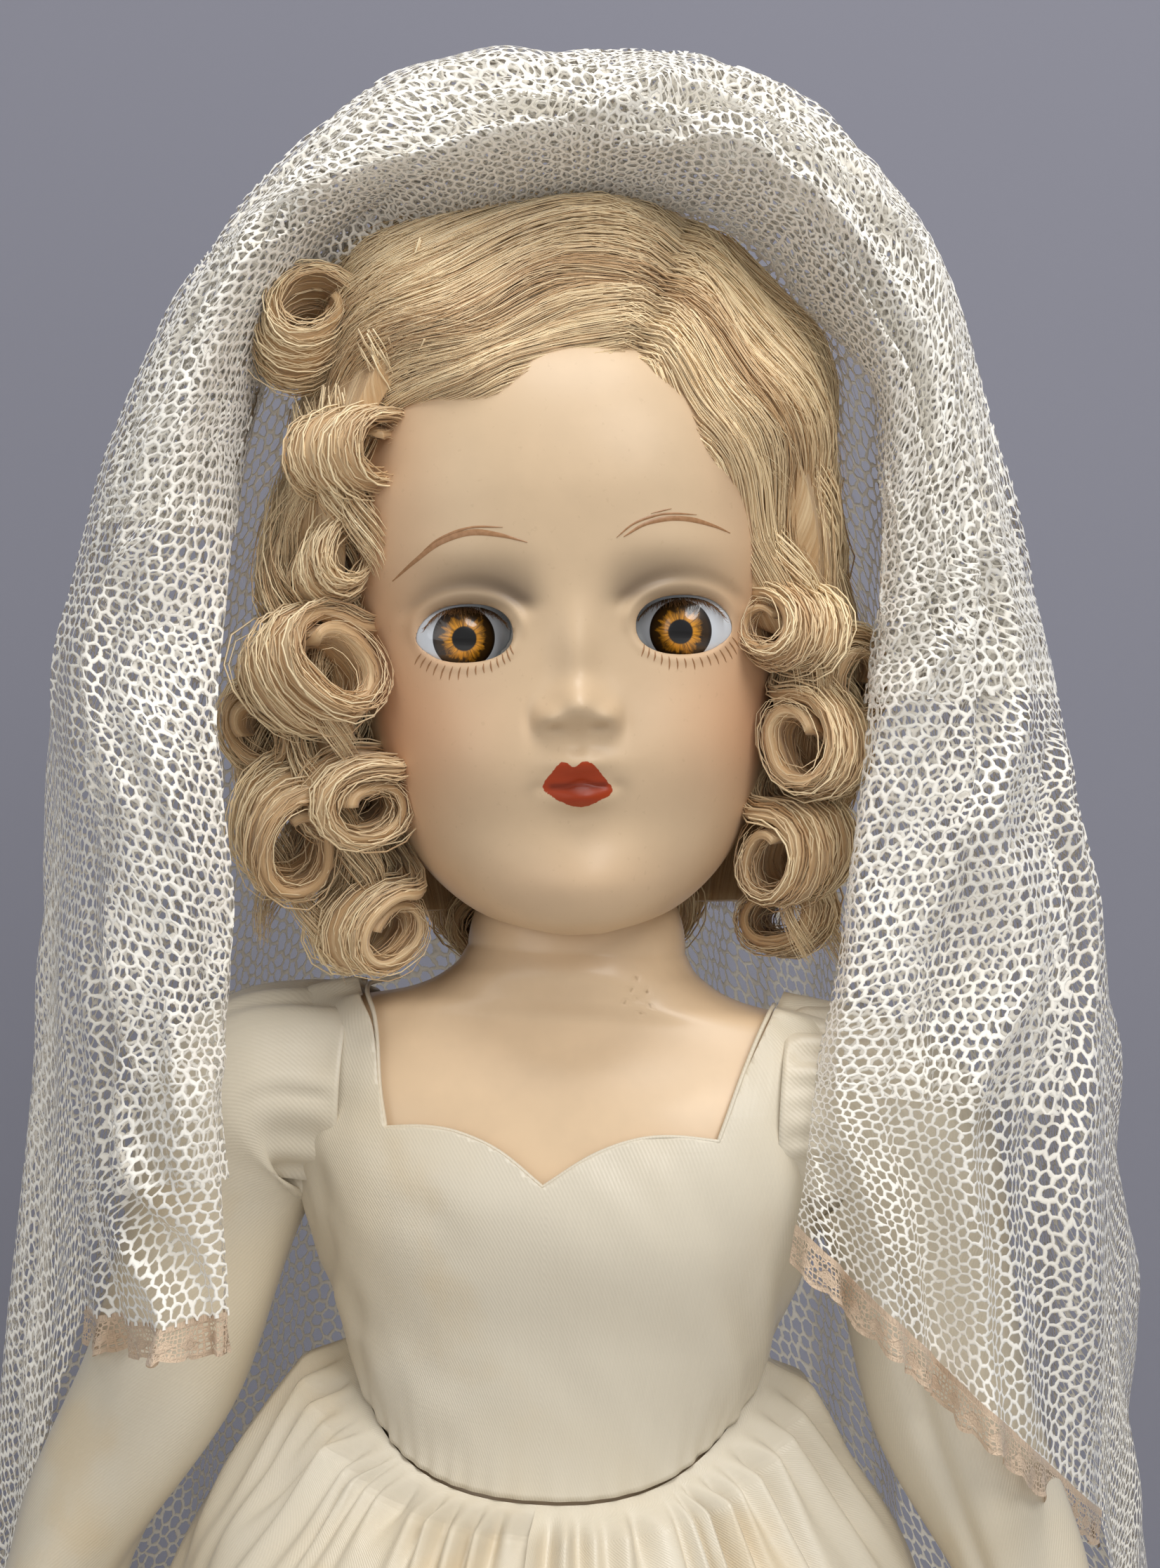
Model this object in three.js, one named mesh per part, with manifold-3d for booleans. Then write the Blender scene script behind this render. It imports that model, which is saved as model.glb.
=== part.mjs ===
// A strung composition doll, 533 mm to the top of its hair, in a satin wedding gown: sleep eyes on a
// weighted rocker, a curled mohair wig and a gathered net veil edged with lace.
// Millimetres, +Z up. The doll faces -Y and its own left side is at +X.

import * as THREE from "three";
import { mergeVertices } from "three/addons/utils/BufferGeometryUtils.js";
import Module from "manifold-3d";

const wasm = await Module();
wasm.setup();

// Walls, cloth and clearances
const GAP = 0.3;
const EASE = 0.5;
const CLOTH = 1;
const WALL = 3;
const CUT = 90;

// Torso: heights above the floor, then full widths and depths at those heights
const CROTCH_Z = 248;
const SEAT_Z = 268;
const HIP_Z = 290;
const WAIST_Z = 316;
const RIB_Z = 338;
const BUST_Z = 358;
const ARM_Z = 378;
const SHOULDER_Z = 393;
const SLOPE_Z = 397;
const NECK_BASE_Z = 401;
const BALL_Z = 405;
const CROTCH_WIDTH = 52;
const SEAT_WIDTH = 80;
const HIP_WIDTH = 76;
const WAIST_WIDTH = 60;
const RIB_WIDTH = 69;
const BUST_WIDTH = 84;
const CHEST_WIDTH = 97;
const SHOULDER_WIDTH = 94;
const SLOPE_WIDTH = 58;
const NECK_BASE_WIDTH = 43;
const NECK_WIDTH = 37.6;
const CROTCH_DEPTH = 26;
const SEAT_DEPTH = 52;
const HIP_DEPTH = 57;
const WAIST_DEPTH = 45;
const RIB_DEPTH = 47;
const BUST_DEPTH = 54;
const CHEST_DEPTH = 47;
const SHOULDER_DEPTH = 34;
const SLOPE_DEPTH = 37;
const NECK_BASE_DEPTH = 40;
const NECK_Y = 2;
const ARM_PLANE = 47;
const KNOB_HOLE = 7.5;

// Head, in its own upright place before it is turned and tilted on the neck
const HEAD_Z = 408.5;
const HEAD_HEIGHT = 112;
const HEAD_WIDTH = 80;
const FACE_DEPTH = 41;
const NAPE_DEPTH = 47;
const HEAD_TURN_DEG = 8;
const HEAD_TILT_DEG = -4.5;
const VEIL_TILT_DEG = -2.2;

// Sleep eyes
const EYE_SPACING = 37;
const EYE_RADIUS = 10.5;
const EYE_WIDTH = 16;
const EYE_HEIGHT = 10.2;
const EYE_INSET = 1.2;
const IRIS_WIDTH = 10.2;
const IRIS_DEPTH = 1.6;
const SOCKET_RADIUS = 13.4;
const SOCKET_DEPTH = 11;
const LASH_LENGTH = 4;
const LASH_THICK = 0.5;
const LASH_COUNT = 11;
const WEIGHT_RADIUS = 5.5;
const WEIGHT_LENGTH = 9;
const WEIGHT_DROP = 22;
const ROCKER_WIRE = 0.9;

// Arms and hands
const ARM_BALL = 15;
const ARM_CAP = 15.5;
const UPPER_ARM_RADIUS = 12.2;
const ELBOW_RADIUS = 9.8;
const FOREARM_RADIUS = 8.3;
const WRIST_RADIUS = 6;
const ARM_REACH = 40;
const WRIST_DROP = 133;
const HAND_LENGTH = 36;
const PALM_WIDTH = 15;
const PALM_THICK = 7.6;
const FINGER_LENGTH = 15;
const FINGER_THICK = 3.5;

// Legs
const LEG_RISE = 10;
const LEG_Z = CROTCH_Z + LEG_RISE;
const LEG_DISC = 23;
const CROTCH_BLOCK = 16;
const THIGH_X = 25;
const THIGH_WIDTH = 33;
const THIGH_DEPTH = 37;
const KNEE_Z = 143;
const KNEE_WIDTH = 26;
const CALF_Z = 108;
const CALF_WIDTH = 29;
const ANKLE_Z = 34;
const ANKLE_WIDTH = 19;
const ANKLE_X = 23;
const HIP_FORWARD_DEG = 82;
const HIP_BACK_DEG = 12;

// Feet, socks and shoes
const SOLE_LENGTH = 64;
const SOLE_WIDTH = 27;
const SOLE_THICK = 3;
const SHOE_HEIGHT = 17;
const SHOE_WALL = 1.2;
const HEEL_Y = 20;
const SOCK_TOP = 62;
const SOCK_CUFF = 12;
const STRAP_WIDTH = 5;

// Stringing
const CORD_RADIUS = 1.1;
const HOOK_WIRE = 0.8;
const HOOK_RING = 2.7;
const HOOK_SHANK = 13;
const HOOK_INSET = 7;
const NECK_BAR_RADIUS = 3.5;
const NECK_BAR_LIFT = 21;

// Gown
const SEAM_FRONT_Z = 314;
const SEAM_SIDE_Z = 336;
const NECKLINE_Z = 374;
const NECKLINE_DIP = 8;
const NECKLINE_WIDTH = 58;
const NECKLINE_TOP = 74;
const BACK_NECK_Z = 384;
const PLACKET_WIDTH = 9;
const PLACKET_LENGTH = 34;
const SNAP_RADIUS = 2.4;
const SNAP_COUNT = 2;
const HEM_Z = 1;
const HEM_RADIUS = 134;
const SKIRT_FOLDS = 12;
const SKIRT_FOLD_DEPTH = 15;
const PETTICOAT_Z = 62;
const PETTICOAT_RADIUS = 98;
const PETTICOAT_FOLDS = 8;
const PETTICOAT_FOLD_DEPTH = 7;
const PANTY_TOP_RISE = 12;
const PANTY_LEG_RISE = 3;
const PANTY_TOP = HIP_Z + PANTY_TOP_RISE;
const PANTY_LEG = SEAT_Z + PANTY_LEG_RISE;

// Wig
const CAP_THICK = 1;
const HAIR_DEPTH = 8;
const HAIR_WAVE = 1.6;
const CURL_RADIUS = 8.6;
const CURL_LENGTH = 19;
const CURL_BAND_SHARE = 0.2;
const CURL_TURNS = 1.7;

// Veil
const VEIL_HALF = 95;
const VEIL_RISE = 41.5;
const VEIL_TOP = HEAD_Z + HEAD_HEIGHT + VEIL_RISE;
const VEIL_DROP = 37;
const VEIL_FALL = VEIL_TOP - ARM_Z + VEIL_DROP;
const VEIL_HEM = 150;
const VEIL_HEM_HALF = 122;
const VEIL_HEM_BACK = 122;
const VEIL_HEM_FRONT = 32;
const VEIL_FRONT_Y = -25;
const VEIL_SEAM_Y = 13;
const VEIL_PUFF = 11;
const VEIL_FOLD = 3;
const VEIL_TUCK_Y = -10;
const VEIL_BACK_FOLDS = 8;
const LACE_WIDTH = 6.5;

// Facets
const TORSO_SIDES = 24;
const HEAD_SIDES = 36;
const LIMB_SIDES = 12;
const CAP_SIDES = 28;
const SKIRT_SIDES = 48;

const radians = THREE.MathUtils.degToRad;
const mix = THREE.MathUtils.lerp;
const at = (x, y, z) => new THREE.Vector3(x, y, z);
const X_AXIS = new THREE.Vector3(1, 0, 0);
const Y_AXIS = new THREE.Vector3(0, 1, 0);
const Z_AXIS = new THREE.Vector3(0, 0, 1);

// Materials, one to a finish
const finish = (color, roughness, metalness = 0) =>
  new THREE.MeshStandardMaterial({ color, roughness, metalness });
const COMPOSITION = finish(0xd9b78f, 0.38);
const SATIN = finish(0xe4dac2, 0.35);
const COTTON = finish(0xf1eee6, 0.9);
const NET = finish(0xe9e2cf, 0.9);
const LACE = finish(0xdcc09a, 0.9);
const MOHAIR = finish(0xc79f68, 0.6);
const BUCKRAM = finish(0xcdbb98, 0.95);
const EYE_WHITE = finish(0xe6eaee, 0.15);
const IRIS = finish(0x8a4a12, 0.1);
const LASH = finish(0x4a3017, 0.7);
const STEEL = finish(0x9a9a98, 0.4, 0.8);
const LEAD = finish(0x6d6f72, 0.6, 0.6);
const PLASTER = finish(0xe3ddd0, 0.95);
const WOOD = finish(0xb98e5c, 0.8);
const ELASTIC = finish(0xe8e2d4, 0.95);
const LEATHERETTE = finish(0xf0ece2, 0.45);
const SOLE = finish(0xb89468, 0.8);

// A closed mesh as a solid; a mesh that faces inwards is turned round.
function solid(geometry) {
  const bare = new THREE.BufferGeometry();
  const loose = geometry.index ? geometry.toNonIndexed() : geometry;
  bare.setAttribute("position", loose.getAttribute("position"));
  const merged = mergeVertices(bare);
  const corners = Array.from(merged.index.array);
  const place = merged.attributes.position;
  const vertex = (i) => new THREE.Vector3().fromBufferAttribute(place, i);
  const faces = [];
  let volume = 0;
  for (let i = 0; i < corners.length; i += 3) {
    const [a, b, c] = corners.slice(i, i + 3);
    if (a === b || b === c || c === a) continue;
    faces.push(a, b, c);
    volume += vertex(a).dot(vertex(b).cross(vertex(c)));
  }
  if (volume < 0) faces.reverse();
  return new wasm.Manifold(
    new wasm.Mesh({
      numProp: 3,
      vertProperties: place.array,
      triVerts: new Uint32Array(faces),
    }),
  );
}

const join = (...solids) => solids.reduce((whole, next) => whole.add(next));
const cut = (body, ...tools) => tools.reduce((left, tool) => left.subtract(tool), body);

// The two triangles of each quad between two runs of points that start at a and b.
function band(a, b, count, turned = false) {
  const faces = [];
  for (let j = 0; j < count; j++) {
    const k = (j + 1) % count;
    faces.push([a + j, a + k, b + k], [a + j, b + k, b + j]);
  }
  return turned ? faces.map(([p, q, r]) => [p, r, q]) : faces;
}

const meshOf = (points, faces) =>
  solid(new THREE.BufferGeometry().setFromPoints(points).setIndex(faces.flat()));

const middle = (ring) =>
  ring.reduce((sum, p) => sum.add(p), at(0, 0, 0)).divideScalar(ring.length);

// A solid through rings of points, with a fan over each end.
function loft(rings) {
  const n = rings[0].length;
  const last = (rings.length - 1) * n;
  const points = rings.flat();
  const faces = rings.slice(1).flatMap((_, i) => band(i * n, (i + 1) * n, n));
  const start = points.push(middle(rings[0])) - 1;
  const end = points.push(middle(rings.at(-1))) - 1;
  for (let j = 0; j < n; j++) {
    const k = (j + 1) % n;
    faces.push([start, k, j], [end, last + j, last + k]);
  }
  return meshOf(points, faces);
}

// A wall between outer and inner rings: open at the first ring, and closed by a dome or open at the last.
function wall(outer, inner, domed = false) {
  const n = outer[0].length;
  const rows = outer.length;
  const points = [...outer.flat(), ...inner.flat()];
  const far = rows * n;
  const faces = [];
  for (let i = 0; i + 1 < rows; i++) {
    faces.push(...band(i * n, (i + 1) * n, n));
    faces.push(...band(far + i * n, far + (i + 1) * n, n, true));
  }
  faces.push(...band(0, far, n, true));
  const last = (rows - 1) * n;
  if (!domed) {
    faces.push(...band(last, far + last, n));
    return meshOf(points, faces);
  }
  const top = points.push(middle(outer.at(-1))) - 1;
  const under = points.push(middle(inner.at(-1))) - 1;
  for (let j = 0; j < n; j++) {
    const k = (j + 1) % n;
    faces.push([top, last + j, last + k], [under, far + last + k, far + last + j]);
  }
  return meshOf(points, faces);
}

// A sheet of cloth: rows of points, thickened evenly to both sides along the normals.
function sheet(rows, thickness = CLOTH) {
  const m = rows[0].length;
  const last = rows.length - 1;
  const rings = rows.map((row, i) => {
    const normal = row.map((_, j) => {
      const across = row[Math.min(j + 1, m - 1)].clone().sub(row[Math.max(j - 1, 0)]);
      const along = rows[Math.min(i + 1, last)][j].clone().sub(rows[Math.max(i - 1, 0)][j]);
      return across.cross(along).setLength(thickness / 2);
    });
    const front = row.map((p, j) => p.clone().add(normal[j]));
    const back = row.map((p, j) => p.clone().sub(normal[j])).reverse();
    return [...front, ...back];
  });
  const n = 2 * m;
  const faces = rings.slice(1).flatMap((_, i) => band(i * n, (i + 1) * n, n));
  const far = last * n;
  for (let j = 0; j + 1 < m; j++) {
    const [a, b, c, d] = [j, j + 1, n - 2 - j, n - 1 - j];
    faces.push([c, b, a], [d, c, a]);
    faces.push([far + a, far + b, far + c], [far + a, far + c, far + d]);
  }
  return meshOf(rings.flat(), faces);
}

// A signed power: the corner rule of a superellipse.
const bulge = (v, power) => Math.sign(v) * Math.abs(v) ** (2 / power);

// A level oval; its points start at the front and run towards +X.
function oval(centre, halfWidth, halfDepth, sides, power = 2) {
  return Array.from({ length: sides }, (_, i) => {
    const turn = (2 * Math.PI * i) / sides;
    const x = centre.x + halfWidth * bulge(Math.sin(turn), power);
    const y = centre.y - halfDepth * bulge(Math.cos(turn), power);
    return at(x, y, centre.z);
  });
}

// A smooth reading of a table at x: each row is x and then the values there.
function reading(rows, x) {
  const last = rows.length - 1;
  const clamped = THREE.MathUtils.clamp(x, rows[0][0], rows[last][0]);
  const i = Math.min(rows.findLastIndex((row) => row[0] <= clamped), last - 1);
  const [a, b] = [rows[i], rows[i + 1]];
  const span = b[0] - a[0];
  const t = (clamped - a[0]) / span;
  const slope = (k, column) => {
    const [before, after] = [rows[Math.max(k - 1, 0)], rows[Math.min(k + 1, last)]];
    return (after[column] - before[column]) / (after[0] - before[0]);
  };
  return a.slice(1).map((value, j) => {
    const rise = b[j + 1] - value;
    const out = slope(i, j + 1) * span - rise;
    const into = rise - slope(i + 1, j + 1) * span;
    return value + rise * t + t * (1 - t) * ((1 - t) * out + t * into);
  });
}

// Even steps from a to b, both included.
const steps = (a, b, count) =>
  Array.from({ length: count + 1 }, (_, i) => mix(a, b, i / count));

// A limb: ovals square to a path, each station giving a centre, half its width and half its depth.
function limb(stations, sides, grow = 0) {
  return loft(limbRings(stations, sides, grow));
}

function limbRings(stations, sides, grow = 0) {
  return stations.map(([centre, halfWidth, halfDepth], i) => {
    const before = stations[Math.max(i - 1, 0)][0];
    const after = stations[Math.min(i + 1, stations.length - 1)][0];
    const along = after.clone().sub(before).normalize();
    const across = along.clone().cross(Y_AXIS).normalize();
    const ahead = along.clone().cross(across);
    return Array.from({ length: sides }, (_, k) => {
      const turn = (2 * Math.PI * k) / sides;
      return centre
        .clone()
        .addScaledVector(across, (halfWidth + grow) * Math.sin(turn))
        .addScaledVector(ahead, (halfDepth + grow) * Math.cos(turn));
    });
  });
}

const circle = (radius, sides) =>
  new THREE.Shape(
    Array.from({ length: sides }, (_, i) => {
      const turn = (2 * Math.PI * i) / sides;
      return new THREE.Vector2(radius * Math.cos(turn), radius * Math.sin(turn));
    }),
  );

// A round wire or cord along a smooth path.
function tube(points, radius, count, sides = 8) {
  const extrudePath = new THREE.CatmullRomCurve3(points);
  return solid(new THREE.ExtrudeGeometry(circle(radius, sides), { steps: count, extrudePath }));
}

// A flat outline drawn in X and Z, extruded along Y.
function prismY(shape, from, to, curveSegments = 8) {
  const prism = new THREE.ExtrudeGeometry(shape, {
    depth: to - from,
    bevelEnabled: false,
    curveSegments,
  });
  return solid(prism.rotateX(Math.PI / 2).translate(0, to, 0));
}

// A flat outline drawn in Y and Z, extruded along X.
function prismX(shape, from, to, curveSegments = 8) {
  const prism = new THREE.ExtrudeGeometry(shape, {
    depth: to - from,
    bevelEnabled: false,
    curveSegments,
  });
  prism.applyMatrix4(new THREE.Matrix4().makeBasis(Y_AXIS, Z_AXIS, X_AXIS));
  return solid(prism.translate(from, 0, 0));
}

function box(low, high) {
  const size = high.clone().sub(low);
  const centre = high.clone().add(low).divideScalar(2);
  return solid(new THREE.BoxGeometry(size.x, size.y, size.z).translate(...centre));
}

function ball(centre, radius, sides = 18) {
  const sphere = new THREE.SphereGeometry(radius, sides, sides / 2);
  return solid(sphere.rotateX(Math.PI / 2).translate(...centre));
}

// A revolved profile of radius and distance pairs along an axis through a centre.
function turned(profile, axis, centre, sides) {
  const points = profile.map(([radius, along]) => new THREE.Vector2(radius, along));
  const lathe = new THREE.LatheGeometry(points, sides);
  const turn = new THREE.Quaternion().setFromUnitVectors(Y_AXIS, axis);
  return solid(lathe.applyQuaternion(turn).translate(...centre));
}

const rod = (radius, from, to, sides = 12) => {
  const way = to.clone().sub(from);
  const length = way.length();
  const profile = [[0, 0], [radius, 0], [radius, length], [0, length]];
  return turned(profile, way.normalize(), from, sides);
};

const doll = new THREE.Group();

// Adds a solid to a group as a named mesh.
function add(group, name, shape, material) {
  const { vertProperties, triVerts } = shape.getMesh();
  const geometry = new THREE.BufferGeometry();
  geometry.setAttribute("position", new THREE.BufferAttribute(vertProperties, 3));
  geometry.setIndex(new THREE.BufferAttribute(triVerts, 1));
  geometry.computeVertexNormals();
  const mesh = new THREE.Mesh(geometry, material);
  mesh.name = name;
  group.add(mesh);
}

const SIDES = [["right", -1], ["left", 1]];

// A group for the pieces of one side; those of the doll's right mirror those of its left.
function sideGroup(group, side) {
  const half = new THREE.Group();
  half.scale.x = side;
  group.add(half);
  return half;
}

// The torso's outline: height, half width and half depth
const BODY = [
  [CROTCH_Z, CROTCH_WIDTH / 2, CROTCH_DEPTH / 2],
  [SEAT_Z, SEAT_WIDTH / 2, SEAT_DEPTH / 2],
  [HIP_Z, HIP_WIDTH / 2, HIP_DEPTH / 2],
  [WAIST_Z, WAIST_WIDTH / 2, WAIST_DEPTH / 2],
  [RIB_Z, RIB_WIDTH / 2, RIB_DEPTH / 2],
  [BUST_Z, BUST_WIDTH / 2, BUST_DEPTH / 2],
  [ARM_Z, CHEST_WIDTH / 2, CHEST_DEPTH / 2],
  [SHOULDER_Z, SHOULDER_WIDTH / 2, SHOULDER_DEPTH / 2],
  [SLOPE_Z, SLOPE_WIDTH / 2, SLOPE_DEPTH / 2],
  [NECK_BASE_Z, NECK_BASE_WIDTH / 2, NECK_BASE_DEPTH / 2],
  [BALL_Z, NECK_WIDTH / 2, NECK_WIDTH / 2],
];
const BODY_POWER = 2.3;
const BALL_RADIUS = NECK_WIDTH / 2;
const BALL = at(0, NECK_Y, BALL_Z);

// The torso is centred on Y below the bust and drifts back to the neck above it.
const bodyY = (z) => NECK_Y * THREE.MathUtils.smoothstep(z, BUST_Z, NECK_BASE_Z);
const bodyPower = (z) => mix(BODY_POWER, 2, THREE.MathUtils.smoothstep(z, ARM_Z, NECK_BASE_Z));

// A ring round the torso at one height. Standing out from the skin, it also rises over the shoulders.
function bodyRing(z, out = 0, sides = TORSO_SIDES) {
  const [halfWidth, halfDepth] = reading(BODY, z);
  const lift = out * THREE.MathUtils.smoothstep(z, ARM_Z, SHOULDER_Z);
  const centre = at(0, bodyY(z), z + lift);
  return oval(centre, halfWidth + out, halfDepth + out, sides, bodyPower(z));
}

// Heights of the torso's rings from the bust to the neck
const UPPER_LEVELS = [
  ...steps(BUST_Z, SHOULDER_Z, 3),
  mix(SHOULDER_Z, SLOPE_Z, 0.5),
  SLOPE_Z,
  NECK_BASE_Z,
  BALL_Z,
];

// The well that a thigh swings in, seen along the hip's axis: a disc, and the sector that the thigh sweeps.
function swingWell(clear) {
  const half = THIGH_DEPTH / 2 + clear;
  const reach = CUT / 2;
  const edge = (degrees, side) => {
    const a = radians(degrees);
    const out = [side * Math.cos(a) * half, -side * Math.sin(a) * half];
    const down = [-Math.sin(a) * reach, -Math.cos(a) * reach];
    return [out, [out[0] + down[0], out[1] + down[1]]];
  };
  const front = edge(HIP_FORWARD_DEG, -1);
  const back = edge(-HIP_BACK_DEG, 1);
  const corners = [front[0], front[1], [front[1][0], -reach], back[1], back[0]];
  return new THREE.Shape(corners.map(([y, z]) => new THREE.Vector2(y, z + LEG_Z)));
}

function torsoShell() {
  const low = [CROTCH_Z, LEG_Z, SEAT_Z, HIP_Z, mix(HIP_Z, WAIST_Z, 0.5), WAIST_Z];
  low.push(mix(WAIST_Z, RIB_Z, 0.5), RIB_Z);
  const knobShares = [0.3, 0.55, 0.75];
  const knob = knobShares.map((share) => {
    const rise = BALL_RADIUS * share;
    const radius = Math.sqrt(BALL_RADIUS ** 2 - rise ** 2);
    return oval(at(0, NECK_Y, BALL_Z + rise), radius, radius, TORSO_SIDES);
  });
  const outer = loft([...[...low, ...UPPER_LEVELS].map((z) => bodyRing(z)), ...knob]);
  const inside = [SEAT_Z, HIP_Z, WAIST_Z, RIB_Z, BUST_Z, ARM_Z, SHOULDER_Z];
  const inner = loft(inside.map((z) => bodyRing(z, -WALL, TORSO_SIDES / 2)));
  const neckBore = rod(KNOB_HOLE, at(0, NECK_Y, ARM_Z), at(0, NECK_Y, BALL_Z + CUT));
  const legBore = rod(KNOB_HOLE, at(0, 0, LEG_Z), at(0, 0, WAIST_Z));
  const armBore = rod(KNOB_HOLE, at(-CUT, 0, ARM_Z), at(CUT, 0, ARM_Z));
  const hipBore = rod(KNOB_HOLE, at(-CUT, 0, LEG_Z), at(CUT, 0, LEG_Z));
  const wells = SIDES.flatMap(([, side]) => {
    const [a, b] = [side * (CROTCH_BLOCK / 2), side * CUT].sort((p, q) => p - q);
    const disc = rod(LEG_DISC + EASE, at(a, 0, LEG_Z), at(b, 0, LEG_Z), 1.5 * LIMB_SIDES);
    return [prismX(swingWell(EASE), a, b), disc];
  });
  const between = box(at(-ARM_PLANE, -CUT, 0), at(ARM_PLANE, CUT, BALL_Z + CUT));
  return cut(outer, inner, neckBore, legBore, armBore, hipBore, ...wells).intersect(between);
}

// The torso is pressed in two halves, which meet along the sides.
function buildTorso(group) {
  const shell = torsoShell();
  const front = box(at(-CUT, -CUT, 0), at(CUT, -GAP / 2, BALL_Z + CUT));
  const back = box(at(-CUT, GAP / 2, 0), at(CUT, CUT, BALL_Z + CUT));
  add(group, "torso_front", shell.intersect(front), COMPOSITION);
  add(group, "torso_back", shell.intersect(back), COMPOSITION);
}

// Head outline: height share, then shares of the half width, of the depth ahead and of the depth behind
const HEAD_SHARES = [
  [0, 0.1, 0.62, -0.3],
  [0.012, 0.26, 0.76, 0.1],
  [0.03, 0.4, 0.82, 0.33],
  [0.065, 0.54, 0.86, 0.48],
  [0.11, 0.655, 0.87, 0.6],
  [0.17, 0.755, 0.865, 0.73],
  [0.235, 0.825, 0.885, 0.85],
  [0.32, 0.88, 0.91, 0.94],
  [0.45, 0.94, 0.93, 0.99],
  [0.57, 1, 0.98, 1],
  [0.68, 0.99, 1, 0.965],
  [0.79, 0.9, 0.93, 0.85],
  [0.88, 0.74, 0.77, 0.66],
  [0.95, 0.5, 0.5, 0.42],
  [0.985, 0.27, 0.26, 0.22],
  [1, 0.08, 0.07, 0.06],
];
const HEAD_POWER = 2.35;

// Swellings of the face, each a bell: place across and up, spread across and up, and how proud it stands
const FACE_SHARES = [
  [0, 0.338, 0.105, 0.032, 0.066],
  [0, 0.415, 0.085, 0.071, 0.03],
  [0.115, 0.322, 0.06, 0.02, 0.027],
  [0, 0.256, 0.125, 0.018, 0.022],
  [0, 0.203, 0.105, 0.017, 0.026],
  [0, 0.245, 0.275, 0.071, 0.03],
  [0, 0.076, 0.21, 0.058, 0.032],
  [0.475, 0.254, 0.275, 0.098, 0.036],
  [0.45, 0.475, 0.225, 0.05, -0.02],
  [0.43, 0.567, 0.25, 0.036, 0.01],
];

function faceRelief(x, share) {
  const across = Math.abs(x) / (HEAD_WIDTH / 2);
  return FACE_SHARES.reduce((sum, [place, height, spread, rise, proud]) => {
    const bell = ((across - place) / spread) ** 2 + ((share - height) / rise) ** 2;
    return sum + proud * HEAD_WIDTH * Math.exp(-bell);
  }, 0);
}

const HEAD_CENTRE_SHARE = 0.5;
const HEAD_CENTRE = at(0, 0, HEAD_Z + HEAD_HEIGHT * HEAD_CENTRE_SHARE);

// A point of the head's skin: turn is 0 at the face and grows towards +X. It can stand out from the skin.
function headPoint(turn, share, out = 0, featured = true) {
  const [width, ahead, behind] = reading(HEAD_SHARES, share);
  const middleY = (behind * NAPE_DEPTH - ahead * FACE_DEPTH) / 2;
  const halfDepth = (behind * NAPE_DEPTH + ahead * FACE_DEPTH) / 2;
  const x = ((width * HEAD_WIDTH) / 2) * bulge(Math.sin(turn), HEAD_POWER);
  const facing = THREE.MathUtils.smoothstep(Math.cos(turn), 0, 0.5);
  const relief = featured ? facing * faceRelief(x, share) : 0;
  const y = middleY - halfDepth * bulge(Math.cos(turn), HEAD_POWER) - relief;
  const p = at(x, y, HEAD_Z + share * HEAD_HEIGHT);
  const away = p.clone().sub(HEAD_CENTRE);
  return p.add(away.setLength(out));
}

// Turns round the head, closer together over the face.
const HEAD_TURNS = Array.from({ length: HEAD_SIDES }, (_, i) => {
  const u = (2 * i) / HEAD_SIDES - 1;
  return Math.PI * (0.4 * u + 0.6 * u ** 3);
});
const EVEN_TURNS = Array.from({ length: HEAD_SIDES / 2 }, (_, i) => {
  return ((4 * i) / HEAD_SIDES - 1) * Math.PI;
});

const headRing = (share, out, turns, featured) =>
  turns.map((turn) => headPoint(turn, share, out, featured));

const EYE_SHARE = 0.455;
const EYE_Z = HEAD_Z + EYE_SHARE * HEAD_HEIGHT;

// How far forward the face lies beside the nose at a given place across.
function faceY(x, share) {
  const [width] = reading(HEAD_SHARES, share);
  const sine = (Math.abs(x) / ((width * HEAD_WIDTH) / 2)) ** (HEAD_POWER / 2);
  return headPoint(Math.asin(sine), share).y;
}

const EYE_Y = faceY(EYE_SPACING / 2, EYE_SHARE) + EYE_INSET + EYE_RADIUS;
const eyeCentre = (side) => at((side * EYE_SPACING) / 2, EYE_Y, EYE_Z);

function eyeOpening(side, grow) {
  const [halfWidth, halfHeight] = [EYE_WIDTH / 2 + grow, EYE_HEIGHT / 2 + grow];
  const outline = new THREE.Shape();
  outline.absellipse((side * EYE_SPACING) / 2, EYE_Z, halfWidth, halfHeight, 0, 2 * Math.PI);
  return prismY(outline, -CUT, EYE_Y, 12);
}

function headCavity(inset) {
  const shares = [0.065, 0.14, 0.3, 0.45, 0.6, 0.74, 0.86, 0.95];
  return loft(shares.map((share) => headRing(share, -inset, EVEN_TURNS, false)));
}

// Heights of the head's rings, closer together at the mouth and nose
const FACE_LEVELS = [
  0, 0.02, 0.05, 0.08, 0.11, 0.145, 0.175, 0.2, 0.218, 0.232, 0.25, 0.27, 0.295, 0.32, 0.342,
  0.365, 0.4, 0.45, 0.51, 0.58, 0.68, 0.77, 0.86, 0.93, 0.975, 1,
];

function headShell() {
  const outer = loft(FACE_LEVELS.map((share) => headRing(share, 0, HEAD_TURNS, true)));
  const socket = ball(BALL, BALL_RADIUS + GAP, 36);
  const eyes = SIDES.flatMap(([, side]) => [
    eyeOpening(side, 0),
    ball(eyeCentre(side), EYE_RADIUS + EASE),
  ]);
  return cut(outer, headCavity(WALL), socket, ...eyes);
}

// The head is pressed in a face half and a back half, with the wig over the joint.
function buildHead(group) {
  const shell = headShell();
  const seamY = NECK_Y + WALL;
  const face = box(at(-CUT, -CUT, 0), at(CUT, seamY, VEIL_TOP));
  const back = box(at(-CUT, seamY + GAP, 0), at(CUT, CUT, VEIL_TOP));
  add(group, "head_face", shell.intersect(face), COMPOSITION);
  add(group, "head_back", shell.intersect(back), COMPOSITION);
}

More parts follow.
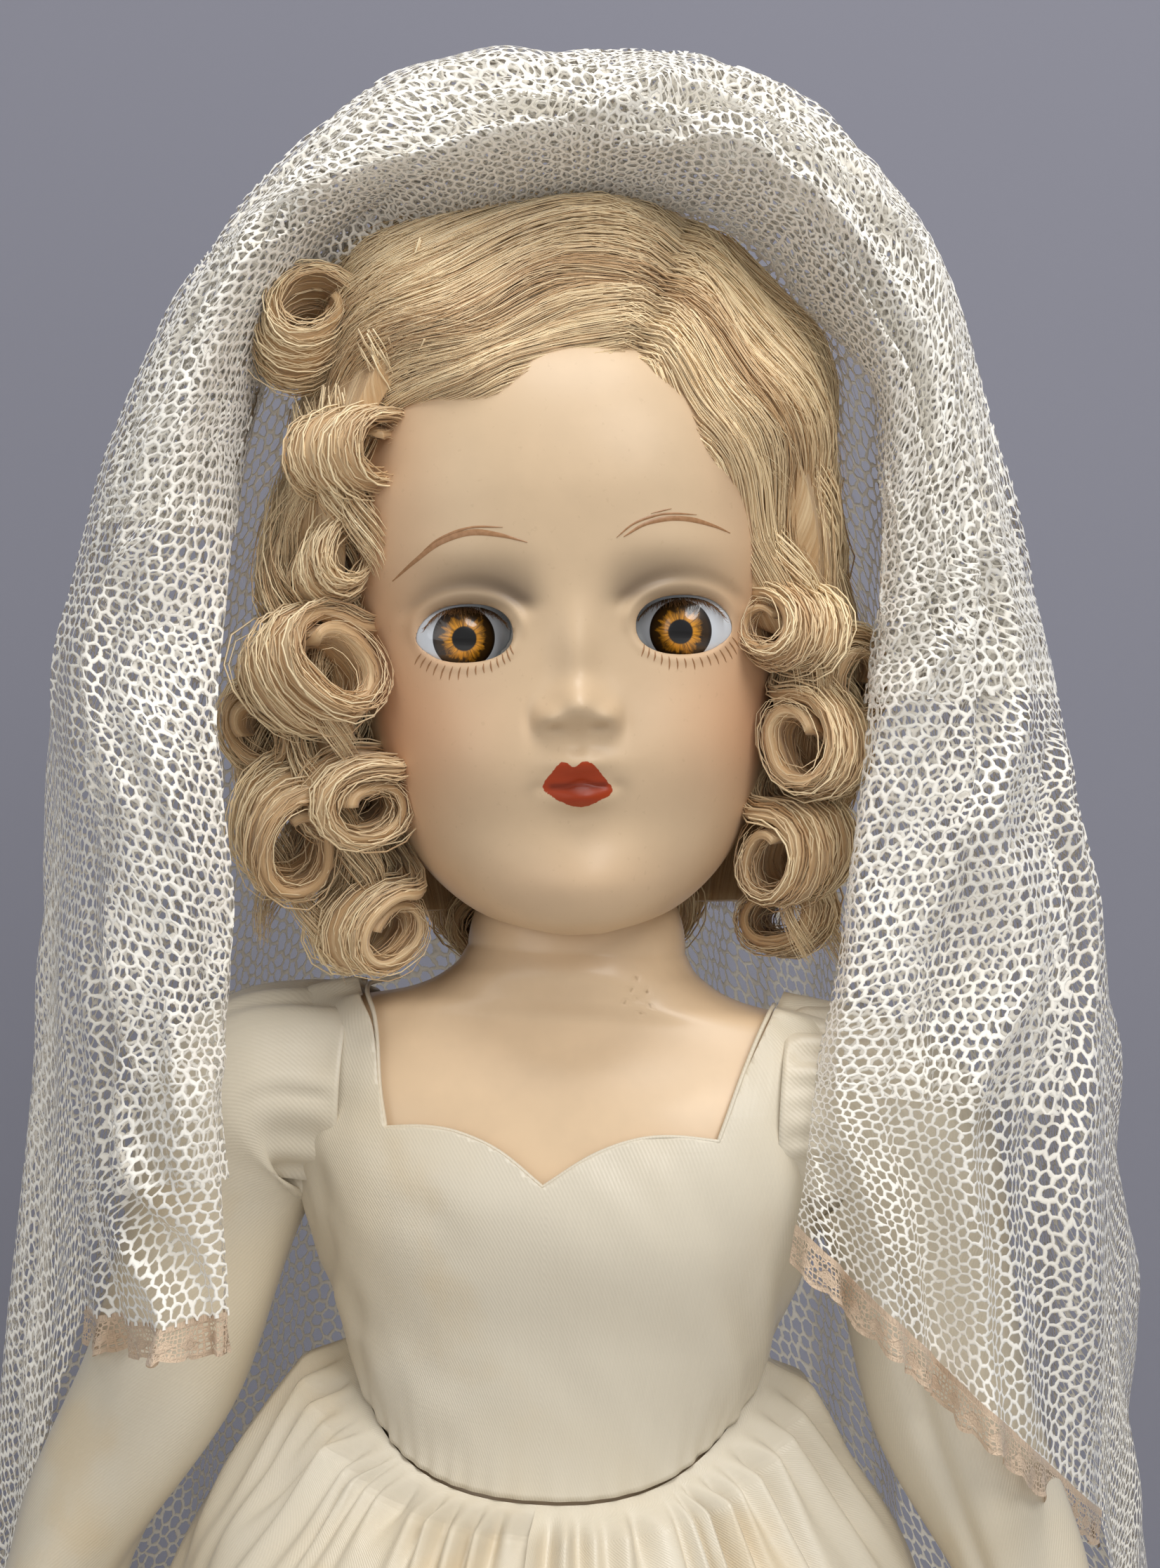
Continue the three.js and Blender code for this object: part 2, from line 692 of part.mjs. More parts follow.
// Each eye turns in a plaster ring that is poured behind the eye opening.
function buildEyeSockets(group) {
  const room = headCavity(WALL + GAP);
  for (const [name, side] of SIDES) {
    const centre = eyeCentre(side);
    const front = at(centre.x, EYE_Y - EYE_RADIUS * 0.75, EYE_Z);
    const rear = at(centre.x, EYE_Y - EYE_RADIUS + SOCKET_DEPTH, EYE_Z);
    const ring = rod(SOCKET_RADIUS, front, rear).intersect(room);
    const seat = cut(ring, ball(centre, EYE_RADIUS + EASE, 16), eyeOpening(side, GAP));
    add(group, `eye_socket_${name}`, seat, PLASTER);
  }
}

// The eyes, their irises and lashes, and the wire and weight that rock them.
function buildEyes(group) {
  const irisBack = -(EYE_RADIUS - IRIS_DEPTH);
  const flat = Math.sqrt(EYE_RADIUS ** 2 - (IRIS_WIDTH / 2) ** 2);
  for (const [name, side] of SIDES) {
    const centre = eyeCentre(side);
    const recess = rod(IRIS_WIDTH / 2 + GAP, centre.clone().add(at(0, irisBack, 0)),
      centre.clone().add(at(0, -CUT, 0)), 20);
    add(group, `eyeball_${name}`, cut(ball(centre, EYE_RADIUS, 16), recess), EYE_WHITE);
    const dome = [
      [0, -irisBack + GAP],
      [IRIS_WIDTH / 2, -irisBack + GAP],
      [IRIS_WIDTH / 2, Math.max(flat, -irisBack + EASE)],
      [IRIS_WIDTH / 4, EYE_RADIUS - GAP],
      [0, EYE_RADIUS],
    ];
    const forward = Y_AXIS.clone().negate();
    add(group, `iris_${name}`, turned(dome, forward, centre, 20), IRIS);
    add(group, `lashes_${name}`, lashes(centre), LASH);
  }
  const wireY = EYE_Y + EYE_RADIUS + ROCKER_WIRE + GAP;
  const hang = EYE_Z - WEIGHT_DROP + WEIGHT_LENGTH / 2 + ROCKER_WIRE + GAP;
  const half = [
    at(-EYE_SPACING / 2, wireY, EYE_Z),
    at(-EYE_SPACING / 3, wireY, EYE_Z - EYE_RADIUS / 3),
    at(-WEIGHT_RADIUS, EYE_Y + EYE_RADIUS / 2, hang + ROCKER_WIRE),
  ];
  const rest = half.map((p) => at(-p.x, p.y, p.z)).reverse();
  const low = at(0, EYE_Y + EYE_RADIUS / 3, hang);
  add(group, "eye_rocker_wire", tube([...half, low, ...rest], ROCKER_WIRE, 18, 6), STEEL);
  const weight = [
    [0, -WEIGHT_LENGTH / 2],
    [WEIGHT_RADIUS / 2, -WEIGHT_LENGTH / 2],
    [WEIGHT_RADIUS, -WEIGHT_LENGTH / 4],
    [WEIGHT_RADIUS, WEIGHT_LENGTH / 4],
    [WEIGHT_RADIUS / 2, WEIGHT_LENGTH / 2],
    [0, WEIGHT_LENGTH / 2],
  ];
  const place = at(0, EYE_Y + EYE_RADIUS / 3, EYE_Z - WEIGHT_DROP);
  add(group, "eye_weight", turned(weight, Z_AXIS, place, 12), LEAD);
}

// A comb of hair along the top of an eye: a narrow root strip with tapering teeth that stand forward.
function lashes(centre) {
  const clear = EASE + LASH_THICK / 2;
  const near = EYE_RADIUS + GAP + LASH_THICK / 2;
  const root = steps(-1, 1, 2 * LASH_COUNT).map((share) => {
    const x = share * (EYE_WIDTH / 2 - 2 * clear);
    const z = (EYE_HEIGHT / 2 - clear) * Math.sqrt(1 - 0.85 * share ** 2);
    return at(x, -Math.sqrt(near ** 2 - x ** 2 - z ** 2), z).add(centre);
  });
  const tips = root.map((p, i) => p.clone().sub(at(0, i % 2 ? LASH_LENGTH : LASH_LENGTH / 5, 0)));
  return sheet([root, tips], LASH_THICK);
}

// The neck bar lies across the head above the neck, and its hook takes the stringing.
function buildNeckStringing(group) {
  const z = BALL_Z + NECK_BAR_LIFT;
  const share = (z - HEAD_Z) / HEAD_HEIGHT;
  const reach = Math.abs(headPoint(Math.PI / 2, share, 0, false).x) - WALL - 2 * EASE;
  const bar = rod(NECK_BAR_RADIUS, at(-reach, NECK_Y, z), at(reach, NECK_Y, z), 12);
  const room = headCavity(WALL + GAP);
  add(group, "neck_bar", bar.intersect(room), WOOD);
  const loop = NECK_BAR_RADIUS + HOOK_WIRE + 2 * EASE;
  const eye = HOOK_RING + HOOK_WIRE;
  const low = BALL_Z - eye;
  const points = [
    at(0, NECK_Y - loop, z - loop / 2),
    at(0, NECK_Y - loop, z + loop / 3),
    at(0, NECK_Y, z + loop),
    at(0, NECK_Y + loop, z),
    at(0, NECK_Y + loop / 2, z - 2 * loop),
    at(0, NECK_Y + eye, low + eye),
    at(0, NECK_Y + eye, low - eye / 3),
    at(0, NECK_Y, low - eye),
    at(0, NECK_Y - eye, low),
  ];
  add(group, "neck_hook", tube(points, HOOK_WIRE, 16, 5), STEEL);
}

// The elastic cords that string the doll: one through the arms, one from the legs up to the head.
function buildElastic(group) {
  const eyeX = ARM_PLANE - HOOK_INSET;
  const slack = HOOK_RING * 2;
  const armHalf = [
    at(-eyeX, -slack, ARM_Z + HOOK_WIRE),
    at(-eyeX, 0, ARM_Z),
    at(-eyeX + HOOK_RING / 2, slack, ARM_Z - HOOK_WIRE),
    at(-eyeX + slack, 2 * slack, ARM_Z),
  ];
  const across = (half) => half.map((p) => at(-p.x, p.y, p.z)).reverse();
  const armCord = [...armHalf, at(0, 2 * slack, ARM_Z), ...across(armHalf)];
  add(group, "arm_elastic", tube(armCord, CORD_RADIUS, 24, 5), ELASTIC);
  const legX = CROTCH_BLOCK / 4;
  const ringZ = BALL_Z - HOOK_RING - HOOK_WIRE;
  const legHalf = [
    at(-legX, slack * 0.8, LEG_Z + HOOK_WIRE),
    at(-legX, 0, LEG_Z),
    at(-legX, -slack * 0.8, LEG_Z + HOOK_RING / 2),
    at(-legX, -slack / 2, LEG_Z + 4 * HOOK_RING),
    at(-legX, 0, HIP_Z),
    at(-legX, NECK_Y, RIB_Z),
    at(-legX, NECK_Y, ARM_Z),
    at(-legX * 0.95, NECK_Y, ringZ - 2 * HOOK_RING),
    at(-legX * 0.6, NECK_Y, ringZ),
  ];
  const legCord = [...legHalf, at(0, NECK_Y, ringZ + HOOK_WIRE / 2), ...across(legHalf)];
  add(group, "leg_elastic", tube(legCord, CORD_RADIUS, 40, 5), ELASTIC);
}

// A wire eye at the end of a shank that is set into a limb along X.
function wireEye(x, z, length) {
  const ring = new THREE.TorusGeometry(HOOK_RING, HOOK_WIRE, 4, 8);
  const eye = solid(ring.rotateX(Math.PI / 2).translate(x, 0, z));
  const start = at(x + HOOK_RING, 0, z);
  const shank = rod(HOOK_WIRE, start, at(x + HOOK_RING + length, 0, z), 6);
  return join(eye, shank);
}

// An arm's centre line: shares of the drop to the wrist, of its reach outwards, and of its radius forward
const ARM_SHARES = [
  [-0.03, 0, 0.02],
  [0.18, 0.08, 0.1],
  [0.34, 0.23, 0],
  [0.48, 0.41, -0.02],
  [0.62, 0.59, -0.06],
  [0.8, 0.79, -0.12],
  [1, 1, -0.2],
];
const ARM_RADII = [
  UPPER_ARM_RADIUS,
  UPPER_ARM_RADIUS,
  mix(UPPER_ARM_RADIUS, ELBOW_RADIUS, 0.45),
  ELBOW_RADIUS,
  FOREARM_RADIUS,
  mix(FOREARM_RADIUS, WRIST_RADIUS, 0.5),
  WRIST_RADIUS,
];

// The stations of a left arm; it leans outwards so that it clears the skirt, and bends a little forward.
function armLine() {
  const start = ARM_PLANE + UPPER_ARM_RADIUS - GAP;
  return ARM_SHARES.map(([drop, reach, ahead], i) => [
    at(start + reach * ARM_REACH, ahead * UPPER_ARM_RADIUS, ARM_Z - drop * WRIST_DROP),
    ARM_RADII[i],
    ARM_RADII[i],
  ]);
}

function hand(stations) {
  const wrist = stations.at(-1)[0];
  const along = wrist.clone().sub(stations.at(-2)[0]).normalize();
  const down = (share) => wrist.clone().addScaledVector(along, share * HAND_LENGTH);
  const palm = limb(
    [
      [down(-0.1), WRIST_RADIUS, WRIST_RADIUS],
      [down(0.15), PALM_THICK / 2, PALM_WIDTH * 0.42],
      [down(0.4), PALM_THICK / 2, PALM_WIDTH / 2],
      [down(0.62), PALM_THICK / 2.3, PALM_WIDTH * 0.47],
    ],
    LIMB_SIDES,
  );
  const fingerShares = [-0.36, -0.12, 0.12, 0.36];
  const lengthShares = [0.9, 1, 0.96, 0.8];
  const splayShare = 1.12;
  const fingers = fingerShares.map((share, i) => {
    const aside = at(0, share * PALM_WIDTH, 0);
    const root = down(0.5).add(aside);
    const tip = down(0.58).add(aside.clone().multiplyScalar(splayShare));
    tip.addScaledVector(along, FINGER_LENGTH * lengthShares[i]);
    const half = FINGER_THICK / 2;
    return limb([[root, half, half], [tip, half * 0.72, half * 0.72]], 6);
  });
  const thumbRoot = down(0.15).add(at(0, -PALM_WIDTH * 0.3, 0));
  const thumbTip = down(0.56).add(at(0, -PALM_WIDTH * 0.72, 0));
  const thumb = limb(
    [
      [thumbRoot, FINGER_THICK / 1.7, FINGER_THICK / 1.7],
      [thumbTip, FINGER_THICK / 2.6, FINGER_THICK / 2.6],
    ],
    6,
  );
  return join(palm, ...fingers, thumb);
}

// A shoulder cap: a button revolved about the joint's axis, flat towards the torso.
function shoulderCap(from, radius, depth, sides = 18) {
  const profile = [
    [0, 0],
    [radius, 0],
    [radius, depth * 0.35],
    [radius * 0.86, depth * 0.7],
    [radius * 0.5, depth * 0.93],
    [0, depth],
  ];
  return turned(profile, X_AXIS, at(from, 0, ARM_Z), sides);
}

function buildArm(group, name, side) {
  const stations = armLine();
  const cap = shoulderCap(ARM_PLANE + GAP, ARM_BALL, ARM_CAP);
  const keep = box(at(ARM_PLANE + GAP, -CUT, 0), at(ARM_PLANE + CUT * 2, CUT, VEIL_TOP));
  const arm = join(cap, limb(stations, LIMB_SIDES).intersect(keep), hand(stations));
  const hook = wireEye(ARM_PLANE - HOOK_INSET, ARM_Z, HOOK_SHANK);
  const hookEnd = at(ARM_PLANE - HOOK_INSET + HOOK_RING + HOOK_SHANK + GAP, 0, ARM_Z);
  const bored = cut(arm, rod(HOOK_WIRE + GAP, at(0, 0, ARM_Z), hookEnd, 8));
  const half = sideGroup(group, side);
  add(half, `arm_${name}`, bored, COMPOSITION);
  add(half, `arm_hook_${name}`, hook, STEEL);
  add(half, `sleeve_${name}`, sleeve(stations), SATIN);
}

const SLEEVE_HEAD = ARM_BALL + EASE + CLOTH + EASE;

// The sleeve: a gathered head over the shoulder and a long tapering tube to the wrist.
function sleeve(stations) {
  const seam = ARM_PLANE + CLOTH + EASE + GAP + EASE;
  const toWrist = stations.slice(0, -1);
  const outer = join(
    shoulderCap(seam, SLEEVE_HEAD, ARM_CAP + CLOTH),
    limb(toWrist, LIMB_SIDES, EASE + CLOTH),
  );
  const inner = join(
    shoulderCap(ARM_PLANE - CLOTH, SLEEVE_HEAD - CLOTH, ARM_CAP + CLOTH + 2 * EASE),
    limb(stations, LIMB_SIDES, EASE),
  );
  const keep = box(at(seam, -CUT, 0), at(seam + 2 * CUT, CUT, VEIL_TOP));
  return cut(outer.intersect(keep), inner);
}

// A left leg from the hip disc to the foot, with a rounded knee and calf.
function legLine() {
  const half = (size) => size / 2;
  const lowThigh = [half(THIGH_WIDTH) * 0.88, half(THIGH_DEPTH) * 0.84];
  const lowCalf = mix(half(CALF_WIDTH), half(ANKLE_WIDTH), 0.55);
  return [
    [at(THIGH_X, 0, LEG_Z), half(THIGH_WIDTH), half(THIGH_DEPTH)],
    [at(THIGH_X, 0, mix(LEG_Z, KNEE_Z, 0.3)), half(THIGH_WIDTH), half(THIGH_DEPTH)],
    [at(mix(THIGH_X, ANKLE_X, 0.3), 0, mix(LEG_Z, KNEE_Z, 0.7)), ...lowThigh],
    [at(mix(THIGH_X, ANKLE_X, 0.5), -WALL / 2, KNEE_Z), half(KNEE_WIDTH), half(KNEE_WIDTH)],
    [at(mix(THIGH_X, ANKLE_X, 0.6), WALL / 2, CALF_Z), half(CALF_WIDTH), half(CALF_WIDTH)],
    [at(ANKLE_X, WALL / 2, mix(CALF_Z, ANKLE_Z, 0.5)), lowCalf, lowCalf],
    [at(ANKLE_X, WALL, ANKLE_Z), half(ANKLE_WIDTH), half(ANKLE_WIDTH)],
    [at(ANKLE_X, WALL, SHOE_HEIGHT / 2), half(ANKLE_WIDTH), half(ANKLE_WIDTH)],
  ];
}

// The outline of a sole, seen from above: a rounded heel and a broader toe.
function soleOutline(inset) {
  const half = SOLE_WIDTH / 2 - inset;
  const [heel, toe] = [HEEL_Y - inset, HEEL_Y - SOLE_LENGTH + inset];
  const outline = new THREE.Shape();
  const waistY = mix(heel, toe, 0.42);
  outline.moveTo(0, heel);
  outline.bezierCurveTo(half, heel, half * 0.8, mix(heel, waistY, 0.6), half * 0.74, waistY);
  outline.bezierCurveTo(half * 0.9, mix(waistY, toe, 0.4), half * 1.25, toe, 0, toe);
  outline.bezierCurveTo(-half * 1.25, toe, -half * 0.9, mix(waistY, toe, 0.4), -half * 0.74, waistY);
  outline.bezierCurveTo(-half * 0.8, mix(heel, waistY, 0.6), -half, heel, 0, heel);
  return outline;
}

function slab(shape, from, to) {
  const prism = new THREE.ExtrudeGeometry(shape, {
    depth: to - from,
    bevelEnabled: false,
    curveSegments: 4,
  });
  return solid(prism.translate(ANKLE_X, 0, from));
}

// A solid on the sole that rises from the toe to the ankle, inset all round and at its foot.
function footSolid(inset, lift) {
  const low = SOLE_THICK + GAP;
  const block = slab(soleOutline(inset + GAP), low + lift, SOLE_THICK + SHOE_HEIGHT);
  const toeY = HEEL_Y - SOLE_LENGTH;
  const top = low + SHOE_HEIGHT * 0.86 - inset;
  const side = new THREE.Shape();
  side.moveTo(toeY, low);
  side.lineTo(HEEL_Y, low);
  side.lineTo(HEEL_Y, top);
  side.lineTo(-ANKLE_WIDTH * 0.45, top);
  side.quadraticCurveTo(mix(toeY, 0, 0.5), top - CLOTH, toeY, low + SHOE_HEIGHT * 0.35 - inset);
  return block.intersect(prismX(side, ANKLE_X - CUT, ANKLE_X + CUT, 6));
}

function buildLeg(group, name, side) {
  const stations = legLine();
  const half = sideGroup(group, side);
  const inner = CROTCH_BLOCK / 2 + GAP;
  const profile = [
    [0, 0],
    [LEG_DISC, 0],
    [LEG_DISC, THIGH_WIDTH * 0.55],
    [LEG_DISC * 0.86, THIGH_WIDTH * 0.8],
    [LEG_DISC * 0.5, THIGH_WIDTH * 0.93],
    [0, THIGH_WIDTH * 0.95],
  ];
  const disc = turned(profile, X_AXIS, at(inner, 0, LEG_Z), 1.5 * LIMB_SIDES);
  const keep = box(at(inner, -CUT, 0), at(CUT, CUT, BALL_Z));
  const foot = footSolid(SHOE_WALL + EASE, CLOTH + GAP);
  const leg = join(disc, limb(stations, LIMB_SIDES).intersect(keep), foot);
  const eyeX = CROTCH_BLOCK / 4;
  const hookEnd = at(eyeX + HOOK_RING + HOOK_SHANK + GAP, 0, LEG_Z);
  const bore = rod(HOOK_WIRE + GAP, at(0, 0, LEG_Z), hookEnd, 8);
  add(half, `leg_${name}`, cut(leg, bore), COMPOSITION);
  add(half, `leg_hook_${name}`, wireEye(eyeX, LEG_Z, HOOK_SHANK), STEEL);
  add(half, `sock_${name}`, sock(stations), COTTON);
  add(half, `shoe_${name}`, shoe(stations), LEATHERETTE);
  add(half, `sole_${name}`, slab(soleOutline(0), 0, SOLE_THICK), SOLE);
}

// The leg's radius and centre at one height, read along its centre line.
function legAt(stations, z) {
  const rows = stations.map(([c, w]) => [-c.z, c.x, c.y, w]);
  return reading(rows, -z);
}

const legRing = (stations, z, grow, sides = LIMB_SIDES) => {
  const [x, y, radius] = legAt(stations, z);
  return oval(at(x, y, z), radius + grow, radius + grow, sides);
};

// A short sock with a turned cuff; its foot part is hidden in the shoe.
function sock(stations) {
  const levels = [SHOE_HEIGHT + SOLE_THICK, ANKLE_Z, mix(ANKLE_Z, SOCK_TOP, 0.5)];
  const low = SOCK_TOP - SOCK_CUFF;
  const outer = [...levels, low, low, SOCK_TOP].map((z, i) => {
    return legRing(stations, z, EASE + CLOTH * (i > 3 ? 2 : 1));
  });
  const inner = [...levels, low, low, SOCK_TOP].map((z) => legRing(stations, z, EASE));
  outer[4] = legRing(stations, low + GAP, EASE + CLOTH * 2);
  inner[4] = legRing(stations, low + GAP, EASE);
  return wall(outer, inner);
}

// The shoe upper: a shell over the foot, open round the ankle, with a strap over the instep.
function shoe(stations) {
  const clear = EASE + CLOTH + GAP;
  const outer = footSolid(0, 0);
  const inner = footSolid(SHOE_WALL, CLOTH);
  const throat = slab(throatOutline(), SOLE_THICK + SHOE_HEIGHT * 0.4, SOCK_TOP);
  const ankle = loft([
    legRing(stations, SHOE_HEIGHT / 2, clear),
    legRing(stations, SOCK_TOP, clear),
  ]);
  const body = cut(outer, inner, throat, ankle);
  const strapZ = SOLE_THICK + SHOE_HEIGHT * 0.86 + STRAP_WIDTH / 2;
  const rings = (grow) =>
    [-0.5, 0.5].map((share) => legRing(stations, strapZ + share * STRAP_WIDTH, grow, 16));
  return join(body, wall(rings(clear + SHOE_WALL), rings(clear)));
}

// The cut-out of a shoe's throat, from above.
function throatOutline() {
  const outline = new THREE.Shape();
  outline.absellipse(0, -ANKLE_WIDTH * 0.75, ANKLE_WIDTH * 0.46, ANKLE_WIDTH * 0.62, 0, 2 * Math.PI);
  return outline;
}

// The waist seam dips to a point in front and runs level round the back.
function seamZ(turn) {
  const front = Math.max(Math.cos(turn), 0) ** 1.3;
  return mix(SEAM_SIDE_Z, SEAM_FRONT_Z, front);
}

// A point over the torso at a turn round it, standing out from the skin.
function bodyPoint(turn, z, out) {
  const [halfWidth, halfDepth] = reading(BODY, z);
  const power = bodyPower(z);
  const lift = out * THREE.MathUtils.smoothstep(z, ARM_Z, SHOULDER_Z);
  const x = (halfWidth + out) * bulge(Math.sin(turn), power);
  const y = bodyY(z) - (halfDepth + out) * bulge(Math.cos(turn), power);
  return at(x, y, z + lift);
}

const ringTurns = (sides) => steps(0, 2 * Math.PI, sides).slice(0, -1);

// The sweetheart neckline, cut down from above, and a shallow scoop at the back.
function necklineCuts() {
  const corner = NECKLINE_WIDTH / 2;
  const top = NECKLINE_TOP / 2;
  const high = BALL_Z + CUT;
  const dip = NECKLINE_Z - NECKLINE_DIP;
  const front = new THREE.Shape();
  front.moveTo(-top, high);
  front.lineTo(-top, SLOPE_Z);
  front.quadraticCurveTo(-mix(corner, top, 0.35), mix(NECKLINE_Z, SLOPE_Z, 0.45), -corner, NECKLINE_Z);
  const bowZ = NECKLINE_Z + CLOTH;
  front.bezierCurveTo(-corner * 0.75, bowZ, -corner * 0.3, bowZ, 0, dip);
  front.bezierCurveTo(corner * 0.3, bowZ, corner * 0.75, bowZ, corner, NECKLINE_Z);
  front.quadraticCurveTo(mix(corner, top, 0.35), mix(NECKLINE_Z, SLOPE_Z, 0.45), top, SLOPE_Z);
  front.lineTo(top, high);
  const back = new THREE.Shape();
  back.moveTo(-top, high);
  back.lineTo(-top, SLOPE_Z);
  back.quadraticCurveTo(-corner, BACK_NECK_Z, 0, BACK_NECK_Z);
  back.quadraticCurveTo(corner, BACK_NECK_Z, top, SLOPE_Z);
  back.lineTo(top, high);
  return [prismY(front, -CUT, NECK_Y, 6), prismY(back, NECK_Y, CUT, 6)];
}

// The bodice hugs the torso from the waist seam to the shoulders.
function bodice() {
  const turns = ringTurns(TORSO_SIDES);
  const low = steps(0, 1, 4).slice(0, -1);
  const rings = (out) => [
    ...low.map((share) => turns.map((turn) => bodyPoint(turn, mix(seamZ(turn), BUST_Z, share), out))),
    ...UPPER_LEVELS.slice(0, -2).map((z) => turns.map((turn) => bodyPoint(turn, z, out))),
  ];
  const shell = wall(rings(EASE + CLOTH), rings(EASE));
  const armholes = rod(SLEEVE_HEAD + EASE, at(-CUT, 0, ARM_Z), at(CUT, 0, ARM_Z), 28);
  const inside = box(at(-ARM_PLANE + GAP, -CUT, 0), at(ARM_PLANE - GAP, CUT, VEIL_TOP));
  const seam = ARM_PLANE + EASE + CLOTH;
  const between = box(at(-seam, -CUT, 0), at(seam, CUT, VEIL_TOP));
  return cut(shell, cut(armholes, inside), ...necklineCuts()).intersect(between);
}

// The back fastening: a placket strip down the bodice with press fasteners along it.
function buildBackFastening(group) {
  const topZ = BACK_NECK_Z - EASE;
  const backTurn = Math.PI;
  const halfTurn = PLACKET_WIDTH / CHEST_WIDTH;
  const rows = steps(topZ, topZ - PLACKET_LENGTH, 4).map((z) =>
    steps(-1, 1, 2).map((share) => bodyPoint(backTurn + share * halfTurn, z, EASE + CLOTH + GAP + CLOTH / 2)),
  );
  add(group, "bodice_placket", sheet(rows, CLOTH), SATIN);
  for (let i = 0; i < SNAP_COUNT; i++) {
    const z = topZ - (PLACKET_LENGTH * (i + 0.5)) / SNAP_COUNT;
    const p = bodyPoint(backTurn, z, EASE + 2 * CLOTH + 2 * GAP + EASE);
    add(group, `bodice_snap_${i + 1}`, rod(SNAP_RADIUS, p, at(p.x, p.y + CLOTH, p.z), 12), STEEL);
  }
}

// Skirt profile below the seam: height share down to the hem, then radius share from waist to hem
const SKIRT_SHARES = [
  [0, 0],
  [0.012, 0.05],
  [0.04, 0.13],
  [0.1, 0.27],
  [0.24, 0.43],
  [0.45, 0.62],
  [0.7, 0.82],
  [1, 1],
];

// A point of a full skirt: it leaves the seam like the torso and turns round towards the hem, in folds.
function skirtPoint(turn, share, size) {
  const topZ = size.top(turn);
  const z = mix(topZ, size.hemZ, share);
  const start = bodyPoint(turn, topZ, size.out);
  const [spread] = reading(SKIRT_SHARES, share);
  const wave = Math.cos(size.folds * turn + 2.2 * Math.sin(3 * share));
  const second = Math.cos(size.folds * 2 * turn + 1) * (1 - share) * share;
  const fold = size.depth * (0.5 * wave * share ** 0.7 + 0.35 * second - 0.5 * share ** 0.7);
  const radius = size.radius + fold;
  const round = at(Math.sin(turn) * radius, -Math.cos(turn) * radius, z);
  return at(mix(start.x, round.x, spread), mix(start.y, round.y, spread), z);
}

function fullSkirt(size, rows, sides) {
  const turns = ringTurns(sides);
  const shares = steps(0, 1, rows).map((t) => t ** 1.7);
  const rings = (inset) =>
    shares.map((share) =>
      turns.map((turn) => {
        const p = skirtPoint(turn, share, size);
        const level = at(p.x, p.y, 0);
        return level.setLength(level.length() - inset).setZ(p.z);
      }),
    );
  return wall(rings(0), rings(CLOTH));
}

function buildGown(group) {
  add(group, "bodice", bodice(), SATIN);
  buildBackFastening(group);
  const skirt = {
    top: (turn) => seamZ(turn) - 2 * GAP,
    out: EASE + CLOTH,
    hemZ: HEM_Z,
    radius: HEM_RADIUS,
    folds: SKIRT_FOLDS,
    depth: SKIRT_FOLD_DEPTH,
  };
  add(group, "skirt", fullSkirt(skirt, 7, SKIRT_SIDES), SATIN);
  const petticoat = {
    top: () => PANTY_TOP + CLOTH + 2 * GAP + EASE,
    out: 3 * CLOTH + EASE,
    hemZ: PETTICOAT_Z,
    radius: PETTICOAT_RADIUS,
    folds: PETTICOAT_FOLDS,
    depth: PETTICOAT_FOLD_DEPTH,
  };
  add(group, "petticoat", fullSkirt(petticoat, 4, 4 * PETTICOAT_FOLDS), COTTON);
  add(group, "panties", panties(), COTTON);
}

// Panties: a tube round the hips and a strip under the crotch.
function panties() {
  const levels = [PANTY_LEG, mix(PANTY_LEG, HIP_Z, 0.5), HIP_Z, PANTY_TOP];
  const rings = (out) => levels.map((z) => bodyRing(z, out));
  const lift = EASE + 2 * GAP;
  const tubeWall = wall(rings(lift + CLOTH), rings(lift));
  const side = (out) => {
    const outline = [levels[1], PANTY_LEG, SEAT_Z, LEG_Z, CROTCH_Z];
    const half = outline.map((z) => [z, reading(BODY, z)[1] + out]);
    const bottom = CROTCH_Z - out;
    const points = [
      ...half.map(([z, y]) => new THREE.Vector2(-y, Math.max(z, bottom))),
      new THREE.Vector2(-CROTCH_DEPTH / 3, bottom),
      new THREE.Vector2(CROTCH_DEPTH / 3, bottom),
      ...half.reverse().map(([z, y]) => new THREE.Vector2(y, Math.max(z, bottom))),
    ];
    return new THREE.Shape(points);
  };
  const halfStrip = CROTCH_BLOCK / 2 - EASE;
  const strip = cut(
    prismX(side(lift + CLOTH), -halfStrip, halfStrip),
    prismX(side(lift), -halfStrip - GAP, halfStrip + GAP),
  );
  const above = box(at(-CUT, -CUT, mix(PANTY_LEG, HIP_Z, 0.4)), at(CUT, CUT, BALL_Z));
  return join(tubeWall, cut(strip, above));
}

// How low the cap and the hair come, as height shares, at each turn from the face in half circles
const CAP_LINE_SHARES = [
  [0, 0.83],
  [0.2, 0.8],
  [0.3, 0.72],
  [0.38, 0.5],
  [0.48, 0.3],
  [0.62, 0.22],
  [1, 0.2],
];
const HAIR_LINE_SHARES = [
  [0, 0.8],
  [0.2, 0.765],
  [0.3, 0.66],
  [0.36, 0.5],
  [0.4, 0.26],
  [0.45, 0.07],
  [0.55, 0.03],
  [1, 0.02],
];
const HANG_SHARE = 0.5;
const JAW_SHARE = 0.15;

// A point of the hair: beside the face and behind, it hangs straight down from a height share.
function hairPoint(turn, share, out, hangShare) {
  const p = headPoint(turn, share, out, false);
  const hanging = headPoint(turn, Math.max(share, hangShare), out, false);
  const beside = THREE.MathUtils.smoothstep(Math.abs(turn) / Math.PI, 0.3, 0.42);
  hanging.z += Math.min(share - hangShare, 0) * HEAD_HEIGHT;
  return p.lerp(hanging, beside);
}

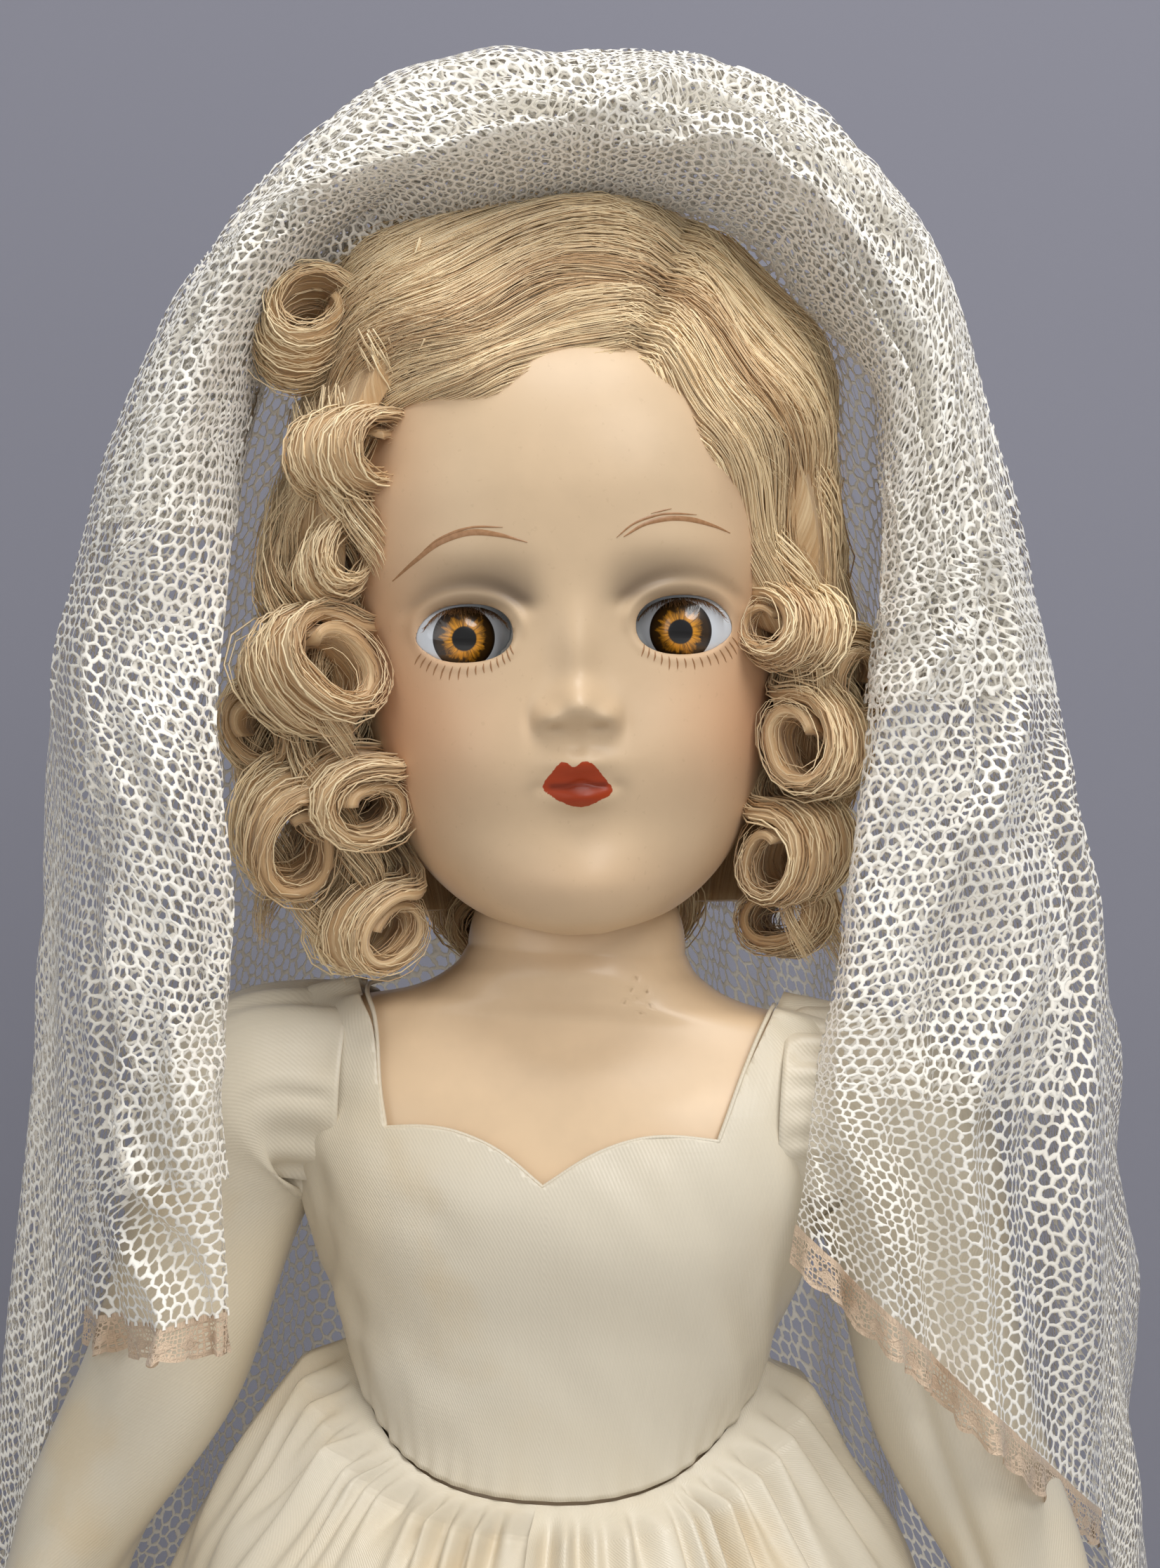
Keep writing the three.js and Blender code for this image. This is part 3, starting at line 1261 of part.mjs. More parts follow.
// Rings round the skull from the hairline to the top, at a distance from the skin.
function skullRings(line, outAt, hangShare) {
  const rise = [0, 0.08, 0.18, 0.33, 0.5, 0.68, 0.84, 0.95, 1];
  const turns = ringTurns(CAP_SIDES).map((turn) => turn - Math.PI);
  return rise.map((share) =>
    turns.map((turn) => {
      const [low] = reading(line, Math.abs(turn) / Math.PI);
      return hairPoint(turn, mix(low, 1, share), outAt(turn, share), hangShare);
    }),
  );
}

// How far the hair stands out: full over the crown, thin at its edge and where the curls lie, in waves.
function hairOut(inner, turn, share) {
  const bell = Math.exp(-(((Math.abs(turn) / Math.PI - 0.42) / 0.13) ** 2));
  const swell = Math.sin(Math.min(share * 3, 1) * (Math.PI / 2)) * (1 - 0.72 * bell * (1 - share ** 6));
  const comb = HAIR_WAVE * Math.cos(5 * turn + 9 * share) * swell * (1 - share ** 4);
  return mix(inner + CLOTH, inner + HAIR_DEPTH, swell) + comb;
}

// A barrel curl: a band of hair rolled up on itself.
function curlShape(radius) {
  const count = Math.round(CURL_TURNS * 8);
  const arm = (inset) =>
    steps(0, 1, count).map((t) => {
      const r = radius * (mix(1, 0.62, t) - inset);
      const a = 2 * Math.PI * CURL_TURNS * t;
      return new THREE.Vector2(r * Math.cos(a), r * Math.sin(a));
    });
  return new THREE.Shape([...arm(0), ...arm(CURL_BAND_SHARE).reverse()]);
}

// Curls of the wig: shares across of half the head's width, up its height and back of the nape's depth, then
// the turn of the roll in half circles, its radius and its length
const CURL_SHARES = [
  [-1.09, 0.924, -0.1, 0, 0.93, 0.9],
  [-0.97, 0.715, -0.56, 0.06, 0.86, 0.8],
  [-1.1, 0.4, -0.33, 0, 1.15, 1],
  [-1.14, 0.145, -0.2, 0, 1.08, 1],
  [-0.91, 0.02, -0.1, -0.03, 0.8, 1],
  [0.94, 0.445, -0.48, 0, 0.72, 0.8],
  [1, 0.27, -0.33, 0, 0.87, 0.95],
  [0.88, 0.1, -0.24, 0.03, 0.88, 1],
  [0.93, -0.005, 0.22, 0.06, 0.82, 1],
  [-0.42, 0.03, 1.1, 0.42, 0.95, 1.7],
  [0.45, 0.03, 1.1, 0.58, 0.95, 1.7],
];

function buildWig(group) {
  const under = 6 * GAP;
  const capOver = skullRings(CAP_LINE_SHARES, () => under + CAP_THICK, JAW_SHARE);
  const capUnder = skullRings(CAP_LINE_SHARES, () => under, JAW_SHARE);
  add(group, "wig_cap", wall(capOver, capUnder, true), BUCKRAM);
  const inner = under + CAP_THICK + GAP;
  const skull = skullRings(CAP_LINE_SHARES, () => inner, JAW_SHARE);
  const below = [-0.12, 0.2].map((share) =>
    ringTurns(CAP_SIDES).map((turn) => hairPoint(turn - Math.PI, share, inner, JAW_SHARE)),
  );
  const over = skullRings(HAIR_LINE_SHARES, (turn, share) => hairOut(inner, turn, share), HANG_SHARE);
  const capRoom = loft([...below, ...skull]);
  let crown = cut(loft(over), capRoom);
  const skin = loft(FACE_LEVELS.map((share) => headRing(share, 2 * EASE + GAP, HEAD_TURNS, true)));
  CURL_SHARES.forEach(([across, up, back, turnShare, radiusShare, lengthShare], i) => {
    const length = CURL_LENGTH * lengthShare;
    const radius = CURL_RADIUS * radiusShare;
    const place = (shape) => {
      if (across > 0) shape.rotateY(Math.PI);
      shape.rotateZ(turnShare * Math.PI);
      const x = (across * HEAD_WIDTH) / 2;
      return solid(shape.translate(x, back * NAPE_DEPTH, HEAD_Z + up * HEAD_HEIGHT));
    };
    const roll = new THREE.ExtrudeGeometry(curlShape(radius), { depth: length, bevelEnabled: false });
    roll.translate(0, 0, -length / 2).rotateX(Math.PI / 2);
    add(group, `curl_${i + 1}`, cut(place(roll), skin, capRoom), MOHAIR);
    const room = radius + 2 * GAP;
    const nest = new THREE.CylinderGeometry(room, room, length + 2 * GAP, 14);
    crown = crown.subtract(place(nest));
  });
  add(group, "hair_crown", crown, MOHAIR);
}

// The veil's outline seen from the front, from the lower end on the doll's right over the crown to the lower
// end on its left: inner edge across and up, outer edge across and up. Across is a share of the veil's half
// width, and up is a share of its fall from the top.
const VEIL_SHARES = [
  [-0.63, 0.02, -0.9, 0.0],
  [-0.65, 0.18, -0.93, 0.17],
  [-0.63, 0.3, -0.94, 0.33],
  [-0.66, 0.48, -0.96, 0.52],
  [-0.62, 0.69, -0.86, 0.68],
  [-0.45, 0.84, -0.68, 0.84],
  [-0.2, 0.89, -0.35, 0.98],
  [0.03, 0.905, 0.0, 1],
  [0.25, 0.89, 0.27, 0.99],
  [0.41, 0.84, 0.47, 0.94],
  [0.52, 0.73, 0.66, 0.85],
  [0.54, 0.59, 0.8, 0.65],
  [0.52, 0.48, 0.9, 0.49],
  [0.48, 0.33, 0.96, 0.37],
  [0.43, 0.2, 1.0, 0.18],
  [0.39, 0.08, 0.98, -0.16],
];
const VEIL_ROWS = VEIL_SHARES.map((row, i) => [i / (VEIL_SHARES.length - 1), ...row]);

// Across the veil, from the edge that frames the face to the seam behind: how far out and how far forward
const PUFF_SHARES = [
  [0, -0.02, 0.1],
  [0.15, 0.1, 0.75],
  [0.35, 0.4, 1],
  [0.6, 0.78, 0.75],
  [0.8, 0.97, 0.3],
  [1, 1, 0],
];

// A point of the veil's framing part: s runs along the arch and v across it.
function veilPoint(s, v) {
  const [innerX, innerZ, outerX, outerZ] = reading(VEIL_ROWS, s);
  const [out, ahead] = reading(PUFF_SHARES, v);
  const low = VEIL_TOP - VEIL_FALL;
  const ripple = VEIL_FOLD * Math.sin(Math.PI * v) * Math.cos(5.5 * Math.PI * v + 14 * s);
  const x = mix(innerX, outerX, out) * VEIL_HALF;
  const z = low + mix(innerZ, outerZ, out) * VEIL_FALL;
  const y = mix(VEIL_FRONT_Y, VEIL_SEAM_Y, v ** 3) - ahead * VEIL_PUFF - ripple;
  const crown = (z - EYE_Z) / (VEIL_TOP - EYE_Z);
  const tuck = Math.max(1 - v / 0.15, 0) * THREE.MathUtils.smoothstep(crown, 0.35, 0.65);
  const p = at(x, y, z);
  return p.lerp(at(x * 0.86, VEIL_TUCK_Y, mix(z, EYE_Z, 0.1)), tuck);
}

// A point of the veil's back: c runs from one front edge round to the other and r down to the hem.
function veilBackPoint(c, r) {
  const start = veilPoint(c, 1).add(at(0, GAP + CLOTH / 2, 0));
  const swing = Math.PI * c;
  const hemY = mix(VEIL_HEM_FRONT, VEIL_HEM_BACK, Math.sin(swing));
  const hem = at(-VEIL_HEM_HALF * Math.cos(swing), hemY, VEIL_HEM);
  const back = Math.sin(swing);
  const bow = at(
    mix(start.x, hem.x, 0.55),
    mix(start.y, hem.y, mix(0.5, 0.8, back)),
    mix(start.z, hem.z, mix(0.5, 0.1, back)),
  );
  const p = start.multiplyScalar((1 - r) ** 2);
  p.addScaledVector(bow, 2 * r * (1 - r)).addScaledVector(hem, r * r);
  const fold = VEIL_FOLD * 1.6 * r * Math.cos(2 * Math.PI * VEIL_BACK_FOLDS * c);
  return p.add(at(fold * Math.cos(swing) * -1, fold * back, 0));
}

// A strip of lace along an edge of the veil, hanging on from it.
function laceStrip(edge, beyond) {
  const rows = [0, 1].map((row) =>
    edge.map((p, i) => {
      const way = p.clone().sub(beyond[i]).normalize();
      return p.clone().addScaledVector(way, row ? LACE_WIDTH : GAP);
    }),
  );
  return sheet(rows, CLOTH);
}

function buildVeil(group) {
  const alongArch = steps(0, 1, 30);
  const acrossArch = steps(0, 1, 7);
  add(group, "veil_front", sheet(alongArch.map((s) => acrossArch.map((v) => veilPoint(s, v)))), NET);
  const round = steps(0, 1, 32);
  const down = steps(0, 1, 7);
  add(group, "veil_back", sheet(down.map((r) => round.map((c) => veilBackPoint(c, r)))), NET);
  const inset = 0.02;
  const edge = (s) => acrossArch.map((v) => veilPoint(s, v));
  add(group, "veil_lace_right", laceStrip(edge(0), edge(inset)), LACE);
  add(group, "veil_lace_left", laceStrip(edge(1), edge(1 - inset)), LACE);
  const hem = (r) => round.map((c) => veilBackPoint(c, r));
  add(group, "veil_lace_back", laceStrip(hem(1), hem(1 - inset)), LACE);
}

const body = new THREE.Group();
buildTorso(body);
buildElastic(body);
buildGown(body);
for (const [name, side] of SIDES) {
  buildArm(body, name, side);
  buildLeg(body, name, side);
}
doll.add(body);

// The head and all that it carries turn and tilt together about the ball of the neck.
const seated = new THREE.Group();
seated.position.copy(BALL);
seated.rotation.set(0, radians(HEAD_TILT_DEG), radians(HEAD_TURN_DEG), "ZYX");
const head = new THREE.Group();
head.position.copy(BALL).negate();
seated.add(head);
buildHead(head);
buildEyeSockets(head);
buildEyes(head);
buildNeckStringing(head);
buildWig(head);
doll.add(seated);

// The veil is pinned to the hair, and hangs more nearly plumb than the head.
const veil = new THREE.Group();
veil.position.copy(BALL);
veil.rotation.set(0, radians(VEIL_TILT_DEG), radians(HEAD_TURN_DEG), "ZYX");
const net = new THREE.Group();
net.position.copy(BALL).negate();
veil.add(net);
buildVeil(net);
doll.add(veil);

// The origin is under the middle of the whole doll, on the floor.
doll.updateMatrixWorld(true);
const bounds = new THREE.Box3().setFromObject(doll, true);
const centre = bounds.getCenter(at(0, 0, 0));
doll.position.set(-centre.x, -centre.y, -bounds.min.z);

export default doll;
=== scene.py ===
"""A strung composition bride doll with sleep eyes, a combed mohair wig, a satin gown and a net veil.

Every shape is worked out in millimetres with numpy and handed to Blender in metres. The doll faces -Y and its own
left side is at +X. The head's pieces are made upright and then turned and tilted together about the neck's ball.
"""

from math import cos, pi, radians, sin

import bpy
import numpy as np
from mathutils import Matrix


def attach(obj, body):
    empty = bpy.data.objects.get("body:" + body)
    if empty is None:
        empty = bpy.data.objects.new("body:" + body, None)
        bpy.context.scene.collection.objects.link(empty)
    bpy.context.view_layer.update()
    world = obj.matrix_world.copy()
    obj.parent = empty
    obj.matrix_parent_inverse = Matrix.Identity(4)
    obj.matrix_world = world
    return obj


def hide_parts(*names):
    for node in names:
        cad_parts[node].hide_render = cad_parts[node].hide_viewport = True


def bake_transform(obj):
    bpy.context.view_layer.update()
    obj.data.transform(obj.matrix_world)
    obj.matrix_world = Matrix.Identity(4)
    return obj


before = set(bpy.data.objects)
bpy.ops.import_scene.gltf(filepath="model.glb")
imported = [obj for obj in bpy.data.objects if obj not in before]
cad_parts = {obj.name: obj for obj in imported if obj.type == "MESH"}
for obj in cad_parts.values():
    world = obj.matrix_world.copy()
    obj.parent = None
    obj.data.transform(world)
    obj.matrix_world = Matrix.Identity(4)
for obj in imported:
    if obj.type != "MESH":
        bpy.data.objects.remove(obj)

bl_info = {
    "name": "Composition bride doll",
    "version": (1, 0, 0),
    "blender": (4, 5, 0),
    "location": "View3D > Sidebar > Bride doll",
    "description": "Makes a strung composition doll in a satin wedding gown with a net veil",
    "category": "Add Mesh",
}

MM = 0.001


def length(name, description, default):
    """A size property, given in millimetres and held in metres."""
    return bpy.props.FloatProperty(
        name=name, description=description, default=default * MM, min=0.0, subtype="DISTANCE", unit="LENGTH"
    )


def colour(name, description, default):
    """A colour property."""
    return bpy.props.FloatVectorProperty(
        name=name, description=description, default=default, size=3, min=0.0, max=1.0, subtype="COLOR"
    )


class BrideDollSizes(bpy.types.PropertyGroup):
    """Sizes that change the doll's looks within the frame of its solid model."""

    lid_ridge: length("Lid ridge", "How proud the upper eyelid's rim stands", 0.75)
    iris_radius: length("Iris radius", "Half the width of the painted iris", 5.15)
    pupil_radius: length("Pupil radius", "Half the width of the pupil", 1.85)
    strand_radius: length("Hair strand", "Radius of a drawn strand of mohair", 0.11)
    net_pitch: length("Net pitch", "Distance between the holes of the veil's net", 2.65)
    net_thread: length("Net thread", "Width of the threads between the holes", 0.7)
    lace_width: length("Lace width", "Width of the lace along the veil's edges", 6.5)
    pucker_depth: length("Pucker depth", "Depth of the skirt's gathers just under the waist", 2.4)
    weave_pitch: length("Satin weave", "Distance between the satin's twill lines", 0.5)


class BrideDollColours(bpy.types.PropertyGroup):
    """Paint, cloth and hair colours."""

    skin: colour("Skin", "Painted and varnished composition", (0.78, 0.57, 0.36))
    # Blush colour: airbrushed cheeks, and also painted shade towards the face's sides, heavier on the doll's right.
    blush: colour("Blush", "Airbrushed cheek colour", (0.72, 0.36, 0.19))
    # Eye-shadow colour: airbrushed lids, and also painted shade in the eye sockets, the nostrils and the mouth's
    # corners.
    smoke: colour("Eye shadow", "Airbrushed shadow over the eyelids", (0.16, 0.11, 0.07))
    lips: colour("Lips", "Painted lips", (0.37, 0.036, 0.0))
    brows: colour("Brows", "Painted brows and lower lashes", (0.24, 0.11, 0.035))
    iris: colour("Iris", "Amber of the iris", (0.62, 0.26, 0.014))
    hair_light: colour("Hair, light", "Mohair where it catches the light", (1.0, 0.81, 0.51))
    # The dark end of the hair's range is also painted shade: the shells under the strands and the deeper hairs of the
    # curls take it.
    hair_dark: colour("Hair, dark", "Mohair in the depth of the waves", (0.56, 0.35, 0.17))
    satin: colour("Satin", "Ivory rayon satin", (0.71, 0.635, 0.5))
    cotton: colour("Cotton", "Plain white cotton", (0.82, 0.8, 0.74))
    net: colour("Net", "Cream cotton net", (1.0, 0.95, 0.85))
    lace: colour("Lace", "Aged lace edging", (0.74, 0.56, 0.4))
    shoe: colour("Shoes", "White leatherette", (0.82, 0.79, 0.7))
    backdrop: colour("Backdrop", "Plain blue-grey backdrop", (0.27, 0.27, 0.318))
    floor: colour("Floor", "Plain pale floor", (0.62, 0.61, 0.6))


def sizes():
    """The doll's sizes, as the sidebar holds them."""
    return bpy.context.scene.bride_doll_sizes


def colours():
    """The doll's colours, as the sidebar holds them."""
    return bpy.context.scene.bride_doll_colours


# Reading and blending numbers


def mix(a, b, t):
    """The value a share t of the way from a to b."""
    return a + (b - a) * t


def smooth(x, low, high):
    """An S-shaped rise from 0 at low to 1 at high: three squares less two cubes."""
    t = np.clip((np.asarray(x, float) - low) / (high - low), 0, 1)
    return t * t * (3 - 2 * t)


def bell(x, centre, spread):
    """A bell of height 1: e to the minus square of the distance over the spread."""
    return np.exp(-(((np.asarray(x, float) - centre) / spread) ** 2))


def bulge(v, power):
    """A superellipse's corner rule: the signed value to the power of 2 over the corner number."""
    return np.sign(v) * np.abs(v) ** (2 / power)


def reading(rows, x):
    """A smooth reading of a table at x: cubic pieces whose slope at each row is that between its neighbours."""
    rows = np.asarray(rows, float)
    x = np.clip(np.asarray(x, float), rows[0, 0], rows[-1, 0])
    i = np.clip(np.searchsorted(rows[:, 0], x, side="right") - 1, 0, len(rows) - 2)
    place, value = rows[:, 0], rows[:, 1:]
    before = np.maximum(np.arange(len(rows)) - 1, 0)
    after = np.minimum(np.arange(len(rows)) + 1, len(rows) - 1)
    slope = (value[after] - value[before]) / (place[after] - place[before])[:, None]
    span = (place[i + 1] - place[i])[..., None]
    t = (x - place[i])[..., None] / span
    rise = value[i + 1] - value[i]
    out = slope[i] * span - rise
    into = rise - slope[i + 1] * span
    return value[i] + rise * t + t * (1 - t) * ((1 - t) * out + t * into)


def wander(u, v, seed):
    """Smooth noise from -1 to 1: seeded random values at whole numbers, read between with an S-shaped ease."""
    u, v = np.broadcast_arrays(np.asarray(u, float), np.asarray(v, float))
    table = np.random.default_rng(seed).uniform(-1, 1, (61, 61))
    i, j = np.floor(u).astype(int), np.floor(v).astype(int)
    s, t = u - i, v - j
    s, t = s * s * (3 - 2 * s), t * t * (3 - 2 * t)
    low = mix(table[i % 61, j % 61], table[(i + 1) % 61, j % 61], s)
    high = mix(table[i % 61, (j + 1) % 61], table[(i + 1) % 61, (j + 1) % 61], s)
    return mix(low, high, t)


def stack(x, y, z):
    """Three arrays joined into points."""
    return np.stack(np.broadcast_arrays(x, y, z), -1).astype(float)


def unit(v):
    """Vectors brought to length 1."""
    return v / np.maximum(np.linalg.norm(v, axis=-1, keepdims=True), 1e-9)


def along(points, count):
    """Evenly spaced points on a smooth line through the given ones, by distance walked."""
    points = np.asarray(points, float)
    walked = np.r_[0, np.cumsum(np.linalg.norm(np.diff(points, axis=0), axis=1))]
    return reading(np.c_[walked, points], np.linspace(0, walked[-1], count))


# Turning and tilting

BALL = np.array([0, 2, 405.0])


def turned(tilt):
    """The turn of the head by 8 degrees about the upright, after a tilt about the line of sight."""
    a, b = radians(8), radians(tilt)
    upright = np.array([[cos(a), -sin(a), 0], [sin(a), cos(a), 0], [0, 0, 1]])
    sideways = np.array([[cos(b), 0, sin(b)], [0, 1, 0], [-sin(b), 0, cos(b)]])
    return upright @ sideways


HEAD_SEAT, VEIL_SEAT = turned(-4.5), turned(-2.2)


def seated(points, seat=HEAD_SEAT):
    """Points moved from the upright head's place to the seated one, about the middle of the neck's ball."""
    return (np.asarray(points, float) - BALL) @ seat.T + BALL


# Meshes


def mesh_of(name, points, faces, uv=None, **values):
    """A piece from points in millimetres, blocks of faces with equal corners, and values or vectors at the points.

    uv is given at each corner of the faces, in metres of cloth.
    """
    blocks = [np.asarray(block, np.int32) for block in (faces if isinstance(faces, list) else [faces]) if len(block)]
    corners = np.concatenate([block.ravel() for block in blocks])
    counts = np.concatenate([np.full(len(block), block.shape[1], np.int32) for block in blocks])
    mesh = bpy.data.meshes.new(name)
    mesh.vertices.add(len(points))
    mesh.vertices.foreach_set("co", (np.asarray(points, float) * MM).astype(np.float32).ravel())
    mesh.loops.add(len(corners))
    mesh.loops.foreach_set("vertex_index", corners)
    mesh.polygons.add(len(counts))
    mesh.polygons.foreach_set("loop_start", np.r_[0, np.cumsum(counts)[:-1]].astype(np.int32))
    mesh.polygons.foreach_set("use_smooth", np.ones(len(counts), bool))
    if uv is not None:
        mesh.uv_layers.new(name="cloth").data.foreach_set("uv", np.asarray(uv, np.float32).ravel())
    mesh.update(calc_edges=True)
    for key, value in values.items():
        paint(mesh, key, value)
    piece = bpy.data.objects.new(name, mesh)
    bpy.context.scene.collection.objects.link(piece)
    return piece


def paint(mesh, key, value):
    """Puts a number or a vector at each point of a mesh under a name that a material reads."""
    value = np.asarray(value, np.float32)
    if value.ndim > 1 and value.shape[-1] == 3:
        mesh.attributes.new(key, "FLOAT_VECTOR", "POINT").data.foreach_set("vector", value.ravel())
    else:
        mesh.attributes.new(key, "FLOAT", "POINT").data.foreach_set("value", value.ravel())


def grid(name, points, uv=None, closed=False, ends=(), flip=False, **values):
    """A surface over rows and columns of points. Rows that rise and columns that run from the front towards +X face
    outwards. A closed grid joins its last column to its first, and each named end is filled with a fan."""
    rows, columns = points.shape[:2]
    index = np.arange(rows * columns).reshape(rows, columns)
    wide = np.c_[index, index[:, :1]] if closed else index
    quads = np.stack([wide[:-1, :-1], wide[:-1, 1:], wide[1:, 1:], wide[1:, :-1]], -1).reshape(-1, 4)
    flat = points.reshape(-1, 3)
    corners = None
    if uv is not None:
        corners = np.stack([uv[:-1, :-1], uv[:-1, 1:], uv[1:, 1:], uv[1:, :-1]], 2).reshape(-1, 4, 2)
    fans = []
    values = {k: np.asarray(v, float).reshape(rows * columns, -1) for k, v in values.items()}
    for end in ends:
        ring = wide[0] if end == "low" else wide[-1]
        middle = flat[ring].mean(0)
        flat = np.vstack([flat, middle])
        pair = (ring[1:], ring[:-1]) if end == "low" else (ring[:-1], ring[1:])
        fans.append(np.stack([*pair, np.full(len(ring) - 1, len(flat) - 1)], -1))
        values = {k: np.vstack([v, v[ring].mean(0)]) for k, v in values.items()}
    if flip:
        quads = quads[:, ::-1]
        fans = [fan[:, ::-1] for fan in fans]
        corners = corners[:, ::-1] if corners is not None else None
    if corners is not None:
        corners = np.concatenate([corners.reshape(-1, 2), np.zeros((3 * sum(map(len, fans)), 2))])
    values = {k: v.squeeze() for k, v in values.items()}
    return mesh_of(name, flat, [quads, *fans], corners, **values)


def strands(name, paths, radii, sides=3, lean=(0.0, -1.0, 0.3), **values):
    """Tapering threads along many paths at once: at each point of a path a small ring stands square to it.

    paths is threads by points by three, radii is threads by points, and values are threads by points."""
    count, steps = paths.shape[:2]
    ahead = unit(np.gradient(paths, axis=1))
    across = unit(np.cross(ahead, np.asarray(lean, float)))
    other = np.cross(ahead, across)
    turn = 2 * pi * np.arange(sides) / sides
    ring = across[..., None, :] * np.cos(turn)[:, None] + other[..., None, :] * np.sin(turn)[:, None]
    points = paths[..., None, :] + ring * radii[..., None, None]
    index = np.arange(count * steps * sides).reshape(count, steps, sides)
    after = np.roll(index, -1, axis=2)
    quads = np.stack([index[:, :-1], after[:, :-1], after[:, 1:], index[:, 1:]], -1).reshape(-1, 4)
    caps = [index[:, 0, ::-1], index[:, -1]]
    made = {k: np.repeat(np.asarray(v, float).reshape(count, steps, 1), sides, 2).ravel() for k, v in values.items()}
    return mesh_of(name, points.reshape(-1, 3), [quads, *caps] if sides > 2 else quads, **made)


def tube(name, line, radius, count=60, sides=12, **values):
    """A round cord along a smooth line through points."""
    path = along(line, count)[None]
    return strands(name, path, np.full(path.shape[:2], float(radius)), sides, (0.3, 0.2, 1.0), **values)


def merged(name, pieces):
    """One piece out of several, joined as loose shells of one mesh."""
    with bpy.context.temp_override(active_object=pieces[0], selected_editable_objects=pieces):
        bpy.ops.object.join()
    pieces[0].name = pieces[0].data.name = name
    return pieces[0]


def baked(piece):
    """The piece with its modifiers worked into its mesh."""
    graph = bpy.context.evaluated_depsgraph_get()
    mesh = bpy.data.meshes.new_from_object(piece.evaluated_get(graph), preserve_all_data_layers=True, depsgraph=graph)
    piece.modifiers.clear()
    old, piece.data = piece.data, mesh
    bpy.data.meshes.remove(old)
    mesh.shade_smooth()
    return piece


def carved(piece, *tools, keep=(), solver="MANIFOLD"):
    """The piece with each tool cut out of it, and with what lies outside each kept shape cut away."""
    for tool in (*tools, *keep):
        step = piece.modifiers.new("carve", "BOOLEAN")
        step.object, step.solver = tool, solver
        step.operation = "INTERSECT" if tool in keep else "DIFFERENCE"
    baked(piece)
    for tool in (*tools, *keep):
        bpy.data.objects.remove(tool)
    return piece


def thick(piece, millimetres, offset=0.0):
    """A sheet given its cloth's thickness."""
    wall = piece.modifiers.new("thickness", "SOLIDIFY")
    wall.thickness, wall.offset, wall.use_even_offset = millimetres * MM, offset, False
    return baked(piece)


def points_of(piece):
    """The piece's points in millimetres."""
    co = np.empty(len(piece.data.vertices) * 3, np.float32)
    piece.data.vertices.foreach_get("co", co)
    return co.reshape(-1, 3).astype(float) / MM


def move_points(piece, points):
    """Moves a piece's vertices to new points, in millimetres."""
    piece.data.vertices.foreach_set("co", (points * MM).astype(np.float32).ravel())
    piece.data.update()
    return piece


def rod_tool(centre, axis, radius, reach, sides=64):
    """A plain rod for cutting: rings of points about an axis through a centre, as far as reach both ways."""
    turn = np.linspace(0, 2 * pi, sides, endpoint=False)
    axis = unit(np.asarray(axis, float))
    first = unit(np.cross(axis, [0.31, 0.2, 0.93]))
    second = np.cross(axis, first)
    ring = radius * (np.cos(turn)[:, None] * first + np.sin(turn)[:, None] * second)
    rows = np.stack([np.asarray(centre) + ring - axis * reach, np.asarray(centre) + ring + axis * reach])
    return grid("tool", rows, closed=True, ends=("low", "high"))


def ball_tool(centre, radius, sides=64):
    """A ball for cutting, from rings of points between two poles."""
    up = np.linspace(-pi / 2, pi / 2, sides // 2 + 1)[1:-1, None]
    turn = np.linspace(0, 2 * pi, sides, endpoint=False)[None]
    shape = stack(np.cos(up) * np.sin(turn), -np.cos(up) * np.cos(turn), np.sin(up) + 0 * turn)
    return grid("tool", np.asarray(centre) + radius * shape, closed=True, ends=("low", "high"))


def prism_tool(outline, low, high, axis="y"):
    """A flat outline in X and Z carried along Y, or one in Y and Z carried along X."""
    outline = np.asarray(outline, float)
    area = np.sum(outline[:, 0] * np.roll(outline[:, 1], -1) - outline[:, 1] * np.roll(outline[:, 0], -1))
    outline = outline if area > 0 else outline[::-1]
    a, b = outline.T
    if axis == "y":
        rows = np.stack([stack(a, high, b), stack(a, low, b)])
    else:
        rows = np.stack([stack(low, a, b), stack(high, a, b)])
    return grid("tool", rows, closed=True, ends=("low", "high"))


def box_tool(low, high):
    """A plain box between two corners, to cut with."""
    a, b = np.asarray(low, float), np.asarray(high, float)
    ring = [(a[0], a[1]), (b[0], a[1]), (b[0], b[1]), (a[0], b[1])]
    rows = np.array([[(x, y, z) for x, y in ring] for z in (a[2], b[2])])
    return grid("tool", rows, closed=True, ends=("low", "high"))


# Materials


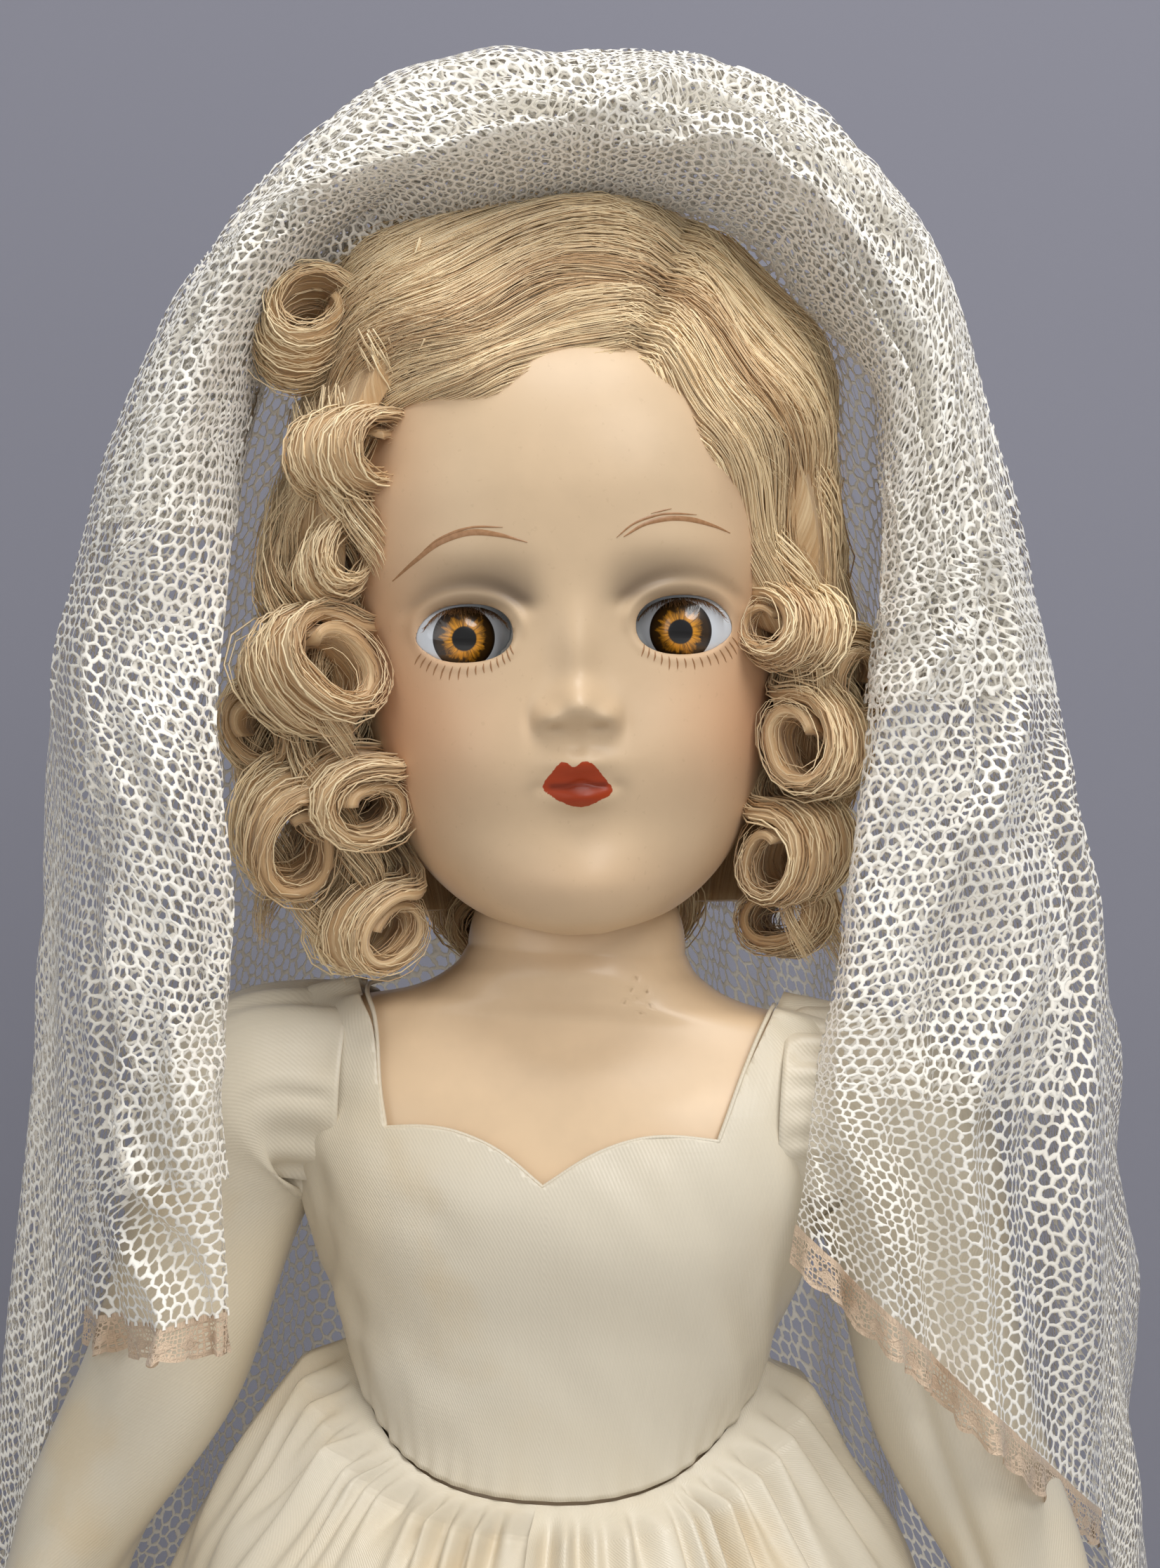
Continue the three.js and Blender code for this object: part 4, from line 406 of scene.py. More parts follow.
class Finish:
    """A material under construction: its nodes are named by what they make, and plain values go on the shader."""

    def __init__(self, name, **plain):
        self.material = bpy.data.materials.new(name)
        self.material.use_nodes = True
        self.tree = self.material.node_tree
        self.shader = self.tree.nodes["Principled BSDF"]
        for key, value in plain.items():
            socket = self.shader.inputs[key.replace("_", " ")]
            socket.default_value = (*value, 1) if hasattr(value, "__len__") and len(value) == 3 else value

    def plug(self, socket, value):
        if isinstance(value, bpy.types.NodeSocket):
            self.tree.links.new(value, socket)
        elif hasattr(socket.default_value, "__len__"):
            value = tuple(value) if hasattr(value, "__len__") else (value,) * len(socket.default_value)
            socket.default_value = value if len(value) == len(socket.default_value) else (*value, 1)
        else:
            socket.default_value = value

    def node(self, kind, inputs=(), out=0, **settings):
        made = self.tree.nodes.new("ShaderNode" + kind)
        for key, value in settings.items():
            setattr(made, key, value)
        for key, value in inputs.items() if isinstance(inputs, dict) else enumerate(inputs):
            if value is not None:
                self.plug(made.inputs[key], value)
        return made.outputs[out]

    def math(self, operation, *inputs):
        return self.node("Math", inputs, operation=operation)

    def vector(self, operation, *inputs, out=0):
        return self.node("VectorMath", inputs, out=out, operation=operation)

    def near(self, scale=(1, 1, 1)):
        place = self.node("TexCoord", out="Object")
        return self.vector("MULTIPLY", place, tuple(scale))

    def cloth(self, scale=(1, 1, 1)):
        return self.vector("MULTIPLY", self.node("UVMap", uv_map="cloth"), tuple(scale))

    def value(self, name, out="Fac"):
        return self.node("Attribute", out=out, attribute_name=name)

    def noise(self, place, scale, detail=2.0, roughness=0.5, out=0):
        inputs = {"Vector": place, "Scale": scale, "Detail": detail, "Roughness": roughness}
        return self.node("TexNoise", inputs, out=out)

    def ramp(self, value, low, high, a=0.0, b=1.0):
        """The value's range from low to high carried to a..b with an S-shaped ease."""
        return self.node("MapRange", [value, low, high, a, b], interpolation_type="SMOOTHSTEP")

    def blend(self, factor, a, b):
        made = self.tree.nodes.new("ShaderNodeMix")
        made.data_type = "RGBA"
        for key, value in ((0, factor), (6, a), (7, b)):
            self.plug(made.inputs[key], value)
        return made.outputs[2]

    def bump(self, height, distance, normal=None, strength=1.0):
        inputs = {"Height": height, "Distance": distance * MM, "Strength": strength}
        if normal is not None:
            inputs["Normal"] = normal
        return self.node("Bump", inputs)

    def done(self, **links):
        for key, value in links.items():
            self.plug(self.shader.inputs[key.replace("_", " ")], value)
        return self.material


FINISHES = {}


def finish(make):
    """The finish that a function makes, made once."""
    if make.__name__ not in FINISHES:
        FINISHES[make.__name__] = make()
    return FINISHES[make.__name__]


def dress(piece, make, body=None, nodes=()):
    """Gives a piece its finish and slot, the nodes it stands for, and the body it rides on."""
    piece.data.materials.clear()
    piece.data.materials.append(finish(make))
    if nodes:
        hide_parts(*nodes)
    if body:
        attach(piece, body)
    return piece


def dressed_node(name, make):
    """A solid of the frame that stays as it is takes a better finish."""
    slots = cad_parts[name].material_slots
    if not slots:
        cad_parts[name].data.materials.append(None)
    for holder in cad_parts[name].material_slots:
        holder.link = "OBJECT"
        holder.material = finish(make)


# The head and the body as formulas

HEAD_ROWS = [
    (0, 0.1, 0.62, -0.3), (0.012, 0.26, 0.76, 0.1), (0.03, 0.4, 0.82, 0.33), (0.065, 0.54, 0.86, 0.48),
    (0.11, 0.655, 0.87, 0.6), (0.17, 0.755, 0.865, 0.73), (0.235, 0.825, 0.885, 0.85), (0.32, 0.88, 0.91, 0.94),
    (0.45, 0.94, 0.93, 0.99), (0.57, 1, 0.98, 1), (0.68, 0.99, 1, 0.965), (0.79, 0.9, 0.93, 0.85),
    (0.88, 0.74, 0.77, 0.66), (0.95, 0.5, 0.5, 0.42), (0.985, 0.27, 0.26, 0.22), (1, 0.08, 0.07, 0.06),
]
FACE_BELLS = [
    (0, 0.338, 0.105, 0.032, 0.066), (0, 0.415, 0.085, 0.071, 0.03), (0.115, 0.322, 0.06, 0.02, 0.027),
    (0, 0.256, 0.125, 0.018, 0.022), (0, 0.203, 0.105, 0.017, 0.026), (0, 0.245, 0.275, 0.071, 0.03),
    (0, 0.076, 0.21, 0.058, 0.032), (0.475, 0.254, 0.275, 0.098, 0.036), (0.45, 0.475, 0.225, 0.05, -0.02),
    (0.43, 0.567, 0.25, 0.036, 0.01),
]
BODY_ROWS = [
    (248, 26, 13), (268, 40, 26), (290, 38, 28.5), (316, 30, 22.5), (338, 34.5, 23.5), (358, 42, 27),
    (378, 48.5, 23.5), (393, 47, 17), (397, 29, 18.5), (401, 21.5, 20), (405, 18.8, 18.8),
]
HEAD_Z, HEAD_HEIGHT, HALF_HEAD, FACE_DEPTH, NAPE_DEPTH, HEAD_POWER = 408.5, 112.0, 40.0, 41.0, 47.0, 2.35
EYE = np.array([18.5, -21.585, 459.46])
EYE_RADIUS = 10.5


def head_point(turn, share, out=0.0, featured=True, extra=None):
    """A point of the head: an oval with squared corners whose half width and depths are read at a height share.

    The features are bells that stand proud in front; a point stands out along the line from the head's middle."""
    turn, share = np.broadcast_arrays(np.asarray(turn, float), np.asarray(share, float))
    width, ahead, behind = np.moveaxis(reading(HEAD_ROWS, share), -1, 0)
    middle = (behind * NAPE_DEPTH - ahead * FACE_DEPTH) / 2
    half = (behind * NAPE_DEPTH + ahead * FACE_DEPTH) / 2
    x = width * HALF_HEAD * bulge(np.sin(turn), HEAD_POWER)
    proud = 0
    if featured:
        aside = np.abs(x) / HALF_HEAD
        for place, height, spread, rise, stand in FACE_BELLS:
            proud = proud + stand * 2 * HALF_HEAD * bell(aside, place, spread) * bell(share, height, rise)
        if extra is not None:
            proud = proud + extra(x, HEAD_Z + share * HEAD_HEIGHT)
        proud = proud * smooth(np.cos(turn), 0, 0.5)
    y = middle - half * bulge(np.cos(turn), HEAD_POWER) - proud
    point = stack(x, y, HEAD_Z + share * HEAD_HEIGHT)
    away = unit(point - np.array([0, 0, HEAD_Z + HEAD_HEIGHT / 2]))
    return point + away * np.asarray(out, float)[..., None]


def on_face(x, z, out=0.0, extra=None):
    """The point of the face straight behind a place given across and up, as seen from the front."""
    share = (np.asarray(z, float) - HEAD_Z) / HEAD_HEIGHT
    width = reading(HEAD_ROWS, share)[..., 0]
    sine = np.clip(np.abs(x) / (width * HALF_HEAD), 0, 1) ** (HEAD_POWER / 2)
    point = head_point(np.sign(x) * np.arcsin(sine), share, 0.0, True, extra)
    point[..., 1] -= out
    return point


def body_point(turn, z, out=0.0):
    """A point round the torso: an oval with squared corners, which stands off the skin and rises over the
    shoulders as it does."""
    turn, z = np.broadcast_arrays(np.asarray(turn, float), np.asarray(z, float))
    wide, deep = np.moveaxis(reading(BODY_ROWS, z), -1, 0)
    power = mix(2.3, 2.0, smooth(z, 378, 401))
    x = (wide + out) * bulge(np.sin(turn), power)
    y = 2 * smooth(z, 358, 401) - (deep + out) * bulge(np.cos(turn), power)
    return stack(x, y, z + out * smooth(z, 378, 393))


# The face

EYE_PLACES = ((-17.8, 458.95, 7.6, 5.0), (17.9, 459.25, 7.9, 5.1))


def lid_distance(x, z):
    """How far a place on the face is outside the nearer eye opening, and its height as a share of that opening.

    The opening is an oval with full corners, flatter below."""
    found = []
    for cx, cz, wide, high in EYE_PLACES:
        dx, dz = x - cx, z - cz
        tall = np.where(dz > 0, high, high * 0.93)
        q = ((np.abs(dx) / wide) ** 2.25 + (np.abs(dz) / tall) ** 2.25) ** (1 / 2.25)
        reach = np.hypot(dx, dz)
        found.append((reach * (1 - 1 / np.maximum(q, 1e-6)), dz / high))
    nearer = np.abs(found[0][0]) < np.abs(found[1][0])
    return np.where(nearer, found[0][0], found[1][0]), np.where(nearer, found[0][1], found[1][1])


def face_detail(x, z):
    """What stands proud of the face's bells: a rolled rim and a crease over each eye, a soft lower rim, nostrils,
    the wings of the nose, the cupid's bow and the parting of the lips."""
    away, up = lid_distance(x, z)
    above = smooth(up, -0.35, 0.45)
    ridge = sizes().lid_ridge / MM
    proud = ridge * bell(away, 1.5, 0.95) * above - 0.45 * bell(away, 3.5, 1.0) * smooth(up, 0.3, 1.1)
    proud = proud + 0.22 * bell(away, 0.9, 0.8) * (1 - above)
    proud = proud - (0.6 - np.sqrt(np.clip(0.36 - (0.6 - np.clip(away, 0, 0.6)) ** 2, 0, 1))) * (away < 0.6)
    side = np.abs(x + 0.25)
    proud = proud + 0.5 * bell(np.hypot((side - 5.6) / 2.1, (z - 443.9) / 2.2), 0, 1)
    proud = proud - 0.55 * bell(np.hypot((side - 7.9) / 1.1, (z - 444.2) / 2.6), 0, 1)
    proud = proud - 0.75 * bell(np.hypot((side - 3.7) / 1.5, (z - 442.9) / 0.75), 0, 1)
    proud = proud - 0.22 * bell(x + 0.4, 0, 1.3) * bell(z, 439.5, 2.4)
    parting = 433.9 + 0.35 * np.cos(np.clip(x / 3.2, -1, 1) * pi) - 0.3
    proud = proud - 0.42 * bell(z - parting, 0, 0.42) * smooth(5.6 - np.abs(x + 0.4), 0, 2)
    proud = proud - 0.3 * bell(np.hypot((np.abs(x + 0.4) - 6.2) / 1.2, (z - 433.4) / 1.0), 0, 1)
    return proud


LIPS = [
    (-6.25, 433.25), (-4.7, 435.85), (-3.19, 437.35), (-2.18, 437.25), (-1.17, 436.5), (-0.12, 437.15),
    (0.8, 437.42), (2.17, 436.77), (3.78, 434.76), (5.24, 432.4), (2.74, 430.77), (-0.27, 429.95), (-3.24, 430.85),
]


def inside_lips(x, z):
    """Distance to the lips' painted edge, above nought inside: the nearest of its short straight steps, with the
    side found by how the steps wind round the place."""
    a = along(np.vstack([LIPS[-2:], LIPS, LIPS[:3]]), 120)[12:-14]
    b = np.roll(a, -1, axis=0)
    far = np.full(x.shape, -9.0)
    near = (np.abs(x) < 12) & (np.abs(z - 433.5) < 9)
    p = np.stack([x[near], z[near]], -1)[:, None]
    way = b - a
    t = np.clip(((p - a) * way).sum(-1) / np.maximum((way**2).sum(-1), 1e-9), 0, 1)
    gap = np.linalg.norm(p - a - t[..., None] * way, axis=-1).min(1)
    u, v = a - p, b - p
    wind = np.arctan2(u[..., 0] * v[..., 1] - u[..., 1] * v[..., 0], (u * v).sum(-1)).sum(1)
    far[near] = np.where(np.abs(wind) > pi, gap, -gap)
    return far


def composition():
    """Painted and varnished composition: flesh paint with airbrushed cheeks and lids, hard-edged lips, a faint
    mottle and fine specks under a soft gloss."""
    c = colours()
    f = Finish("painted composition", Roughness=0.5, Coat_Weight=0.16, Coat_Roughness=0.26, Specular_IOR_Level=0.4)
    place = f.near()
    mottle = f.noise(place, 60, 4, 0.6)
    specks = f.noise(place, 900, 2, 0.5)
    # The face's paint is set darker than the same paint on the limbs: painted shade for the stronger light on the
    # face.
    skin = f.blend(f.ramp(mottle, 0.3, 0.7), tuple(0.79 * v for v in c.skin), tuple(0.85 * v for v in c.skin))
    # Blush and eye shadow, both of which also carry painted shade.
    skin = f.blend(f.math("MULTIPLY", f.value("blush"), 0.85), skin, tuple(c.blush))
    skin = f.blend(f.value("smoke"), skin, tuple(c.smoke))
    skin = f.blend(f.math("MULTIPLY", f.ramp(specks, 0.66, 0.74), 0.10), skin, (0.3, 0.18, 0.09))
    edge = f.math("ADD", f.value("lips"), f.ramp(f.noise(place, 1500, 2), 0.2, 0.8, -0.09, 0.09))
    # The lips darken along their parting and just under it: a painted mouth line with painted shade in the parting.
    red = f.blend(f.value("lip_deep"), tuple(c.lips), tuple(0.55 * v for v in c.lips))
    painted = f.blend(f.ramp(edge, -0.06, 0.07), skin, red)
    height = f.math("ADD", f.math("MULTIPLY", mottle, 0.5), f.math("MULTIPLY", f.noise(place, 260, 3), 0.16))
    return f.done(Base_Color=painted, Normal=f.bump(height, 0.35, strength=0.35))


def flesh():
    """The same paint on the limbs and body, without the face's shading."""
    c = colours()
    f = Finish("painted limbs", Roughness=0.42, Coat_Weight=0.28, Coat_Roughness=0.2, Specular_IOR_Level=0.4)
    place = f.near()
    mottle = f.noise(place, 60, 4, 0.6)
    skin = f.blend(f.ramp(mottle, 0.3, 0.7), tuple(0.95 * v for v in c.skin), tuple(min(1, 1.03 * v) for v in c.skin))
    chips = f.math("MULTIPLY", f.ramp(f.value("pits"), 0.4, 0.9), 0.7)
    skin = f.blend(chips, skin, (0.34, 0.2, 0.1))
    height = f.math("ADD", f.math("MULTIPLY", mottle, 0.5), f.math("MULTIPLY", f.noise(place, 260, 3), 0.16))
    height = f.math("SUBTRACT", height, f.value("pits"))
    return f.done(Base_Color=skin, Normal=f.bump(height, 0.35, strength=0.5))


def brow_paint():
    """Thin brown paint drawn with a fine brush."""
    f = Finish("brow paint", Roughness=0.45, Coat_Weight=0.2, Coat_Roughness=0.25)
    dab = f.noise(f.near(), 1400, 2)
    c = tuple(colours().brows)
    return f.done(Base_Color=f.blend(dab, c, tuple(min(1, 1.7 * v + 0.06) for v in c)))


def make_head():
    """The head: its grid is closest over the face; the eye openings, the eyes' rooms and the hollow are cut out,
    and the paint's places are then worked out at the points."""
    across = np.linspace(-0.97, 0.97, 226)
    front = np.arcsin(np.sign(across) * np.abs(across) ** (HEAD_POWER / 2))
    rest = np.linspace(front[-1], 2 * pi + front[0], 66)[1:-1]
    turn = np.r_[front, rest][None]
    share = np.r_[np.linspace(0, 0.12, 22)[:-1], np.linspace(0.12, 0.6, 156), np.linspace(0.6, 1, 40)[1:]][:, None]
    points = head_point(turn, share, 0.0, True, face_detail)
    away = points - BALL
    reach = np.linalg.norm(away, axis=-1, keepdims=True)
    points = np.where(reach < 19.12, BALL + away * 19.12 / np.maximum(reach, 1e-6), points)
    head = grid("head", points, closed=True, ends=("low", "high"))
    tools = []
    for cx, cz, wide, high in EYE_PLACES:
        a = np.linspace(0, 2 * pi, 160, endpoint=False)
        tall = np.where(np.sin(a) > 0, high, high * 0.93)
        rim = np.c_[cx + wide * bulge(np.cos(a), 2.25), cz + tall * bulge(np.sin(a), 2.25)]
        tools.append(prism_tool(rim, -70, EYE[1]))
    tools += [ball_tool(EYE * (side, 1, 1), EYE_RADIUS + 0.15, 96) for side in (-1, 1)]
    hollow = np.array([0.065, 0.1, 0.14, 0.2, 0.3, 0.45, 0.6, 0.74, 0.86, 0.95])[:, None]
    inner = head_point(np.linspace(0, 2 * pi, 72, endpoint=False)[None], hollow, -3.0, False)
    tools.append(grid("tool", inner, closed=True, ends=("low", "high")))
    carved(head, *tools)
    points = points_of(head)
    x, y, z = points.T
    facing = smooth(-y, 12, 20)
    lid, up = lid_distance(x, z)
    side = np.abs(x)
    inward = smooth(side, 28, 9)
    # Eye shadow with painted shade: strongest towards the nose and over the doll's right eye, the side away from the
    # light, and lighter on the lid's raised rim.
    over = smooth(up, 0.55, 1.15) * np.exp(-(np.clip(lid - 2.6, 0, 99) / mix(3.0, 5.4, inward)) ** 1.5)
    smoke = (np.where(x < 0, 0.5, 0.36) + 0.5 * inward) * over * smooth(side, 33, 23) * smooth(side, 2.5, 8)
    smoke = smoke * (1 - 0.5 * bell(lid, 1.5, 1.1))
    # Blush on the cheeks and chin, with painted shade rising towards the face's sides, heavier on the doll's right,
    # away from the light.
    blush = 0.5 * bell(np.hypot((side - 27) / 12.5, (z - 444) / 14), 0, 1)
    blush = np.clip(blush + np.where(x < 0, 0.46, 0.32) * smooth(side, 16, 37) + 0.12 * bell(z, 417, 6), 0, 1)
    lips = np.where(facing > 0.5, inside_lips(x, z), -9.0)
    # A painted mouth line and painted shade along the lips' parting and just under it.
    deep = bell(z - 433.4, 0, 0.55) * smooth(5.4 - np.abs(x + 0.4), 0, 1.2)
    deep = np.clip(deep + 0.6 * bell(np.hypot((x + 0.3) / 3.2, (z - 432.6) / 1.5), 0, 1), 0, 1)
    # Painted shade in the creases at the mouth's corners and in the nostrils, laid into the eye-shadow layer.
    corner_shade = 0.2 * bell(np.hypot((np.abs(x + 0.4) - 7.4) / 1.6, (z - 433.4) / 1.4), 0, 1)
    smoke = np.clip(smoke + corner_shade + 0.14 * bell(np.hypot((side - 3.7) / 1.5, (z - 442.6) / 0.9), 0, 1), 0, 1)
    for key, value in (("smoke", smoke * facing), ("blush", blush * facing), ("lips", lips), ("lip_deep", deep)):
        paint(head.data, key, value)
    move_points(head, seated(points))
    dress(head, composition, "head", ("head_face", "head_back"))
    brows = [stroke(line, width) for line, width in BROWS]
    for cx, cz, wide, high in EYE_PLACES:
        way = np.sign(cx)
        for i, a in enumerate(np.radians(np.linspace(-148, -22, 15))):
            foot = np.array([cx + way * 0.6 + (wide + 0.6) * cos(a), cz + (high * 0.93 + 0.65) * sin(a)])
            lean = np.array([0.55 * cos(a) + 0.18 * way, -1.0])
            reach = 1.9 + 0.5 * wander(i * 0.7, cx, 5)
            brows.append(stroke([foot, foot + lean * reach * 0.5 + (0.1 * way, 0), foot + lean * reach], 0.13))
    brows = merged("brows_and_lower_lashes", brows)
    dress(brows, brow_paint, "head")


BROWS = [
    ([(-29.7, 468.3), (-25.63, 471.5), (-21.75, 474.1), (-16.73, 475.45), (-12.24, 474.9), (-7.5, 473.5)], 0.5),
    ([(-24.4, 473.0), (-21.74, 474.76), (-16.71, 476.25), (-11.4, 476.1)], 0.22),
    ([(8.3, 473.9), (11.79, 475.85), (15.68, 476.7), (19.63, 476.5), (23.63, 475.4), (26.3, 474.3)], 0.42),
    ([(7.1, 473.8), (9.94, 475.95), (13.41, 477.2), (16.17, 477.52), (20.6, 477.3)], 0.22),
    ([(12.9, 477.6), (16.4, 478.35)], 0.12),
]


def stroke(line, half):
    """A brush stroke on the face: a line of places across and up, widest in its middle and pointed at its ends,
    laid just proud of the paint."""
    path = along(line, 40)
    ahead = unit(np.gradient(path, axis=0))
    aside = np.c_[-ahead[:, 1], ahead[:, 0]]
    t = np.linspace(0, 1, 40)
    wide = half * np.sin(pi * np.clip(t, 0.02, 0.98)) ** 0.6 * (1 + 0.12 * wander(t * 9, half * 50, 3))
    rows = np.array([-1, -0.5, 0.5, 1])[:, None, None] * aside * wide[:, None] + path
    crown = np.array([0.03, 0.1, 0.1, 0.03])[:, None] + 0 * wide
    points = seated(on_face(rows[..., 0], rows[..., 1], crown, face_detail))
    return grid("stroke", points)


# Eyes


def eye_paint():
    """A sleep eye: bluish white, an amber iris with brown streaks that run out from the pupil to a dark rim, flesh
    paint on the lid half, all under a clear glossy coat."""
    s, c = sizes(), colours()
    rim = s.iris_radius / MM
    f = Finish("sleep eye", Roughness=0.3, Coat_Weight=1.0, Coat_Roughness=0.03, Coat_IOR=1.5)
    around = f.value("around", "Vector")
    reach = f.value("reach")
    streaks = f.noise(f.vector("MULTIPLY", around, (9, 9, 0.35)), 1.0, 3, 0.65)
    coarse = f.noise(f.vector("MULTIPLY", around, (3.6, 3.6, 0.5)), 1.0, 3, 0.6)
    dark = tuple(0.05 * v + 0.002 for v in c.iris)
    amber = f.blend(f.ramp(streaks, 0.36, 0.66), tuple(0.34 * v for v in c.iris), tuple(c.iris))
    outwards = f.ramp(reach, 2.5, rim - 0.5)
    murk = f.math("ADD", outwards, f.math("MULTIPLY", f.math("SUBTRACT", coarse, 0.5), 3.4))
    iris = f.blend(f.ramp(murk, 0.0, 0.7), amber, dark)
    glow = f.math("MULTIPLY", f.ramp(reach, 3.3, 2.3), f.ramp(streaks, 0.3, 0.6))
    iris = f.blend(f.math("MULTIPLY", glow, 0.75), iris, tuple(min(1.0, 1.35 * v) for v in c.iris))
    iris = f.blend(f.ramp(reach, rim - 0.75, rim - 0.1), iris, (0.012, 0.005, 0.002))
    iris = f.blend(f.ramp(reach, s.pupil_radius / MM + 0.28, s.pupil_radius / MM), iris, (0.004, 0.003, 0.003))
    white = f.blend(f.noise(f.near(), 90, 3), (0.66, 0.7, 0.76), (0.74, 0.77, 0.8))
    ball = f.blend(f.ramp(reach, rim + 0.06, rim - 0.06), white, iris)
    lid = f.blend(f.ramp(f.value("lid"), -0.08, 0.08), ball, tuple(0.9 * v for v in c.skin))
    return f.done(Base_Color=lid)


def lash_hair():
    """Brown lash hair, lighter and darker from strand to strand."""
    f = Finish("lash hair", Roughness=0.45, Anisotropic=0.5)
    return f.done(Base_Color=f.blend(f.noise(f.near(), 700, 2), (0.13, 0.055, 0.018), (0.42, 0.22, 0.085)))


def make_eyes():
    """Each eye: a ball in rings about its line of sight, with a low clear swell over the iris. The upper lashes are
    tapering hairs rooted along the top of the opening, which droop and spread."""
    ring = np.r_[np.linspace(0, 36, 60)[1:], np.linspace(36, 178, 36)[1:]]
    polar = np.radians(ring)[:, None]
    turn = np.linspace(0, 2 * pi, 96, endpoint=False)[None]
    for name, side in (("right", -1), ("left", 1)):
        centre = EYE * (side, 1, 1)
        cx, cz, wide, high = EYE_PLACES[0 if side < 0 else 1]
        aim = unit(np.array([(-18.2 if side < 0 else 17.6) - centre[0], -10.2, 458.35 - centre[2]]))
        right = unit(np.cross(aim, [0, 0, 1.0])) * -1
        up = np.cross(aim, right) * -1
        up = up if up[2] > 0 else -up
        swell = EYE_RADIUS + 0.38 * smooth(np.sin(polar) * EYE_RADIUS, 5.6, 1.5) * (polar < 1)
        shape = (np.cos(polar)[..., None] * aim + np.sin(polar)[..., None]
                 * (np.cos(turn)[..., None] * right + np.sin(turn)[..., None] * up)) * swell[..., None]
        reach = np.where(polar < 1.57, np.sin(polar) * EYE_RADIUS, EYE_RADIUS) + 0 * turn
        around = stack(np.cos(turn) + 0 * polar, np.sin(turn) + 0 * polar, reach)
        direction = unit(shape)
        lid = direction[..., 2] - 0.56 - 0.1 * (1 - np.abs(direction[..., 0]))
        eye = grid(f"eye_{name}", seated(centre + shape), closed=True, ends=("low", "high"), flip=False,
                   around=around, reach=reach, lid=lid * 10.5)
        flip_if_inside_out(eye)
        dress(eye, eye_paint, "eyes", (f"eyeball_{name}", f"iris_{name}"))
        count = 220
        rng = np.random.default_rng(31 + side)
        t = np.linspace(-0.96, 0.96, count) + rng.normal(0, 0.008, count)
        x = cx + t * (wide - 0.7) - centre[0]
        z = cz - centre[2] + (high - 0.2) * np.sqrt(np.clip(1 - np.abs(t) ** 2.25, 0, 1)) ** 0.9 - 0.15
        y = -np.sqrt(np.clip((EYE_RADIUS + 0.1) ** 2 - x**2 - z**2, 1, None))
        foot = stack(x, y, z)
        s = np.linspace(0, 1, 9)[None, :, None]
        long = (rng.uniform(2.4, 4.0, count) * (1 - 0.2 * np.abs(t)))[:, None, None]
        fan = stack(0.34 * t * 1.0 + rng.normal(0, 0.07, count), -0.72, -0.62 + rng.normal(0, 0.08, count))[:, None]
        lift = stack(0 * t, -0.35, 0.5 + rng.normal(0, 0.12, count))[:, None]
        path = centre + foot[:, None] + (fan * s + lift * s**2 * 0.55) * long
        thin = 0.055 * (1 - 0.75 * np.linspace(0, 1, 9)) * np.ones((count, 1))
        lashes = strands(f"upper_lashes_{name}", seated(path), thin, 3, (1.0, 0.1, 0.2))
        dress(lashes, lash_hair, "eyes", (f"lashes_{name}",))


def flip_if_inside_out(piece):
    """Turns every face round when the volume they enclose comes out below nought."""
    mesh = piece.data
    mesh.calc_loop_triangles()
    corner = np.empty(len(mesh.loop_triangles) * 3, np.int32)
    mesh.loop_triangles.foreach_get("vertices", corner)
    a, b, c = np.moveaxis(points_of(piece)[corner.reshape(-1, 3)], 1, 0)
    if (a * np.cross(b, c)).sum() < 0:
        mesh.flip_normals()
    return piece


# The body and the limbs


def fresh_copy(name, node, voxel, rounds):
    """A rounded copy of a solid of the frame: its points are merged, its skin is laid afresh in even squares, and
    each point is then drawn towards its neighbours' middle a number of times."""
    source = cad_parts[node].data.copy()
    piece = bpy.data.objects.new(name, source)
    bpy.context.scene.collection.objects.link(piece)
    weld = piece.modifiers.new("weld", "WELD")
    weld.merge_threshold = 1e-5
    lay = piece.modifiers.new("lay", "REMESH")
    lay.mode, lay.voxel_size, lay.adaptivity = "VOXEL", voxel * MM, 0
    relax = piece.modifiers.new("relax", "SMOOTH")
    relax.factor, relax.iterations = 0.5, rounds
    return baked(piece)


LEG_Z, ARM_Z, ARM_PLANE = 258.0, 378.0, 47.0
NECK_CHIPS = [(11.2, 399.2), (12.4, 397.6), (13.9, 399.0), (12.0, 401.2), (14.4, 396.6), (10.4, 397.0), (13.2, 395.2)]


